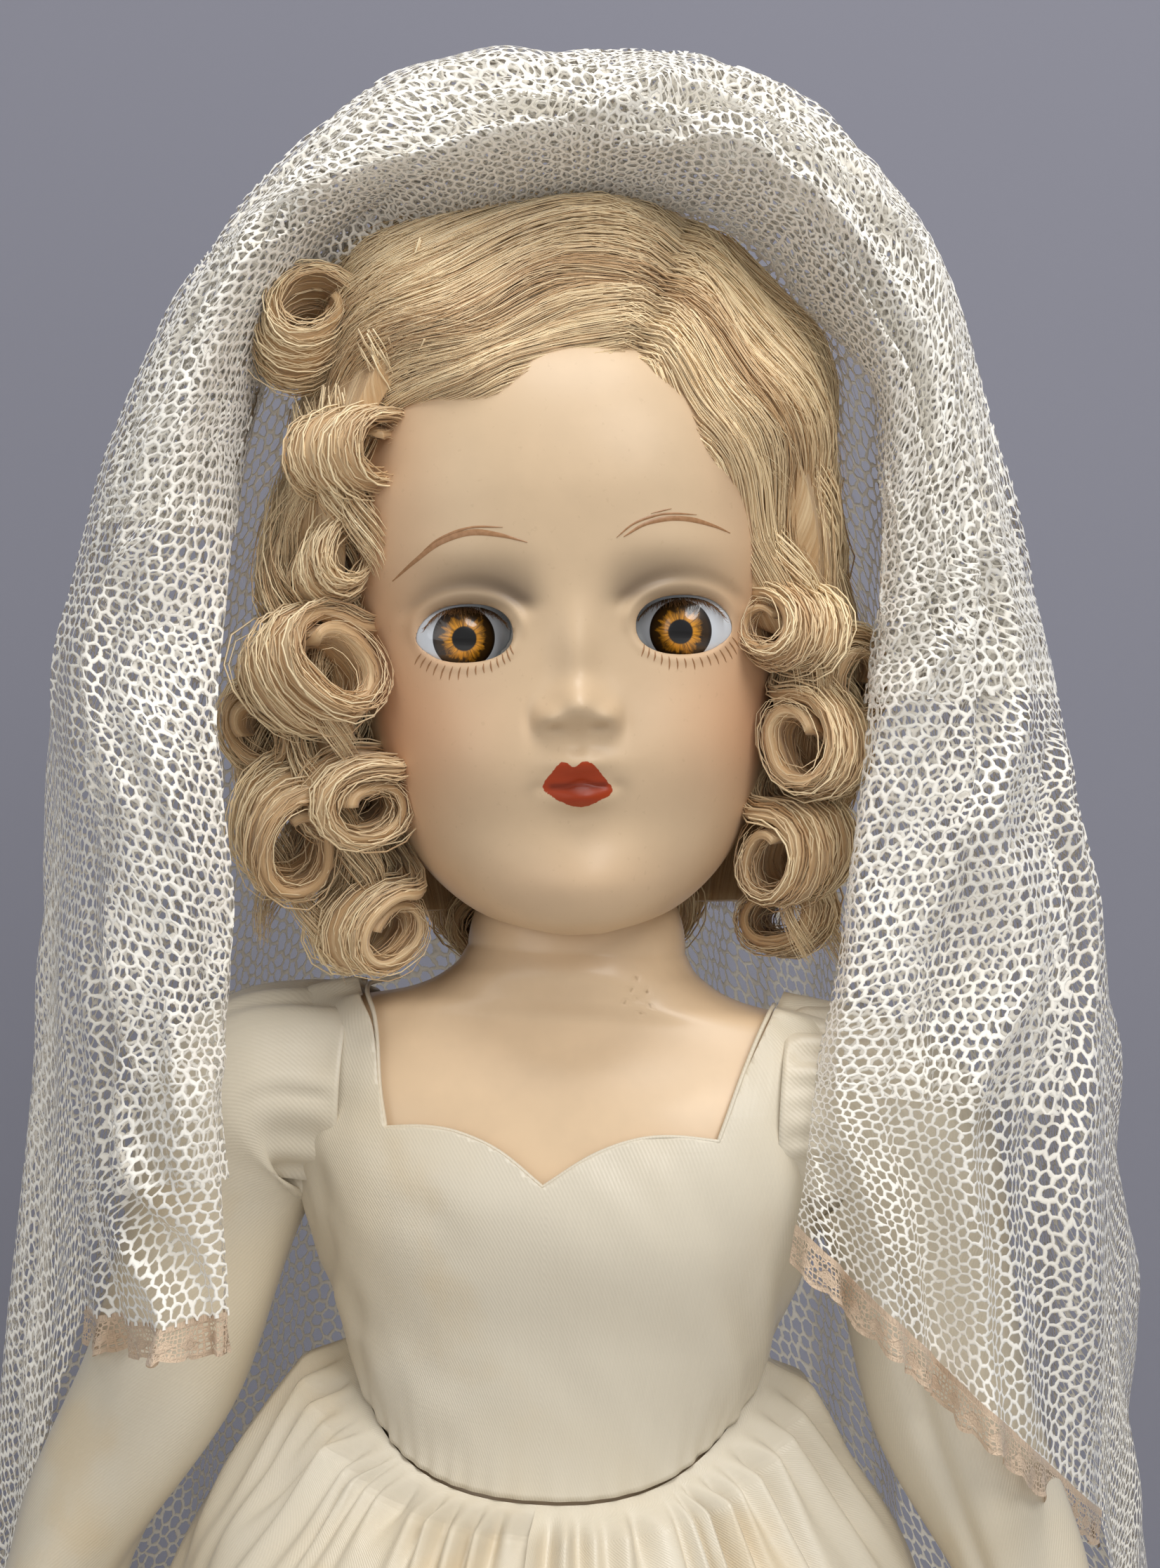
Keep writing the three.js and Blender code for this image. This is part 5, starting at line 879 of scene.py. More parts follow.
def make_body():
    """The torso follows its ovals from the crotch to the neck's ball, is cut flat at the arms, and has the hips'
    wells, the hollow and the cords' bores cut out. The limbs are rounded copies of their solids."""
    turn = np.linspace(0, 2 * pi, 200, endpoint=False)[None]
    z = np.r_[np.linspace(248, 380, 90), np.linspace(380, 405, 50)[1:]][:, None]
    skin = body_point(turn, z)
    rise = np.radians(np.linspace(2, 66, 26))[:, None]
    knob = stack(18.8 * np.cos(rise) * np.sin(turn), 2 - 18.8 * np.cos(rise) * np.cos(turn),
                 405 + 18.8 * np.sin(rise) + 0 * turn)
    points = np.concatenate([skin, knob])
    points[..., 0] = np.clip(points[..., 0], -ARM_PLANE, ARM_PLANE)
    torso = grid("torso", points, closed=True, ends=("low", "high"))
    half, reach = 19.0, 45.0

    def swing(degrees, way):
        a = radians(degrees)
        out = np.array([way * cos(a) * half, -way * sin(a) * half])
        return out, out + [-sin(a) * reach, -cos(a) * reach]

    front, back = swing(82, -1), swing(-12, 1)
    sector = np.array([front[0], front[1], [front[1][0], -reach], back[1], back[0]]) + [0, LEG_Z]
    tools = [grid("tool", body_point(turn[:, ::4], np.linspace(268, 393, 30)[:, None], -3), closed=True,
                  ends=("low", "high")),
             rod_tool((0, 2, 440), (0, 0, 1), 7.5, 60), rod_tool((0, 0, 287), (0, 0, 1), 7.5, 29),
             rod_tool((0, 0, ARM_Z), (1, 0, 0), 7.5, 90), rod_tool((0, 0, LEG_Z), (1, 0, 0), 7.5, 90)]
    for side in (-1, 1):
        low, high = sorted((8.0 * side, 90.0 * side))
        tools += [prism_tool(sector, low, high, "x"), rod_tool((49 * side, 0, LEG_Z), (1, 0, 0), 23.5, 41, 96)]
    carved(torso, *tools)
    x, y, z = points_of(torso).T
    pits = sum(bell(np.hypot(x - a, z - b), 0, 0.5) for a, b in NECK_CHIPS)
    paint(torso.data, "pits", np.clip(pits, 0, 1) * (y < 0))
    dress(torso, flesh, "torso", ("torso_front", "torso_back"))
    for side in ("left", "right"):
        for limb, voxel, rounds in (("arm", 0.8, 6), ("leg", 1.1, 8)):
            piece = fresh_copy(f"{limb}_{side}_skin", f"{limb}_{side}", voxel, rounds)
            dress(piece, flesh, f"{limb}_{side}", (f"{limb}_{side}",))


def elastic_braid():
    """Cotton-braided elastic: slanting ribs round the cord."""
    f = Finish("elastic braid", Roughness=0.9)
    place = f.near()
    ribs = f.node("TexWave", {"Vector": place, "Scale": 620.0, "Distortion": 1.0}, bands_direction="DIAGONAL")
    # The braid is painted darker in the grooves between its ribs: painted shade.
    return f.done(Base_Color=f.blend(ribs, (0.5, 0.46, 0.38), (0.78, 0.74, 0.66)), Normal=f.bump(ribs, 0.2))


def drawn_wire():
    """Dull drawn steel with a few darker flecks."""
    f = Finish("drawn steel wire", Metallic=1.0, Roughness=0.38)
    flecks = f.noise(f.near((1, 1, 0.2)), 900, 3)
    return f.done(Base_Color=f.blend(flecks, (0.26, 0.25, 0.24), (0.5, 0.5, 0.5)), Normal=f.bump(flecks, 0.02))


def cast_lead():
    """Cast lead: a dull, grainy grey."""
    f = Finish("cast lead", Metallic=0.9, Roughness=0.6)
    grain = f.noise(f.near(), 500, 4)
    return f.done(Base_Color=f.blend(grain, (0.1, 0.11, 0.12), (0.22, 0.23, 0.25)), Normal=f.bump(grain, 0.15))


def set_plaster():
    """Set plaster: chalky, with fine pits."""
    f = Finish("set plaster", Roughness=0.95)
    grain = f.noise(f.near(), 420, 5, 0.65)
    return f.done(Base_Color=f.blend(grain, (0.62, 0.59, 0.52), (0.8, 0.78, 0.72)), Normal=f.bump(grain, 0.3))


def beech():
    """Beech dowel: fine grain drawn out along the bar."""
    f = Finish("beech dowel", Roughness=0.6)
    grain = f.noise(f.near((0.08, 1, 1)), 900, 4)
    return f.done(Base_Color=f.blend(grain, (0.36, 0.2, 0.09), (0.56, 0.36, 0.18)), Normal=f.bump(grain, 0.08))


def sole_board():
    """Tan board for the soles: pressed fibres and scuffs."""
    f = Finish("sole board", Roughness=0.75)
    fibre = f.noise(f.near((1, 0.3, 1)), 700, 5, 0.7)
    scuff = f.ramp(f.noise(f.near(), 60, 3), 0.5, 0.75)
    tan = f.blend(fibre, (0.38, 0.23, 0.11), (0.55, 0.37, 0.2))
    return f.done(Base_Color=f.blend(f.math("MULTIPLY", scuff, 0.4), tan, (0.2, 0.13, 0.07)),
                  Normal=f.bump(fibre, 0.12))


def leatherette():
    """White leatherette: small rounded cells with fine creases between them."""
    f = Finish("white leatherette", Roughness=0.42, Coat_Weight=0.12, Coat_Roughness=0.3)
    cells = f.node("TexVoronoi", {"Vector": f.near(), "Scale": 1500.0}, feature="SMOOTH_F1")
    age = f.ramp(f.noise(f.near(), 70, 3), 0.4, 0.75)
    white = f.blend(f.math("MULTIPLY", age, 0.35), tuple(colours().shoe), (0.62, 0.54, 0.4))
    return f.done(Base_Color=white, Normal=f.bump(cells, 0.1, strength=0.5))


def make_stringing():
    """The wires and weights of the frame take finishes, and smooth elastics follow the cords' solids."""
    hook = 40.0
    arm = [(-hook, -5.4, 378.8), (-hook, 0, 378), (-hook + 1.35, 5.4, 377.2), (-hook + 5.4, 10.8, 378)]
    arm = [*arm, (0, 10.8, 378), *[(-x, y, z) for x, y, z in reversed(arm)]]
    leg = [(-4, 4.32, 258.8), (-4, 0, 258), (-4, -4.32, 259.35), (-4, -2.7, 268.8), (-4, 0, 290), (-4, 2, 338),
           (-4, 2, 378), (-3.8, 2, 396.1), (-2.4, 2, 401.5)]
    leg = [*leg, (0, 2, 401.9), *[(-x, y, z) for x, y, z in reversed(leg)]]
    for name, line in (("arm_elastic", arm), ("leg_elastic", leg)):
        dress(tube(name + "_braid", line, 1.1, 120), elastic_braid, "torso", (name,))
    wires = ["bodice_snap_1", "bodice_snap_2", "neck_hook", "eye_rocker_wire"]
    wires += [f"{limb}_hook_{side}" for limb in ("arm", "leg") for side in ("left", "right")]
    for name in wires:
        dressed_node(name, drawn_wire)
    dressed_node("eye_weight", cast_lead)
    dressed_node("neck_bar", beech)
    for side in ("left", "right"):
        dressed_node(f"eye_socket_{side}", set_plaster)
        dressed_node(f"sole_{side}", sole_board)


# The gown


def satin():
    """Ivory rayon satin: a fine slanting twill, a soft sheen along its threads, slubs, and the yellowing of age."""
    s = sizes()
    f = Finish("ivory satin", Roughness=0.4, Anisotropic=0.55, Specular_IOR_Level=0.55, Sheen_Weight=0.12,
               Sheen_Roughness=0.4)
    cloth = f.cloth()
    pitch = 1 / (s.weave_pitch * 3.2)
    slant = f.vector("DOT_PRODUCT", cloth, (0.86, 0.5, 0), out=1)
    twill = f.math("SINE", f.math("MULTIPLY", slant, 2 * pi * pitch * 3.2))
    threads = f.noise(f.vector("MULTIPLY", cloth, (1, 0.06, 1)), 2600, 2)
    slubs = f.noise(f.vector("MULTIPLY", cloth, (0.05, 1, 1)), 1500, 2)
    place = f.near()
    age = f.ramp(f.noise(place, 22, 3), 0.42, 0.72)
    stain = f.math("MULTIPLY", f.ramp(f.noise(f.vector("ADD", place, (3, 1, 2)), 31, 4), 0.56, 0.72), 0.5)
    ivory = tuple(colours().satin)
    base = f.blend(age, ivory, tuple(a * b for a, b in zip(ivory, (0.96, 0.92, 0.85))))
    base = f.blend(stain, base, tuple(a * b for a, b in zip(ivory, (0.95, 0.82, 0.62))))
    base = f.blend(f.ramp(threads, 0.3, 0.7, 0.0, 0.07), base, tuple(0.72 * v for v in ivory))
    height = f.math("ADD", f.math("MULTIPLY", twill, 0.5), f.math("ADD", threads, f.math("MULTIPLY", slubs, 1.2)))
    rough = f.ramp(threads, 0.2, 0.8, 0.34, 0.46)
    return f.done(Base_Color=base, Roughness=rough, Normal=f.bump(height, 0.05, strength=0.45),
                  Tangent=f.node("Tangent", direction_type="UV_MAP", uv_map="cloth"))


def cotton():
    """Plain white cotton: warp and weft threads over and under each other."""
    f = Finish("white cotton", Roughness=0.9, Sheen_Weight=0.2)
    cloth = f.cloth()
    warp = f.node("TexWave", {"Vector": cloth, "Scale": 520.0, "Distortion": 0.6}, bands_direction="X")
    weft = f.node("TexWave", {"Vector": cloth, "Scale": 520.0, "Distortion": 0.6}, bands_direction="Y")
    weave = f.math("MULTIPLY", warp, weft)
    c = tuple(colours().cotton)
    # The cloth is painted darker between the threads: painted shade in the weave.
    return f.done(Base_Color=f.blend(weave, tuple(0.82 * v for v in c), c), Normal=f.bump(weave, 0.1, strength=0.6))


def round_uv(points, closed=True):
    """Cloth places for a piece that goes round: the mean distance walked along the rows, then up the columns."""
    ring = np.concatenate([points, points[:, :1]], 1) if closed else points
    across = np.cumsum(np.linalg.norm(np.diff(ring, axis=1), axis=-1), 1).mean(0)
    up = np.cumsum(np.linalg.norm(np.diff(points, axis=0), axis=-1), 0).mean(1)
    u, v = np.meshgrid(np.r_[0, across], np.r_[0, up])
    return np.stack([u, v], -1) * MM


def seam_z(turn):
    """Height of the waist seam: it dips in front in a round-bottomed U and runs level round the back."""
    return mix(337.0, 313.5, np.clip(np.cos(turn), 0, 1) ** 0.75)


NECKLINE = [
    [(-37, 440), (-36.8, 402), (-36, 397), (-32.6, 391), (-30.2, 380.5), (-28.6, 374.3)],
    [(-28.6, 374.3), (-22, 374.9), (-16, 374.3), (-8.9, 371.7), (-1, 366.2)],
    [(-1, 366.2), (6.9, 371.7), (13.9, 374.6), (20, 375.4), (27.6, 374.9)],
    [(27.6, 374.9), (30.6, 384.5), (35, 396), (36.8, 402), (37, 440)],
]
SLEEVE_HEAD = 17.0


def on_body(x, z, out):
    """The front of the torso at a place across and up, standing out from the skin."""
    z = np.asarray(z, float)
    wide = reading(BODY_ROWS, z)[..., 0] + out
    power = mix(2.3, 2.0, smooth(z, 378, 401))
    sine = np.clip(np.abs(x) / wide, 0, 1) ** (power / 2)
    return body_point(np.sign(x) * np.arcsin(sine), z, out)


def bodice_out(turn, z):
    """How far the bodice stands off: a little ease, with slack folds that run in from the armholes and the waist."""
    side = smooth(np.abs(np.sin(turn)), 0.55, 0.95)
    slack = 0.8 * wander(turn * 5 + z * 0.05, z * 0.14 + 4 * np.abs(turn), 11) * (0.35 + side)
    waist = 0.4 * np.cos(turn * 46 + 3 * wander(turn * 4, 0, 4)) * np.exp(-(z - seam_z(turn)) / 3.5)
    drag = bell(np.sin(3 * turn + z * 0.09) + 0.5 * wander(turn * 3, z * 0.05, 12), 0.9, 0.5) * smooth(z, 318, 332)
    return 1.7 + 0.9 * slack + 0.6 * waist + 0.8 * drag


def make_bodice():
    """The bodice follows the torso from the waist seam to the shoulders; the neckline and the armholes are cut,
    and a rolled edge of the same satin runs along the neckline."""
    turn = np.linspace(0, 2 * pi, 260, endpoint=False)[None]
    rise = np.linspace(0, 1, 130)[:, None] ** 0.92
    z = mix(seam_z(turn), 399.5, rise)
    around = (turn + pi) % (2 * pi) - pi
    points = body_point(turn, z, bodice_out(around, z))
    bodice = grid("bodice_satin", points, round_uv(points), closed=True)
    thick(bodice, 0.5)
    line = np.concatenate([along(part, 60)[:-1] for part in NECKLINE])
    front = prism_tool(np.vstack([line, [(37, 440)]]), -90, 2.0)
    corner, top = 29.0, 37.0
    t = np.linspace(0, 1, 40)[:, None]
    scoop = [(1 - t) ** 2 * a + 2 * t * (1 - t) * b + t * t * c for a, b, c in
             ((np.array([-top, 397]), np.array([-corner, 384]), np.array([0, 384])),
              (np.array([0, 384]), np.array([corner, 384]), np.array([top, 397])))]
    back = prism_tool(np.vstack([[(-top, 440)], scoop[0][:-1], scoop[1], [(top, 440)]]), 2.0, 90)
    holes = [rod_tool((side * 90, 0, ARM_Z), (1, 0, 0), SLEEVE_HEAD + 0.4, 43.3, 120) for side in (-1, 1)]
    carved(bodice, front, back, *holes, keep=(box_tool((-48.4, -90, 300), (48.4, 90, 440)),))
    dress(bodice, satin, "torso", ("bodice",))
    edge = np.concatenate([along(part, 70)[:-1] for part in
                           (NECKLINE[0][2:], NECKLINE[1], NECKLINE[2], NECKLINE[3][:3])])
    edge = on_body(edge[:, 0], edge[:, 1], 1.62)[None]
    hem = strands("neckline_edge", edge, np.full(edge.shape[:2], 0.42), 8)
    fit_uv(hem)
    dress(hem, satin, "torso")
    rows = np.linspace(349.5, 383.5, 30)[:, None]
    strip = body_point(pi + np.linspace(-0.1, 0.1, 12)[None], rows, 2.35)
    placket = grid("placket", strip, round_uv(strip, False))
    thick(placket, 0.7)
    dress(placket, satin, "torso", ("bodice_placket",))


def fit_uv(piece):
    """Cloth places for a small piece from where its points are: across in X and up in Z."""
    mesh = piece.data
    corner = np.empty(len(mesh.loops), np.int32)
    mesh.loops.foreach_get("vertex_index", corner)
    layer = mesh.uv_layers.get("cloth") or mesh.uv_layers.new(name="cloth")
    layer.data.foreach_set("uv", (points_of(piece)[corner][:, [0, 2]] * MM).astype(np.float32).ravel())


ARM_SHARES = [(-0.03, 0, 0.02), (0.18, 0.08, 0.1), (0.34, 0.23, 0), (0.48, 0.41, -0.02), (0.62, 0.59, -0.06),
              (0.8, 0.79, -0.12), (1, 1, -0.2)]


def make_sleeves():
    """Each sleeve is rings along a line that leaves the armhole sideways and bends down the arm. Small gathers
    spread from its head, and slack folds wander down its length to a turned hem at the wrist."""
    stations = np.array([(58.9 + reach * 40, ahead * 12.2, ARM_Z - drop * 133) for drop, reach, ahead in ARM_SHARES])
    line = np.array([(37.4, 0, 378.0), (43.0, 0, 378.4), (48.5, 0, 378.3), (52.5, 0, 377.0), (56.0, 0.1, 373.5),
                     (58.9, 0.5, 367.0), *stations[1:6],
                     stations[5] + (stations[6] - stations[5]) * 0.85])
    radii = np.array([18.6, 17.9, 17.9, 18.3, 18.4, 16.8, 14.6, 13.3, 12.1, 10.6, 9.5, 8.6])
    rows, columns = 170, 110
    walked = np.r_[0, np.cumsum(np.linalg.norm(np.diff(line, axis=0), axis=1))]
    place = np.linspace(0, walked[-1], rows)
    read = reading(np.c_[walked, line, radii], place)
    centre, radius = read[:, :3], read[:, 3]
    lean = unit(reading([(0, 1, 0, 0), (11, 1, 0, 0), (18, 0.86, 0, -0.5), (25, 0.5, 0, -0.86), (35, 0.18, 0, -0.98),
                         (60, 0.3, -0.02, -0.95), (walked[-1], 0.31, -0.03, -0.95)], place))
    front = unit(np.cross(lean, [0, 1, 0.0]))
    turn = np.linspace(0, 2 * pi, columns, endpoint=False)
    down = place[:, None]
    gathers = 1.1 * np.cos(15 * turn + 4 * wander(turn * 3, 0, 7)) * np.exp(-((down - 6) / 9) ** 2)
    gathers = gathers * smooth(down, 0, 3) * (0.4 + 0.6 * np.cos(turn) ** 2)
    slack = 1.9 * wander(turn / pi * 4 + down * 0.012, down * 0.03 + 3, 21) * smooth(down, 23, 56)
    pulls = 0.55 * np.cos(3 * turn + down * 0.075 + 1.4 * np.sin(down * 0.06)) * smooth(down, 31, 71)
    pleat = -1.6 * bell(wrapped(turn - 4.35 + 0.0012 * (down - 71)), 0, 0.17) * smooth(down, 29, 51)
    out = radius[:, None] + gathers + slack + pulls + pleat
    for name, side in (("right", -1), ("left", 1)):
        spin = turn if side > 0 else -turn
        ring = np.cos(spin)[:, None] * front[:, None] + np.sin(spin)[:, None] * np.array([0, 1.0, 0])
        points = (centre[:, None] + out[..., None] * ring) * (side, 1, 1)
        sleeve = grid(f"sleeve_{name}_satin", points, round_uv(points), closed=True)
        flip_outwards(sleeve, points.reshape(-1, 3).mean(0))
        thick(sleeve, 0.5)
        dress(sleeve, satin, f"arm_{name}", (f"sleeve_{name}",))


def wrapped(angle):
    """An angle brought to within half a turn of nought."""
    return (angle + pi) % (2 * pi) - pi


def flip_outwards(piece, middle):
    """Turns an open piece's faces round when they look towards its middle."""
    mesh = piece.data
    centre = np.empty(len(mesh.polygons) * 3, np.float32)
    normal = np.empty(len(mesh.polygons) * 3, np.float32)
    mesh.polygons.foreach_get("center", centre)
    mesh.polygons.foreach_get("normal", normal)
    if ((centre.reshape(-1, 3) / MM - middle) * normal.reshape(-1, 3)).sum() < 0:
        mesh.flip_normals()
    return piece


SKIRT_ROWS = [(0, 0), (0.012, 0.05), (0.04, 0.13), (0.1, 0.27), (0.24, 0.43), (0.45, 0.62), (0.7, 0.82), (1, 1)]


def skirt_point(turn, share, top, hem, radius, folds, depth, out, pucker=0.0):
    """A full skirt: each point leaves the seam like the torso and turns round towards the hem. Broad folds deepen
    downwards, and puckers stand out just under the gathers and die away."""
    z = mix(top, hem, share)
    start = body_point(turn, top + 0 * share, out)
    spread = reading(SKIRT_ROWS, share)[..., 0]
    wave = np.cos(folds * turn + 2.2 * np.sin(3 * share))
    second = np.cos(folds * 2 * turn + 1) * (1 - share) * share
    fold = depth * (0.5 * wave * share**0.7 + 0.35 * second - 0.5 * share**0.7)
    drop = np.asarray(top - z, float)
    if pucker:
        seed = 5
        jitter = 5.2 * wander(turn * 5.0 + drop * 0.01, drop * 0.016 + 2, seed)
        many = np.cos(50 * turn + jitter) + 0.7 * np.cos(31 * turn + 1.7 * jitter + 0.6)
        few = np.cos(19 * turn + 1.1 * jitter + 2)
        near = smooth(drop, 0.2, 5) * np.exp(-drop / 24)
        later = smooth(drop, 4, 26) * np.exp(-drop / 150)
        size = 0.7 + 0.5 * wander(turn * 9, drop * 0.05 + 3, seed + 1)
        fold = fold + pucker * size * (many * near + 1.1 * few * later)
        z = z + 0.55 * pucker * size * many * near * smooth(drop, 0.5, 6) * np.exp(-drop / 16)
    out_x, out_y = np.sin(turn) * (radius + fold), -np.cos(turn) * (radius + fold)
    lift = pucker * 2.0 * smooth(drop, 0.1, 5) * np.exp(-drop / 14) if pucker else 0
    x, y = mix(start[..., 0], out_x, spread), mix(start[..., 1], out_y, spread)
    if pucker:
        way = unit(np.stack([x, y], -1))
        amount = (pucker * size * many * near * (1 - spread) + lift * 0.6)
        x, y = x + way[..., 0] * amount, y + way[..., 1] * amount
    return stack(x, y, z)


def make_skirts():
    """The skirt and the petticoat are gathered and made in two halves, and each half's front lifts with its leg.

    The panties are a tube with a strip under the crotch."""
    depth = sizes().pucker_depth / MM
    for name, first in (("left", 0), ("right", pi)):
        turn = first + np.linspace(0, pi, 260)[None]
        share = np.linspace(0, 1, 110)[:, None] ** 1.9
        points = skirt_point(turn, share, seam_z(turn) - 0.6, 1.2, 134.0, 12, 15.0, 1.6, depth)[::-1]
        skirt = grid(f"skirt_{name}_satin", points, cloth_uv(points, (1, 1)))
        flip_outwards(skirt, np.array([0, 0, 150.0]))
        dress(skirt, satin, None, ("skirt",))
        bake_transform(skirt)
        share = np.linspace(0, 1, 50)[:, None] ** 1.4
        under = skirt_point(turn[:, ::2], share, 304.1, 62.0, 98.0, 8, 7.0, 3.5)[::-1]
        petticoat = grid(f"petticoat_{name}_cotton", under, cloth_uv(under, (1, 1)))
        flip_outwards(petticoat, np.array([0, 0, 150.0]))
        thick(petticoat, 0.4)
        dress(petticoat, cotton, None, ("petticoat",))
        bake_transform(petticoat)
    panties = fresh_copy("panties_cotton", "panties", 1.0, 4)
    fit_uv(panties)
    dress(panties, cotton, "torso", ("panties",))


LEG_LINE = [
    (-258, 25, 0, 16.5), (-223.5, 25, 0, 16.5), (-177.5, 24.4, 0, 14.5), (-143, 24, -1.5, 13),
    (-108, 23.8, 1.5, 14.5), (-71, 23, 1.5, 11.75), (-34, 23, 3, 9.5), (-8.5, 23, 3, 9.5),
]


def make_footwear():
    """Socks are ribbed rings up the leg with a turned cuff. Shoes are rounded copies of their solids."""
    turn = np.linspace(0, 2 * pi, 120, endpoint=False)[None]
    z = np.r_[np.linspace(20, 50, 20), np.linspace(50.2, 51.2, 4), np.linspace(51.5, 62, 10)]
    for name, side in (("right", -1), ("left", 1)):
        x, y, radius = np.moveaxis(reading(LEG_LINE, -z), -1, 0)
        out = radius + 1.1 + 1.0 * smooth(z, 50, 51.2)
        ribs = 0.16 * np.cos(60 * turn)
        points = stack(side * x[:, None] + (out[:, None] + ribs) * np.sin(turn),
                       y[:, None] - (out[:, None] + ribs) * np.cos(turn), z[:, None] + 0 * turn)
        sock = grid(f"sock_{name}_knit", points, round_uv(points), closed=True)
        thick(sock, 0.6)
        dress(sock, cotton, f"leg_{name}", (f"sock_{name}",))
        shoe = fresh_copy(f"shoe_{name}_upper", f"shoe_{name}", 0.6, 4)
        dress(shoe, leatherette, f"leg_{name}", (f"shoe_{name}",))


# The wig

CAP_LINE = [(0, 0.93), (0.2, 0.9), (0.3, 0.8), (0.38, 0.55), (0.48, 0.3), (0.62, 0.22), (1, 0.2)]
HAIR_LINE = [(0, 0.93), (0.2, 0.9), (0.28, 0.78), (0.34, 0.52), (0.38, 0.27), (0.43, 0.07), (0.55, 0.03), (1, 0.02)]
PART = -22.0
LEFT_EDGE = [(-22, 43), (-5, 40), (15, 38), (33.6, 36.5), (48, 44), (60, 55), (80, 66), (110, 74)]
RIGHT_EDGE = [(22, 43), (36, 38.5), (52, 36.4), (75, 38), (94, 42), (109, 50), (125, 62)]


def mohair():
    """Mohair: each strand has its own tone between dark and light honey, and drawn streaks run along the locks,
    with a soft gloss across them."""
    c = colours()
    f = Finish("honey mohair", Roughness=0.4, Anisotropic=0.3, Specular_IOR_Level=0.42, Sheen_Weight=0.15)
    streaks = f.noise(f.cloth((1.0, 0.03, 1)), 1900, 3, 0.6)
    broad = f.noise(f.cloth((1.0, 0.05, 1)), 420, 2)
    tone = f.math("ADD", f.value("tone"), f.math("MULTIPLY", f.math("SUBTRACT", streaks, 0.5), 1.2))
    tone = f.math("ADD", tone, f.math("MULTIPLY", f.math("SUBTRACT", broad, 0.5), 0.7))
    base = f.blend(f.ramp(tone, 0.0, 1.0), tuple(c.hair_dark), tuple(c.hair_light))
    height = f.math("ADD", f.math("MULTIPLY", streaks, 0.8), broad)
    return f.done(Base_Color=base, Normal=f.bump(height, 0.5, strength=0.9))


def buckram():
    """Open cotton buckram: stiffened warp and weft with small square holes."""
    f = Finish("buckram", Roughness=0.95)
    warp = f.node("TexWave", {"Vector": f.near(), "Scale": 420.0}, bands_direction="X")
    weft = f.node("TexWave", {"Vector": f.near(), "Scale": 420.0}, bands_direction="Z")
    weave = f.math("MULTIPLY", warp, weft)
    # The weave is painted dark between the threads and in the holes: painted shade.
    return f.done(Base_Color=f.blend(weave, (0.36, 0.29, 0.2), (0.62, 0.52, 0.38)), Normal=f.bump(weave, 0.25))


def hair_point(turn, share, out, hang):
    """Hair over the skull: beside the face and behind it hangs straight down from a height share."""
    beside = smooth(np.abs(wrapped(turn)) / pi, 0.3, 0.42)[..., None]
    near = head_point(turn, share, out, False)
    hanging = head_point(turn, np.maximum(share, hang), out, False)
    hanging[..., 2] += np.minimum(share - hang, 0) * HEAD_HEIGHT
    return mix(near, hanging, beside)


def skull(line, out, hang, rows, columns):
    """Rows round the skull from a hairline up to the top, at a distance from the skin."""
    turn = np.linspace(0, 2 * pi, columns, endpoint=False)[None]
    low = reading(line, np.abs(wrapped(turn)) / pi)[..., 0]
    rise = np.linspace(0, 1, rows)[:, None]
    share = mix(low, 0.999, rise)
    return hair_point(turn, share, out(wrapped(turn), share, rise), hang), turn, rise


def dome(around, down, out=0.0):
    """A point of the combed crown, an oval ball with squared corners: around is the angle from straight up about
    the line of sight, towards the doll's right, and down is the angle from straight ahead."""
    a, d = np.radians(around), np.radians(down)
    way = stack(-np.sin(d) * np.sin(a), -np.cos(d), np.sin(d) * np.cos(a))
    axes = np.stack(np.broadcast_arrays(46.0, np.where(way[..., 1] < 0, 42.0, 54.0),
                                        np.where(way[..., 2] > 0, 60.5, 66.0)), -1)
    reach = (np.abs(way / axes) ** 2.3).sum(-1) ** (-1 / 2.3)
    return np.array([0, 3.0, 474.0]) + way * (reach + out)[..., None]


def swept(t, w, left, out=0.0):
    """Hair combed from the side part: t runs along the strands from the part and w from the front edge back.

    Locks are long swells between furrows; waves grow away from the part, and the ends fall plumb."""
    t, w = np.broadcast_arrays(np.asarray(t, float), np.asarray(w, float))
    way = 1.0 if left else -1.0
    reach = 121.0 if left else 94.0
    seed = 100 if left else 120
    around = (PART if left else -PART) + reach * np.minimum(t, 1.0)
    edge = reading(LEFT_EDGE if left else RIGHT_EDGE, around)[..., 0]
    phase = 2 * pi * (2.1 * t - 0.3 * w + 0.02) if left else 2 * pi * (1.5 * t + 0.2 * w + 0.25)
    grow = smooth(t, 0.06, 0.34)
    wave = (5.6 if left else 3.6) * np.sin(phase) * grow * (1 - 0.45 * w)
    down = mix(edge, 124.0 if left else 118.0, w) + wave * (0.25 + 0.75 * smooth(w, 0, 0.2)) * smooth(w, 1.15, 0.7)
    lock = wander(w * 12 + 1.1 * wander(t * 3, w * 4, seed), t * 2.2, seed + 1)
    fine = wander(w * 42 + 0.8 * wander(t * 5, w * 9, seed + 2), t * 3.5, seed + 3)
    proud = 2.9 * np.cos(phase + 0.9) * grow + 2.3 * lock * smooth(t, 0, 0.12) + 0.7 * fine
    roll = -3.0 * smooth(w, 0.06, 0.0) ** 1.5 - 7.0 * smooth(w, 0.0, -0.05)
    part = -2.2 * smooth(t, 0.05, -0.02)
    point = dome(around if left else -around, down, out + proud + roll + part + 1.6)
    fall = np.maximum(t - 1, 0)
    point[..., 2] -= 92 * fall
    point[..., 0] += -way * 9 * fall * (1 - fall) + way * 2.2 * np.sin(fall * 9 + 3 * w) * fall
    return point


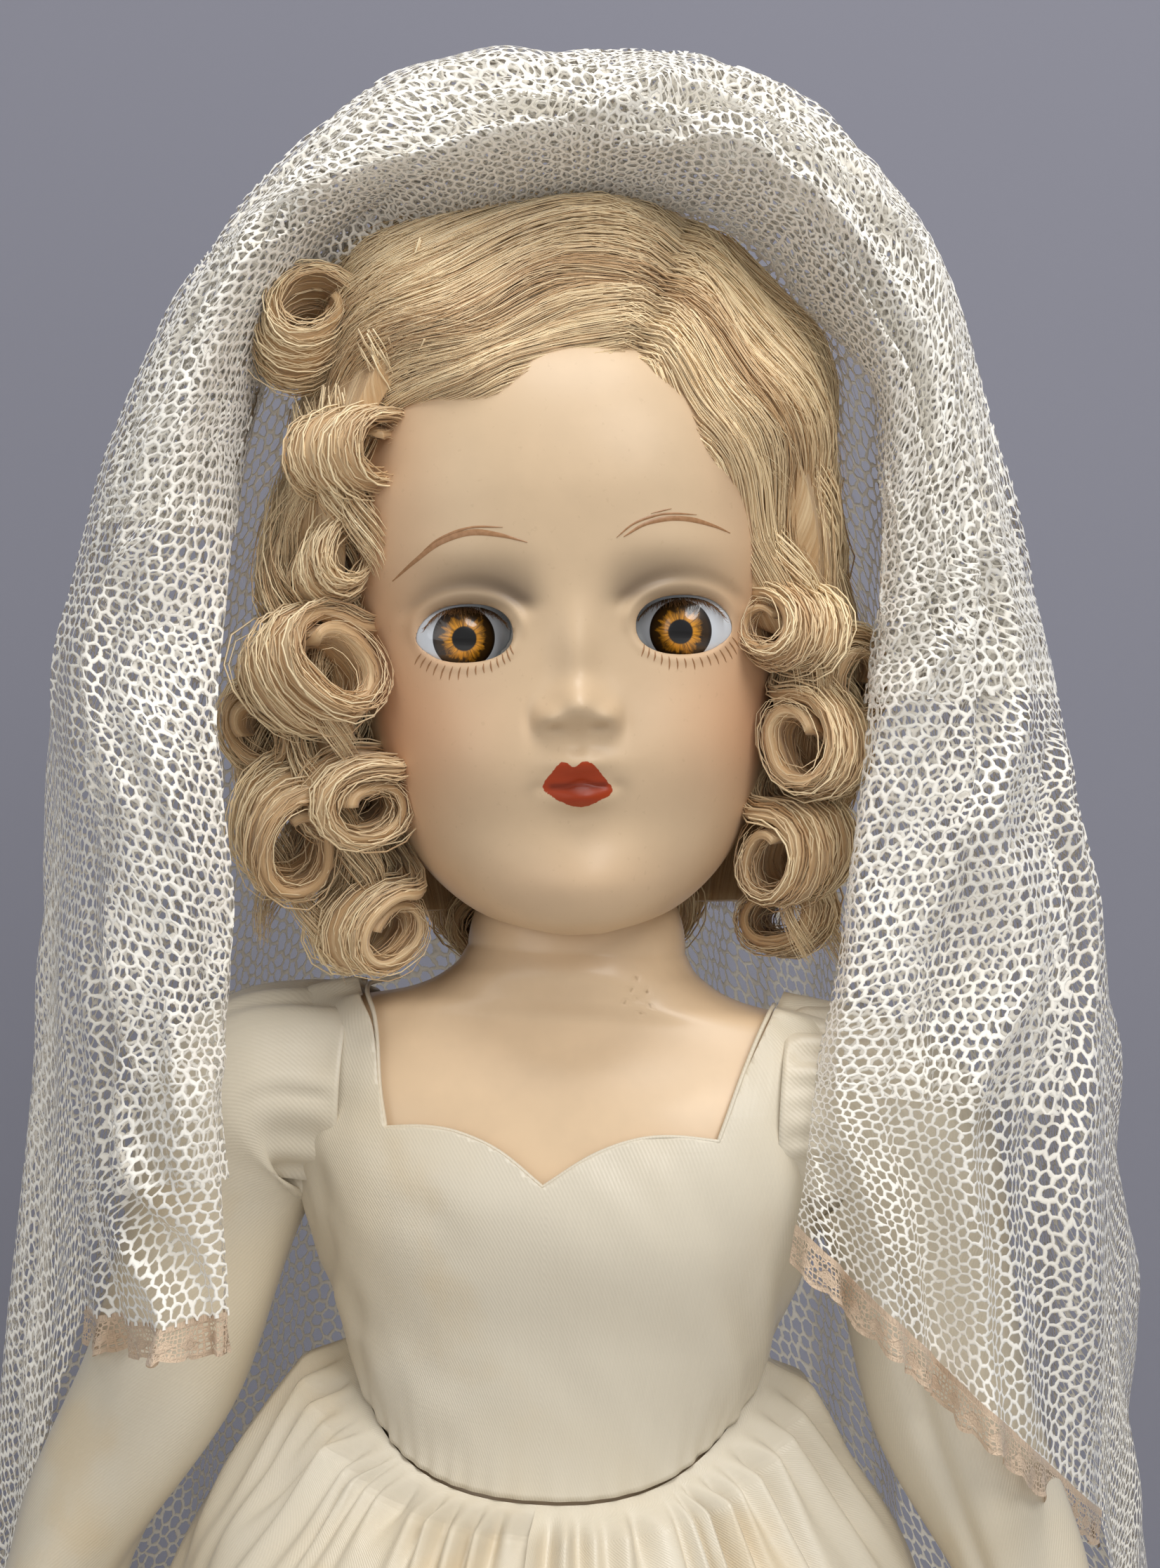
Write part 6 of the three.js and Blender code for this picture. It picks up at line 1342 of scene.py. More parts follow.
CURLS = [
    # middle, radius, length, first angle, turns, way of winding, where the roll's end looks, root
    ((-43.0, -14, 511.0), 9.4, 17, 40, 1.0, 1, (0.15, -0.9, 0.5), (-20, -24, 526)),
    ((-35.5, -24, 489.6), 8.9, 17, 65, 1.1, 1, (0.7, -0.75, 0.1), (-20, -30, 507)),
    ((-43.3, -19, 453.3), 11.4, 20, 60, 1.2, 1, (0.5, -0.85, 0.2), (-38, -16, 486)),
    ((-48.5, -12, 427.4), 10.4, 19, 80, 1.1, 1, (0.3, -0.9, -0.35), (-47, -6, 458)),
    ((-35.2, -11, 410.4), 9.0, 17, 80, 1.25, 1, (0.5, -0.85, -0.15), (-40, -4, 434)),
    ((37.0, -24, 458.3), 8.2, 16, 100, 1.1, -1, (-0.7, -0.7, 0.1), (38, -17, 484)),
    ((40.6, -19, 438.8), 9.2, 18, 100, 1.2, -1, (-0.55, -0.8, 0.1), (44, -12, 466)),
    ((36.4, -14, 420.2), 9.0, 18, 90, 1.1, -1, (-0.65, -0.75, -0.1), (43, -8, 448)),
    ((36.5, 2, 409.6), 8.6, 19, 90, 1.1, -1, (-0.4, -0.9, 0.1), (44, 6, 436)),
    ((-16.8, 51.7, 411.9), 8.8, 30, 90, 1.4, 1, (-0.2, 0.95, 0.2), None),
    ((18, 51.7, 411.9), 8.8, 30, 90, 1.4, 1, (0.2, 0.95, 0.2), None),
    ((-39.0, -19, 471.5), 7.6, 15, 50, 1.2, 1, (0.4, -0.9, 0.2), (-32, -20, 496)),
    ((-37.0, -17, 432.0), 9.6, 17, 75, 1.3, 1, (0.35, -0.9, -0.1), (-36, -12, 456)),
    ((-50.0, -4, 444.0), 9.6, 18, 80, 1.3, 1, (-0.4, -0.9, 0.0), (-47, 2, 472)),
    ((46.0, -8, 450.0), 8.4, 17, 90, 1.3, -1, (0.4, -0.9, 0.0), (46, 0, 476)),
]
WALL = 0.33


def rolled(curl, depth, across, t, seed):
    """Places in a rolled lock: it comes down from its root and winds in on itself. depth is a share of the wall's
    thickness in from outside, across is where it lies along the roll, and t runs from root to tip."""
    middle, radius, long, first, turns, way, face, root = curl
    axis = unit(np.array(face, float))
    right = unit(np.cross(-axis, (0, 0, 1.0)))
    up = np.cross(right, -axis)
    wall = WALL * radius
    lead = 0.0 if root is None else 0.28
    wind = np.clip((t - lead) / (1 - lead), 0, 1)
    barrel = 1 - 0.13 * across**2 + 0.035 * np.cos(8.5 * across + seed)
    barrel = barrel + 0.03 * np.sin(5 * across + 3 * wind + 2 * seed)

    def place(angle, wind):
        flare = barrel * (1 + 0.1 * np.sin(2 * angle + seed) + 0.07 * across * np.sin(angle + 2 * seed))
        reach = radius * flare - wall * turns * wind - depth * wall * (1 - 0.4 * across**2)
        back = across * long * 0.5 * (1 - 0.2 * wind) + 1.1 * np.sin(angle * 0.6 + seed) + 1.4 * wind
        point = np.array(middle) + right * (reach * np.cos(angle))[..., None]
        return point + up * (reach * np.sin(angle))[..., None] + axis * back[..., None]

    start = np.radians(first)
    point = place(start + way * 2 * pi * turns * wind, wind)
    if root is None:
        return point
    s = np.clip(t / lead, 0, 1)[..., None]
    begin = place(start + 0 * t, 0 * t)
    spread = np.asarray(root) + stack(across * long * 0.22 + 0 * t, across * long * 0.3 + 0 * t, 0 * t)
    spread = spread - depth[..., None] * (0, -2, 1.5)
    knee = begin - way * (up * np.cos(start) - right * np.sin(start)) * radius * 1.2
    return np.where(t[..., None] < lead, spread * (1 - s) ** 2 + knee * 2 * s * (1 - s) + begin * s**2, point)


LOCKS_LEFT = [
    # top, bottom, swing, waves, phase, girth
    ((-30, -26, 508), (-35, -24, 468), 3.6, 1.2, 0.1, 4.4), ((-36, -20, 500), (-40, -20, 440), 4.4, 1.6, 0.5, 4.6),
    ((-42, -12, 498), (-49, -12, 446), 4.0, 1.5, 0.0, 4.8), ((-46, -6, 486), (-53, -8, 420), 4.4, 1.8, 0.4, 4.6),
    ((-40, -14, 478), (-43, -15, 416), 4.6, 1.7, 0.75, 4.6), ((-46, 0, 470), (-50, -2, 410), 4.2, 1.6, 0.2, 5.0),
    ((-38, -12, 462), (-38, -12, 406), 3.8, 1.5, 0.0, 4.4), ((-47, -10, 462), (-44, -8, 404), 4.2, 1.6, 0.6, 4.4),
]
LOCKS_RIGHT = [
    ((34, -24, 492), (38, -22, 444), 3.4, 1.4, 0.3, 4.2), ((40, -16, 492), (43, -16, 424), 3.8, 1.8, 0.8, 4.4),
    ((44, -8, 484), (45, -10, 414), 3.8, 1.8, 0.1, 4.6), ((40, -12, 462), (39, -10, 404), 3.6, 1.5, 0.5, 4.4),
    ((46, 2, 474), (44, 2, 402), 3.8, 1.7, 0.4, 4.8),
]


def ringlet(lock, rng):
    """A hanging lock: a bundle that swings in a wave as it falls, twists on itself and thins to its tip."""
    top, bottom, swing, waves, phase, girth = lock
    count = 80
    s = np.linspace(0, 1, 18)[None]
    beat = 2 * pi * (waves * s + phase)
    grow = smooth(s, 0, 0.3)
    centre = mix(np.array(top, float), np.array(bottom, float), s[..., None])
    centre = centre + stack(swing * np.sin(beat) * grow, -0.8 * swing * np.cos(beat) * grow, 0 * s)
    reach = girth * rng.uniform(0, 1, (count, 1)) ** 0.5 * (0.8 + 0.25 * np.sin(2 * beat + 1)) * (1 - 0.65 * s**3)
    angle = rng.uniform(0, 2 * pi, (count, 1)) + 5.0 * s
    late = rng.uniform(-2.5, 2.5, (count, 1))
    path = centre + stack(reach * np.cos(angle), reach * np.sin(angle), late + 0 * s)
    tone = 0.6 + 0.3 * wander(angle * 1.2, 0 * s, 195)[:, :1] + rng.normal(0, 0.2, (count, 1))
    return path, 1.3, tone


def make_wig():
    """The wig: a buckram cap, a combed crown over it in two sweeps from a side part, a curtain behind and beside
    the face, and rolled curls, each of them a shell of locks with drawn strands lying on it, and loose hairs."""
    rng = np.random.default_rng(77)
    over, _, _ = skull(CAP_LINE, lambda turn, share, rise: 2.8 + 0 * share * turn, 0.15, 40, 120)
    cap = grid("wig_cap_buckram", seated(over), closed=True, ends=("high",))
    thick(cap, 0.8, -1)
    dress(cap, buckram, "head", ("wig_cap",))

    def out(turn, share, rise):
        beside = bell((np.abs(turn) / pi - 0.42) / 0.13, 0, 1)
        locks = 1.2 * wander(turn * 9, share * 3, 140) + 0.6 * wander(turn * 30, share * 5, 141)
        waves = 1.1 * np.cos(share * 24 + 2 * wander(turn * 3, 0, 142)) * smooth(share, 0.8, 0.5)
        front = smooth(np.abs(turn), 1.6, 1.0)
        full = mix(6.8 - 2.2 * beside, 3.4, front)
        return 2.8 + (full + locks + waves) * smooth(rise, -0.02, 0.16)

    over, turn, rise = skull(HAIR_LINE, out, 0.5, 80, 150)
    # The shell under the hair behind is set dark: painted shade between the strands.
    tone = 0.28 + 0.22 * wander(turn * 30, rise * 3, 143)
    back = grid("shell", over, round_uv(over), closed=True, ends=("high",), tone=tone)
    shells = [back]
    for left in (True, False):
        t = np.linspace(0, 1.0, 96)[:, None]
        w = np.linspace(-0.05, 1, 150)[None]
        points = swept(t, w, left, -0.7)
        uv = cloth_uv(points, (1, 1))
        # The shells under the combed strands are set dark: painted shade between the strands.
        tone = 0.3 + 0.2 * wander(w * 60, t * 3, 150)
        shell = grid("shell", points, uv, flip=not left, tone=tone + 0 * t)
        thick(shell, 1.4, -1)
        shells.append(shell)
    thick(shells[0], 1.6, -1)
    base = merged("hair_crown_base", shells)
    move_points(base, seated(points_of(base)))
    dress(base, mohair, "head", ("hair_crown",))
    thin = sizes().strand_radius / MM

    def strands_on(name, path, size=1.0, tone=None, body="head", frizz=0.35):
        count, steps = path.shape[:2]
        s = np.linspace(0, 1, steps)[None]
        loose = np.cumsum(rng.normal(0, 1, (count, steps, 3)), 1) / steps**0.5 * frizz
        taper = thin * size * rng.uniform(0.7, 1.25, (count, 1)) * (1 - 0.75 * s**3)
        tone = rng.normal(0.55, 0.26, (count, 1)) if tone is None else tone
        return strands(name, seated(path + loose), taper * np.ones((1, steps)), 3, (0.2, -1.0, 0.3),
                       tone=np.clip(tone, -0.2, 1.3) + 0 * s)

    for name, left, count in (("left", True, 1650), ("right", False, 1100)):
        w = rng.uniform(0, 1, (count, 1)) ** 1.35 - 0.01
        tone = 0.58 + 0.34 * wander(w * 12, 0 * w, 190) + rng.normal(0, 0.2, (count, 1))
        start, end = rng.uniform(-0.05, 0.12, (count, 1)), rng.uniform(0.75, 1.12, (count, 1))
        t = mix(start, end, np.linspace(0, 1, 15)[None])
        lift = rng.uniform(-0.3, 0.75, (count, 1))
        w = w + 0.012 * wander(t * 4, w * 31, 160) + 0 * t
        path = swept(t, w, left, lift + 0 * t)
        dress(strands_on("hair_strands_" + name, path, 1.15, tone), mohair, "head")
    count = 1000
    turn = rng.uniform(1.12, 2 * pi - 1.12, (count, 1))
    s = np.linspace(0, 1, 14)[None]
    low = reading(HAIR_LINE, np.abs(wrapped(turn)) / pi)[..., 0]
    share = mix(rng.uniform(0.55, 0.97, (count, 1)), low - 0.01, s)
    turn = turn + 0.05 * np.sin(share * 24 + turn * 3) * smooth(share, 0.8, 0.4)
    rise = (share - low) / (1 - low)
    path = hair_point(turn, share, out(wrapped(turn), share, rise) + rng.uniform(-0.2, 1.1, (count, 1)), 0.5)
    dress(strands_on("hair_strands_behind", path), mohair, "head")
    for i, curl in enumerate(CURLS):
        t = np.linspace(0.0 if curl[7] is None else 0.03, 1, 64)[:, None]
        across = np.linspace(-0.94, 0.94, 18)[None]
        layers = []
        for depth in (0.16, 0.84):
            ridges = 0.1 * wander(across * 7, t * 2, 170 + i)
            shape = rolled(curl, depth + ridges, across + 0 * t, t + 0 * across, i * 1.7)
            layers.append(shape)
        ring = np.concatenate([layers[0], layers[1][:, ::-1]], 1)
        # Each curl's shell is set dark: painted shade inside the roll and between its hairs.
        tone = 0.22 + 0.2 * wander(np.arange(36)[None] * 0.6, t * 3, 180 + i)
        shell = grid("shell", ring, round_uv(ring), closed=True, ends=("low", "high"), tone=tone)
        flip_if_inside_out(shell)
        move_points(shell, seated(points_of(shell)))
        count = 150
        across = rng.uniform(-1, 1, (count, 1))
        across = np.sign(across) * np.abs(across) ** 0.8
        depth = rng.uniform(0, 1, (count, 1)) ** 1.7
        stray = rng.uniform(0, 1, (count, 1)) < 0.07
        depth = depth - stray * rng.uniform(0.2, 0.7, (count, 1))
        t = mix(rng.uniform(0, 0.1, (count, 1)), rng.uniform(0.82, 1.0, (count, 1)), np.linspace(0, 1, 21)[None])
        ridges = 0.1 * wander(across * 7, t * 2, 170 + i)
        sway = 0.12 * wander(t * 3 + i, across * 6, 5)
        path = rolled(curl, depth + ridges - 0.03, across + sway, t, i * 1.7)
        # Hairs deeper in a curl's wall are painted darker: painted shade.
        tone = 0.62 + 0.4 * wander(across * 5 + i, depth * 3, 9) + rng.normal(0, 0.17, (count, 1)) - 0.25 * depth
        hairs = strands_on("hairs", path, 1.6, tone, frizz=0.9)
        number = i + 1
        name = f"curl_{number}_rolled" if number < 12 else f"curl_between_{number - 11}"
        piece = merged(name, [shell, hairs])
        dress(piece, mohair, "head", (f"curl_{number}",) if number < 12 else ())
    for name, locks in (("left", LOCKS_LEFT), ("right", LOCKS_RIGHT)):
        hairs = [strands_on("hairs", *ringlet(lock, rng)) for lock in locks]
        dress(merged("hair_locks_" + name, hairs), mohair, "head")
    count = 160
    t = np.linspace(0, 1, 12)[None]
    w, start = rng.uniform(0, 0.9, (count, 1)), rng.uniform(0.1, 0.8, (count, 1))
    path = swept(start + 0.22 * t, w + 0 * t, True, 0.8 + rng.uniform(1, 7, (count, 1)) * t**1.6)
    path = path + rng.normal(0, 1.6, (count, 1, 3)) * (t**1.5)[..., None]
    other = swept(start + 0.2 * t, w + 0 * t, False, 0.8 + rng.uniform(1, 6, (count, 1)) * t**1.6)
    other = other + rng.normal(0, 1.4, (count, 1, 3)) * (t**1.5)[..., None]
    dress(strands_on("loose_hairs", np.concatenate([path, other]), 0.42, frizz=0.8), mohair, "head")


# The veil

VEIL_SHARES = [
    (-0.63, 0.02, -0.9, 0.0), (-0.65, 0.18, -0.93, 0.17), (-0.63, 0.3, -0.94, 0.33), (-0.66, 0.48, -0.96, 0.52),
    (-0.62, 0.69, -0.86, 0.68), (-0.45, 0.84, -0.68, 0.84), (-0.2, 0.89, -0.35, 0.98), (0.03, 0.905, 0.0, 1),
    (0.25, 0.89, 0.27, 0.99), (0.41, 0.84, 0.47, 0.94), (0.52, 0.73, 0.66, 0.85), (0.54, 0.59, 0.8, 0.65),
    (0.52, 0.48, 0.9, 0.49), (0.48, 0.33, 0.96, 0.37), (0.43, 0.2, 1.0, 0.18), (0.39, 0.08, 0.98, -0.16),
]
VEIL_ROWS = [(i / 15, *row) for i, row in enumerate(VEIL_SHARES)]
PUFF_ROWS = [(0, -0.02, 0.1), (0.15, 0.1, 0.75), (0.35, 0.4, 1), (0.6, 0.78, 0.75), (0.8, 0.97, 0.3), (1, 1, 0)]
VEIL_LOW, VEIL_FALL, VEIL_HALF = 341.0, 221.0, 95.0


def veil_point(s, v, seed=0, back=0.0):
    """The veil's framing part: s runs along the arch and v across it, between two outlines, with a puff forward.

    Folds run along the arch and drift across it; small ripples ride on them. Its inner edge tucks into the hair."""
    s, v = np.broadcast_arrays(np.asarray(s, float), np.asarray(v, float))
    inner_x, inner_z, outer_x, outer_z = np.moveaxis(reading(VEIL_ROWS, s), -1, 0)
    out, ahead = np.moveaxis(reading(PUFF_ROWS, v), -1, 0)
    hump = np.sin(pi * v)
    drift = 1.3 * wander(s * 7, v * 1.5, 40 + seed) + 0.5 * wander(s * 19, v * 2, 50 + seed)
    folds = 4.0 * np.cos(2 * pi * (2.4 * v + drift)) + 1.9 * np.cos(2 * pi * (5.2 * v + 1.7 * drift + 0.3))
    ripple = 1.2 * wander(s * 46 + 3 * v, v * 7, 60 + seed) + 0.7 * wander(s * 90, v * 12, 70 + seed)
    lift = hump**0.7 * (folds + ripple)
    edge = 1.5 * wander(s * 26, 0.5, 80 + seed) + 0.8 * wander(s * 60, 2.5, 81 + seed)
    x = mix(inner_x, outer_x, out) * VEIL_HALF
    z = VEIL_LOW + mix(inner_z, outer_z, out) * VEIL_FALL
    way = unit(np.stack([(outer_x - inner_x) * VEIL_HALF, (outer_z - inner_z) * VEIL_FALL], -1))
    slide = edge * (0.35 + 0.65 * v) * (v > 0.02) + 0.35 * lift - 6.0 * hump**0.6
    x, z = x + way[..., 0] * slide, z + way[..., 1] * slide
    behind = 26 * bell(s, 0.3, 0.07) * smooth(v, 0.55, 0.1)
    y = mix(-25.0, 13.0, v**3) - ahead * 11 - lift + back * (1 - v**2) + behind
    crown = (z - EYE[2]) / (562.0 - EYE[2])
    tuck = np.maximum(1 - v / 0.15, 0) * smooth(crown, 0.35, 0.65)
    return mix(stack(x, y, z), stack(x * 0.86, -10, mix(z, EYE[2], 0.1)), tuck[..., None])


def veil_back_point(c, r):
    """The veil behind: from its seam with the framing part down to the hem, along a curve that bows backwards,
    in upright folds that deepen downwards."""
    c, r = np.broadcast_arrays(np.asarray(c, float), np.asarray(r, float))
    start = veil_point(c, np.ones_like(c)) + (0, 0.8, 0)
    swing = pi * c
    back = np.sin(swing)
    hem = stack(-122 * np.cos(swing), mix(32.0, 122.0, back), 150)
    bow = np.stack([mix(start[..., 0], hem[..., 0], 0.55), mix(start[..., 1], hem[..., 1], mix(0.5, 0.8, back)),
                    mix(start[..., 2], hem[..., 2], mix(0.5, 0.1, back))], -1)
    r3 = r[..., None]
    point = start * (1 - r3) ** 2 + bow * 2 * r3 * (1 - r3) + hem * r3**2
    drift = 0.5 * wander(c * 9, r * 2, 90)
    fold = 4.8 * r**0.8 * np.cos(2 * pi * (8 * c + drift))
    fold = fold + 2.0 * smooth(r, 0, 0.2) * np.cos(2 * pi * (21 * c + 2 * drift))
    fold = fold + 0.9 * wander(c * 60, r * 14, 91) * smooth(r, 0, 0.1)
    return point + stack(-fold * np.cos(swing), fold * back, 0)


def bobbin_net():
    """Cotton bobbin net: six-sided holes between rounded threads, from the distance to the nearest of two
    interleaved lattices of hole centres; the threads wander and thicken a little."""
    s = sizes()
    f = Finish("bobbin net", Roughness=0.85, Sheen_Weight=0.5, Sheen_Roughness=0.7, Specular_IOR_Level=0.25)
    cloth = f.cloth()
    drift = f.node("TexNoise", {"Vector": cloth, "Scale": 230.0, "Detail": 2.0}, out=1)
    drift = f.vector("SCALE", f.vector("SUBTRACT", drift, (0.5, 0.5, 0.5)), None, None, s.net_pitch * 1.1)
    place = f.vector("SCALE", f.vector("ADD", cloth, drift), None, None, 1 / s.net_pitch)
    place = f.vector("ADD", place, (400.0, 400.0 * 3**0.5, 0))
    cell = (1.0, 3**0.5, 1.0)
    half = tuple(v / 2 for v in cell)
    a = f.vector("SUBTRACT", f.vector("MODULO", place, cell), half)
    b = f.vector("SUBTRACT", f.vector("MODULO", f.vector("ADD", place, half), cell), half)
    nearer = f.math("LESS_THAN", f.vector("LENGTH", flat(f, a), out=1), f.vector("LENGTH", flat(f, b), out=1))
    away = f.vector("ABSOLUTE", f.blend(nearer, b, a))
    reach = f.math("MAXIMUM", f.vector("DOT_PRODUCT", away, (0.5, 0.75**0.5, 0), out=1),
                   f.vector("DOT_PRODUCT", away, (1, 0, 0), out=1))
    edge = f.math("SUBTRACT", 0.5, reach)
    thread = s.net_thread / s.net_pitch / 2
    vary = f.noise(cloth, 900, 2)
    wide = f.math("MULTIPLY", f.ramp(vary, 0.25, 0.75, 0.72, 1.3), thread)
    level = f.math("DIVIDE", edge, wide)
    there = f.ramp(level, 1.12, 0.88)
    round_off = f.math("SUBTRACT", 1.0, f.math("MULTIPLY", level, level))
    c = tuple(colours().net)
    # Each thread is painted darker towards its edges: painted shade on the round threads.
    base = f.blend(f.ramp(level, 1.0, 0.2), tuple(0.8 * v for v in c), c)
    return f.done(Base_Color=base, Alpha=there, Normal=f.bump(round_off, 0.25, strength=0.35))


def flat(f, v):
    """A vector with its third part left out."""
    return f.vector("MULTIPLY", v, (1, 1, 0))


def cotton_lace():
    """Aged cotton lace: a fine ground of small holes, solid leaves in a row and a corded edge on both sides.

    u runs along the strip and v across it, both in metres."""
    f = Finish("cotton lace", Roughness=0.9, Sheen_Weight=0.2, Specular_IOR_Level=0.2)
    cloth = f.cloth()
    split = f.tree.nodes.new("ShaderNodeSeparateXYZ")
    f.plug(split.inputs[0], cloth)
    u, v = split.outputs[0], split.outputs[1]
    holes = f.node("TexVoronoi", {"Vector": cloth, "Scale": 1150.0, "Randomness": 0.45}, feature="DISTANCE_TO_EDGE")
    fine = f.noise(cloth, 2400, 2)
    across = f.math("DIVIDE", v, sizes().lace_width)
    beat = f.math("COSINE", f.math("MULTIPLY", u, 2 * pi / 0.0052))
    leaf = f.math("SUBTRACT", f.math("ADD", f.math("MULTIPLY", beat, 0.5), 0.62),
                  f.math("MULTIPLY", f.math("ABSOLUTE", f.math("SUBTRACT", across, 0.56)), 4.6))
    inner = f.ramp(across, 0.13, 0.06)
    rim = f.ramp(across, 0.8, 0.88)
    solid = f.math("MAXIMUM", f.math("MAXIMUM", inner, rim), f.ramp(leaf, 0.1, 0.3))
    thread = f.ramp(f.math("ADD", holes, f.math("MULTIPLY", fine, 0.1)), 0.25, 0.19)
    there = f.math("MAXIMUM", thread, f.math("MULTIPLY", solid, f.ramp(fine, 0.2, 0.4)))
    c = tuple(colours().lace)
    base = f.blend(f.noise(cloth, 700, 3), tuple(0.78 * x for x in c), tuple(min(1.0, 1.12 * x) for x in c))
    height = f.math("ADD", f.math("MULTIPLY", solid, 0.6), f.math("ADD", fine, thread))
    return f.done(Base_Color=base, Alpha=there, Normal=f.bump(height, 0.25, strength=0.8))


def cloth_uv(points, fullness):
    """Cloth places on an open sheet: the distance walked along its rows and columns, times how full it is cut."""
    across = np.cumsum(np.linalg.norm(np.diff(points, axis=1), axis=-1), 1)
    up = np.cumsum(np.linalg.norm(np.diff(points, axis=0), axis=-1), 0)
    u = np.concatenate([np.zeros((len(points), 1)), across], 1) * fullness[0]
    v = np.concatenate([np.zeros((1, points.shape[1])), up], 0).mean(1, keepdims=True) * fullness[1] + 0 * u
    return np.stack([u, v], -1) * MM


def lace_strip(name, edge, beyond, body="head"):
    """Lace along an edge: it hangs on from the cloth in the edge's own direction, with a scalloped rim and small
    flutes where it is eased on."""
    walked = np.r_[0, np.cumsum(np.linalg.norm(np.diff(edge, axis=0), axis=1))]
    count = int(walked[-1] / 0.55)
    place = np.linspace(0, walked[-1], count)
    line = reading(np.c_[walked, edge], place)
    way = unit(reading(np.c_[walked, unit(edge - beyond)], place))
    normal = unit(np.cross(np.gradient(line, axis=0), way))
    across = np.linspace(-0.1, 1, 12)[:, None]
    width = sizes().lace_width / MM
    scallop = width * (0.86 + 0.14 * np.abs(np.sin(pi * place / 5.2)) ** 0.6)
    flute = 0.7 * np.sin(2 * pi * place / 8.3 + wander(place / 9, 0, 33) * 2) * np.clip(across, 0, 1) ** 1.3
    points = line + way * (across * scallop)[..., None] + normal * (flute - 0.25)[..., None]
    uv = np.stack(np.broadcast_arrays(place[None] * MM, np.clip(across, 0, 1) * width * MM), -1)
    piece = grid(name, points, uv)
    dress(piece, cotton_lace, body, (name.replace("_trim", ""),))
    return piece


def make_veil():
    """The veil: a doubled net round the face, the net behind, and lace along the ends and the back hem."""
    s, v = np.linspace(0, 1, 430)[:, None], np.linspace(0, 1, 76)[None]
    front = veil_point(s, v)
    layers = [grid("layer", seated(front, VEIL_SEAT), cloth_uv(front, (1.05, 1.05)), flip=True)]
    second = veil_point(0.04 + 0.9 * s[::2], 0.66 * v[:, ::2], 7, 4.5)
    layers.append(grid("layer", seated(second, VEIL_SEAT), cloth_uv(second, (1.05, 1.05)) + 0.37, flip=True))
    for number, ahead in ((9, 1.6), (11, 6.0), (13, 8.5)):
        more = veil_point(mix(0.24, 0.8, s[::2]), mix(0.02, 0.92, v[:, ::2]), number, ahead)
        layers.append(grid("layer", seated(more, VEIL_SEAT), cloth_uv(more, (1.05, 1.05)) + number * 0.31, flip=True))
    piece = merged("veil_front_net", layers)
    dress(piece, bobbin_net, "head", ("veil_front",))
    across = np.linspace(0, 1, 90)
    ends = [lace_strip(name + "_trim", seated(veil_point(end, across), VEIL_SEAT),
                       seated(veil_point(inset, across), VEIL_SEAT))
            for name, end, inset in (("veil_lace_right", 0.0, 0.02), ("veil_lace_left", 1.0, 0.98))]
    c, r = np.linspace(0, 1, 420)[None], np.linspace(0, 1, 110)[:, None]
    behind = veil_back_point(c, r)
    piece = grid("veil_back_net", seated(behind, VEIL_SEAT), cloth_uv(behind, (1.05, 1.05)))
    dress(piece, bobbin_net, "head", ("veil_back",))
    round_ = np.linspace(0, 1, 500)
    hem = lace_strip("veil_lace_back_trim", seated(veil_back_point(round_, 1.0), VEIL_SEAT),
                     seated(veil_back_point(round_, 0.98), VEIL_SEAT))


# The stage


def plain_floor():
    """A plain pale floor, faintly mottled."""
    f = Finish("plain floor", Roughness=0.8)
    c = tuple(colours().floor)
    return f.done(Base_Color=f.blend(f.noise(f.near(), 3, 2), tuple(0.97 * v for v in c), c))


def plain_backdrop():
    """A plain blue-grey backdrop, faintly uneven, clear from behind."""
    f = Finish("plain backdrop", Roughness=0.95, Specular_IOR_Level=0.1)
    c = tuple(colours().backdrop)
    shown = f.math("SUBTRACT", 1.0, f.node("NewGeometry", {}, out="Backfacing"))
    return f.done(Base_Color=f.blend(f.noise(f.near(), 5, 3), tuple(0.94 * v for v in c), c), Alpha=shown)


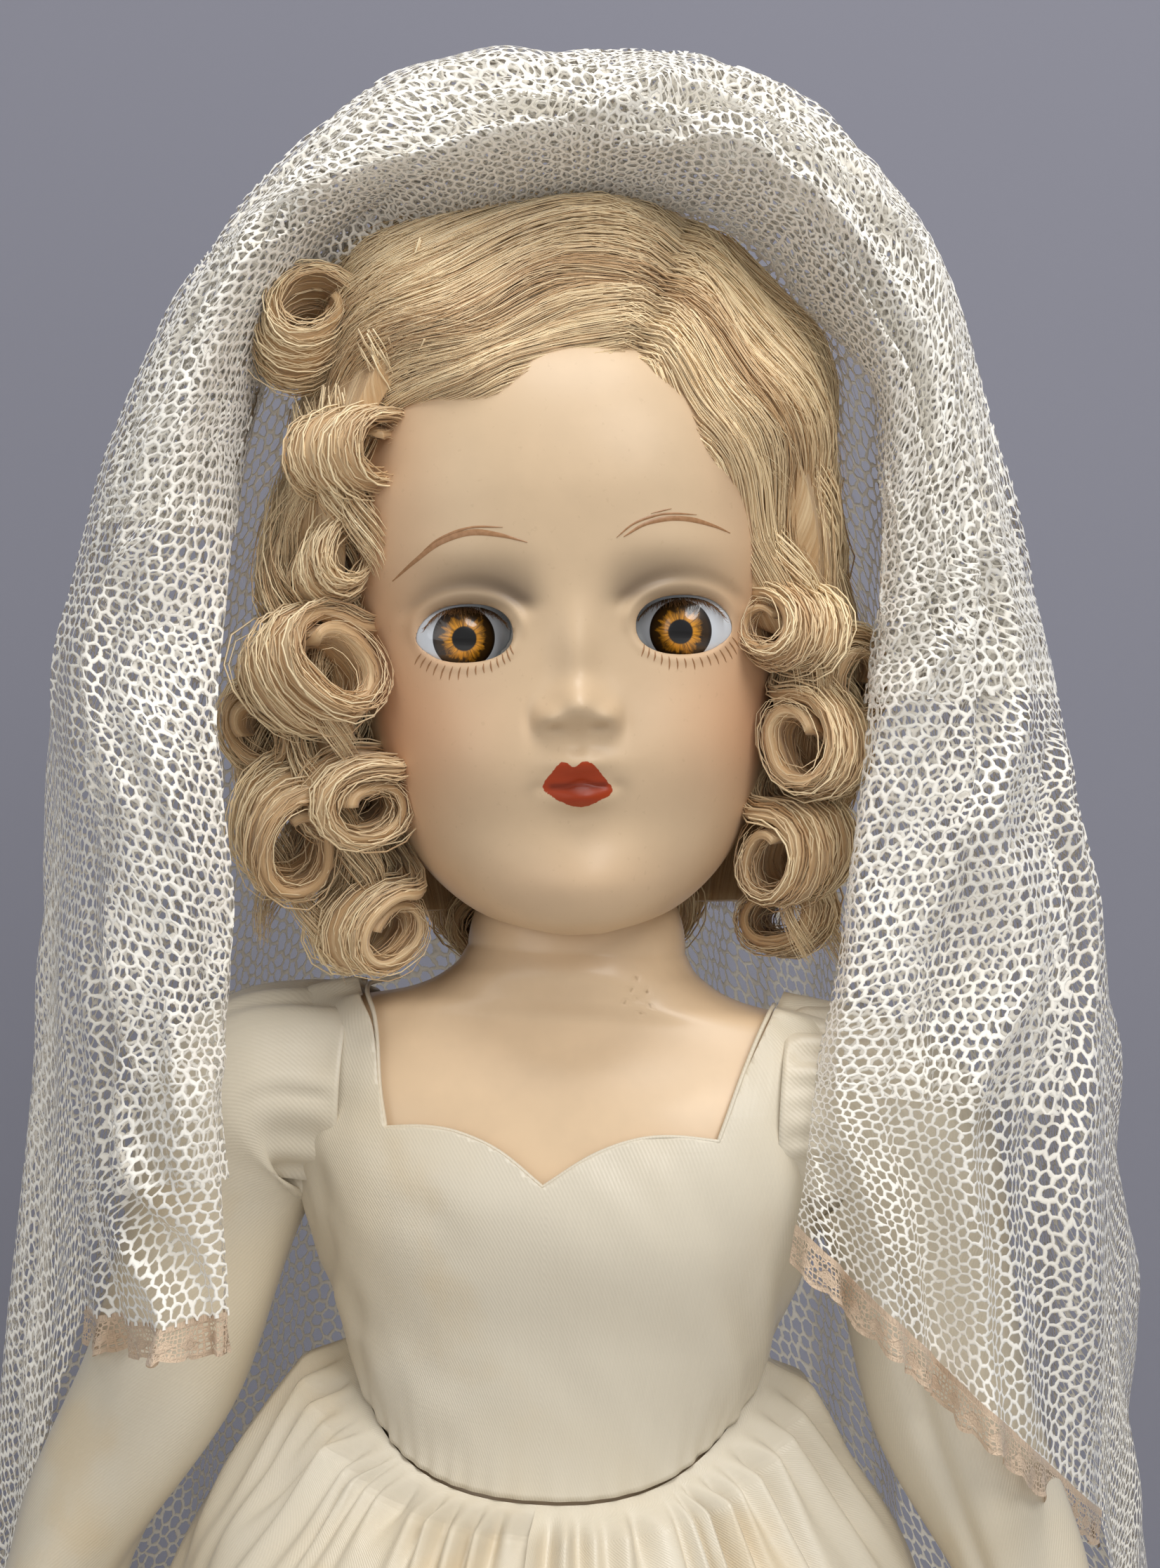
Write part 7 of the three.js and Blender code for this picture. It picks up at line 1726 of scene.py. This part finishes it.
def make_stage():
    """The floor, the backdrop, soft lights and the camera at the photograph's place."""
    scene = bpy.context.scene
    x, y = np.meshgrid(np.linspace(-2500, 2500, 3), np.linspace(-2500, 2500, 3))
    floor = grid("floor", stack(x, y, 0.0))
    floor.data.materials.append(finish(plain_floor))
    x, z = np.meshgrid(np.linspace(-900, 900, 3), np.linspace(0.5, 1300, 3))
    wall = grid("backdrop", stack(x, 330.0 + 0 * x, z))
    wall.data.materials.append(finish(plain_backdrop))
    camera = bpy.data.objects.new("camera", bpy.data.cameras.new("camera"))
    scene.collection.objects.link(camera)
    camera.data.lens, camera.data.sensor_width, camera.data.sensor_fit = 99.93, 36.0, "AUTO"
    camera.data.clip_start = 0.01
    yaw, pitch, roll = radians(5.63), radians(-0.23), radians(2.58)
    ahead = np.array([-sin(yaw) * cos(pitch), cos(yaw) * cos(pitch), sin(pitch)])
    right = np.array([cos(yaw), sin(yaw), 0.0])
    up = np.cross(right, ahead)
    across, upward = cos(roll) * right + sin(roll) * up, -sin(roll) * right + cos(roll) * up
    place = Matrix.Identity(4)
    for i, column in enumerate((across, upward, -ahead, np.array([0.0732, -0.7479, 0.4365]))):
        for j in range(3):
            place[j][i] = column[j]
    camera.matrix_world = place
    scene.camera = camera
    for name, where, aim, size, power in (
        ("key", (0.5, -0.85, 1.1), (0, 0, 0.44), 0.6, 5.4),
        ("fill", (-0.8, -0.95, 0.55), (0, 0, 0.42), 0.9, 2.2),
        ("top", (0.05, -0.3, 1.25), (0, 0, 0.5), 0.5, 4.8),
        ("front", (0.35, -1.15, 0.42), (0, 0, 0.5), 0.7, 1.9),
    ):
        lamp = bpy.data.objects.new(name, bpy.data.lights.new(name, "AREA"))
        lamp.data.shape, lamp.data.size, lamp.data.energy = "DISK", size, power
        lamp.visible_glossy = name != "front"
        scene.collection.objects.link(lamp)
        way = np.array(aim) - where
        lamp.matrix_world = Matrix.Translation(where) @ look_along(way)
    world = bpy.data.worlds.new("studio")
    world.use_nodes = True
    world.node_tree.nodes["Background"].inputs[0].default_value = (0.95, 0.97, 1.0, 1)
    world.node_tree.nodes["Background"].inputs[1].default_value = 0.25
    scene.world = world
    scene.view_settings.view_transform = "Standard"
    scene.cycles.transparent_max_bounces = 32


def look_along(way):
    """The turn that points a lamp's or camera's own -Z along a way, with its X level."""
    back = -unit(np.asarray(way, float))
    across = unit(np.cross([0, 0, 1.0], back))
    made = Matrix.Identity(4)
    for i, column in enumerate((across, np.cross(back, across), back)):
        for j in range(3):
            made[j][i] = column[j]
    return made


# The add-on's operators and panel


def operator(idname, label, words, make):
    """An operator that makes one group of pieces."""

    def execute(self, context):
        make()
        return {"FINISHED"}

    bases = (bpy.types.Operator,)
    return type("BRIDE_OT_" + idname, bases, {"__doc__": words, "bl_idname": "bride." + idname, "bl_label": label,
                                              "bl_options": {"REGISTER", "UNDO"}, "execute": execute})


OPERATORS = [
    operator("stage", "Stage", "Makes the floor, the backdrop, the lights and the camera", make_stage),
    operator("head", "Head", "Makes the painted head with its brows and lower lashes", make_head),
    operator("eyes", "Sleep eyes", "Makes the sleep eyes and their upper lashes", make_eyes),
    operator("body", "Body", "Makes the torso and the rounded limbs", make_body),
    operator("stringing", "Stringing", "Makes the elastics and finishes the wires", make_stringing),
    operator("bodice", "Bodice", "Makes the satin bodice and its placket", make_bodice),
    operator("sleeves", "Sleeves", "Makes the satin sleeves", make_sleeves),
    operator("skirts", "Skirts", "Makes the skirt, the petticoat and the panties", make_skirts),
    operator("footwear", "Footwear", "Makes the socks and the shoes", make_footwear),
    operator("wig", "Wig", "Makes the wig cap, the combed hair and the curls", make_wig),
    operator("veil", "Veil", "Makes the net veil and its lace", make_veil),
]


class BRIDE_PT_panel(bpy.types.Panel):
    """Lists the doll's sizes, colours and pieces in the sidebar."""

    bl_idname = "BRIDE_PT_panel"
    bl_label = "Bride doll"
    bl_space_type = "VIEW_3D"
    bl_region_type = "UI"
    bl_category = "Bride doll"

    def draw(self, context):
        for group in (context.scene.bride_doll_sizes, context.scene.bride_doll_colours):
            box = self.layout.box()
            for key in group.__annotations__:
                box.prop(group, key)
        for kind in OPERATORS:
            self.layout.operator(kind.bl_idname)


CLASSES = [BrideDollSizes, BrideDollColours, *OPERATORS, BRIDE_PT_panel]


def register():
    """Registers the classes and hangs the two groups of settings on the scene."""
    for kind in CLASSES:
        bpy.utils.register_class(kind)
    bpy.types.Scene.bride_doll_sizes = bpy.props.PointerProperty(type=BrideDollSizes)
    bpy.types.Scene.bride_doll_colours = bpy.props.PointerProperty(type=BrideDollColours)


def unregister():
    """Takes the settings and the classes away again."""
    del bpy.types.Scene.bride_doll_sizes, bpy.types.Scene.bride_doll_colours
    for kind in reversed(CLASSES):
        bpy.utils.unregister_class(kind)


def main():
    """Makes the whole doll in order, and writes the solid model's box and the dressed one's."""
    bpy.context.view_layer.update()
    register()
    for kind in OPERATORS:
        getattr(bpy.ops.bride, kind.bl_idname.split(".")[1])()
    bpy.context.view_layer.update()


if __name__ == "__main__":
    main()
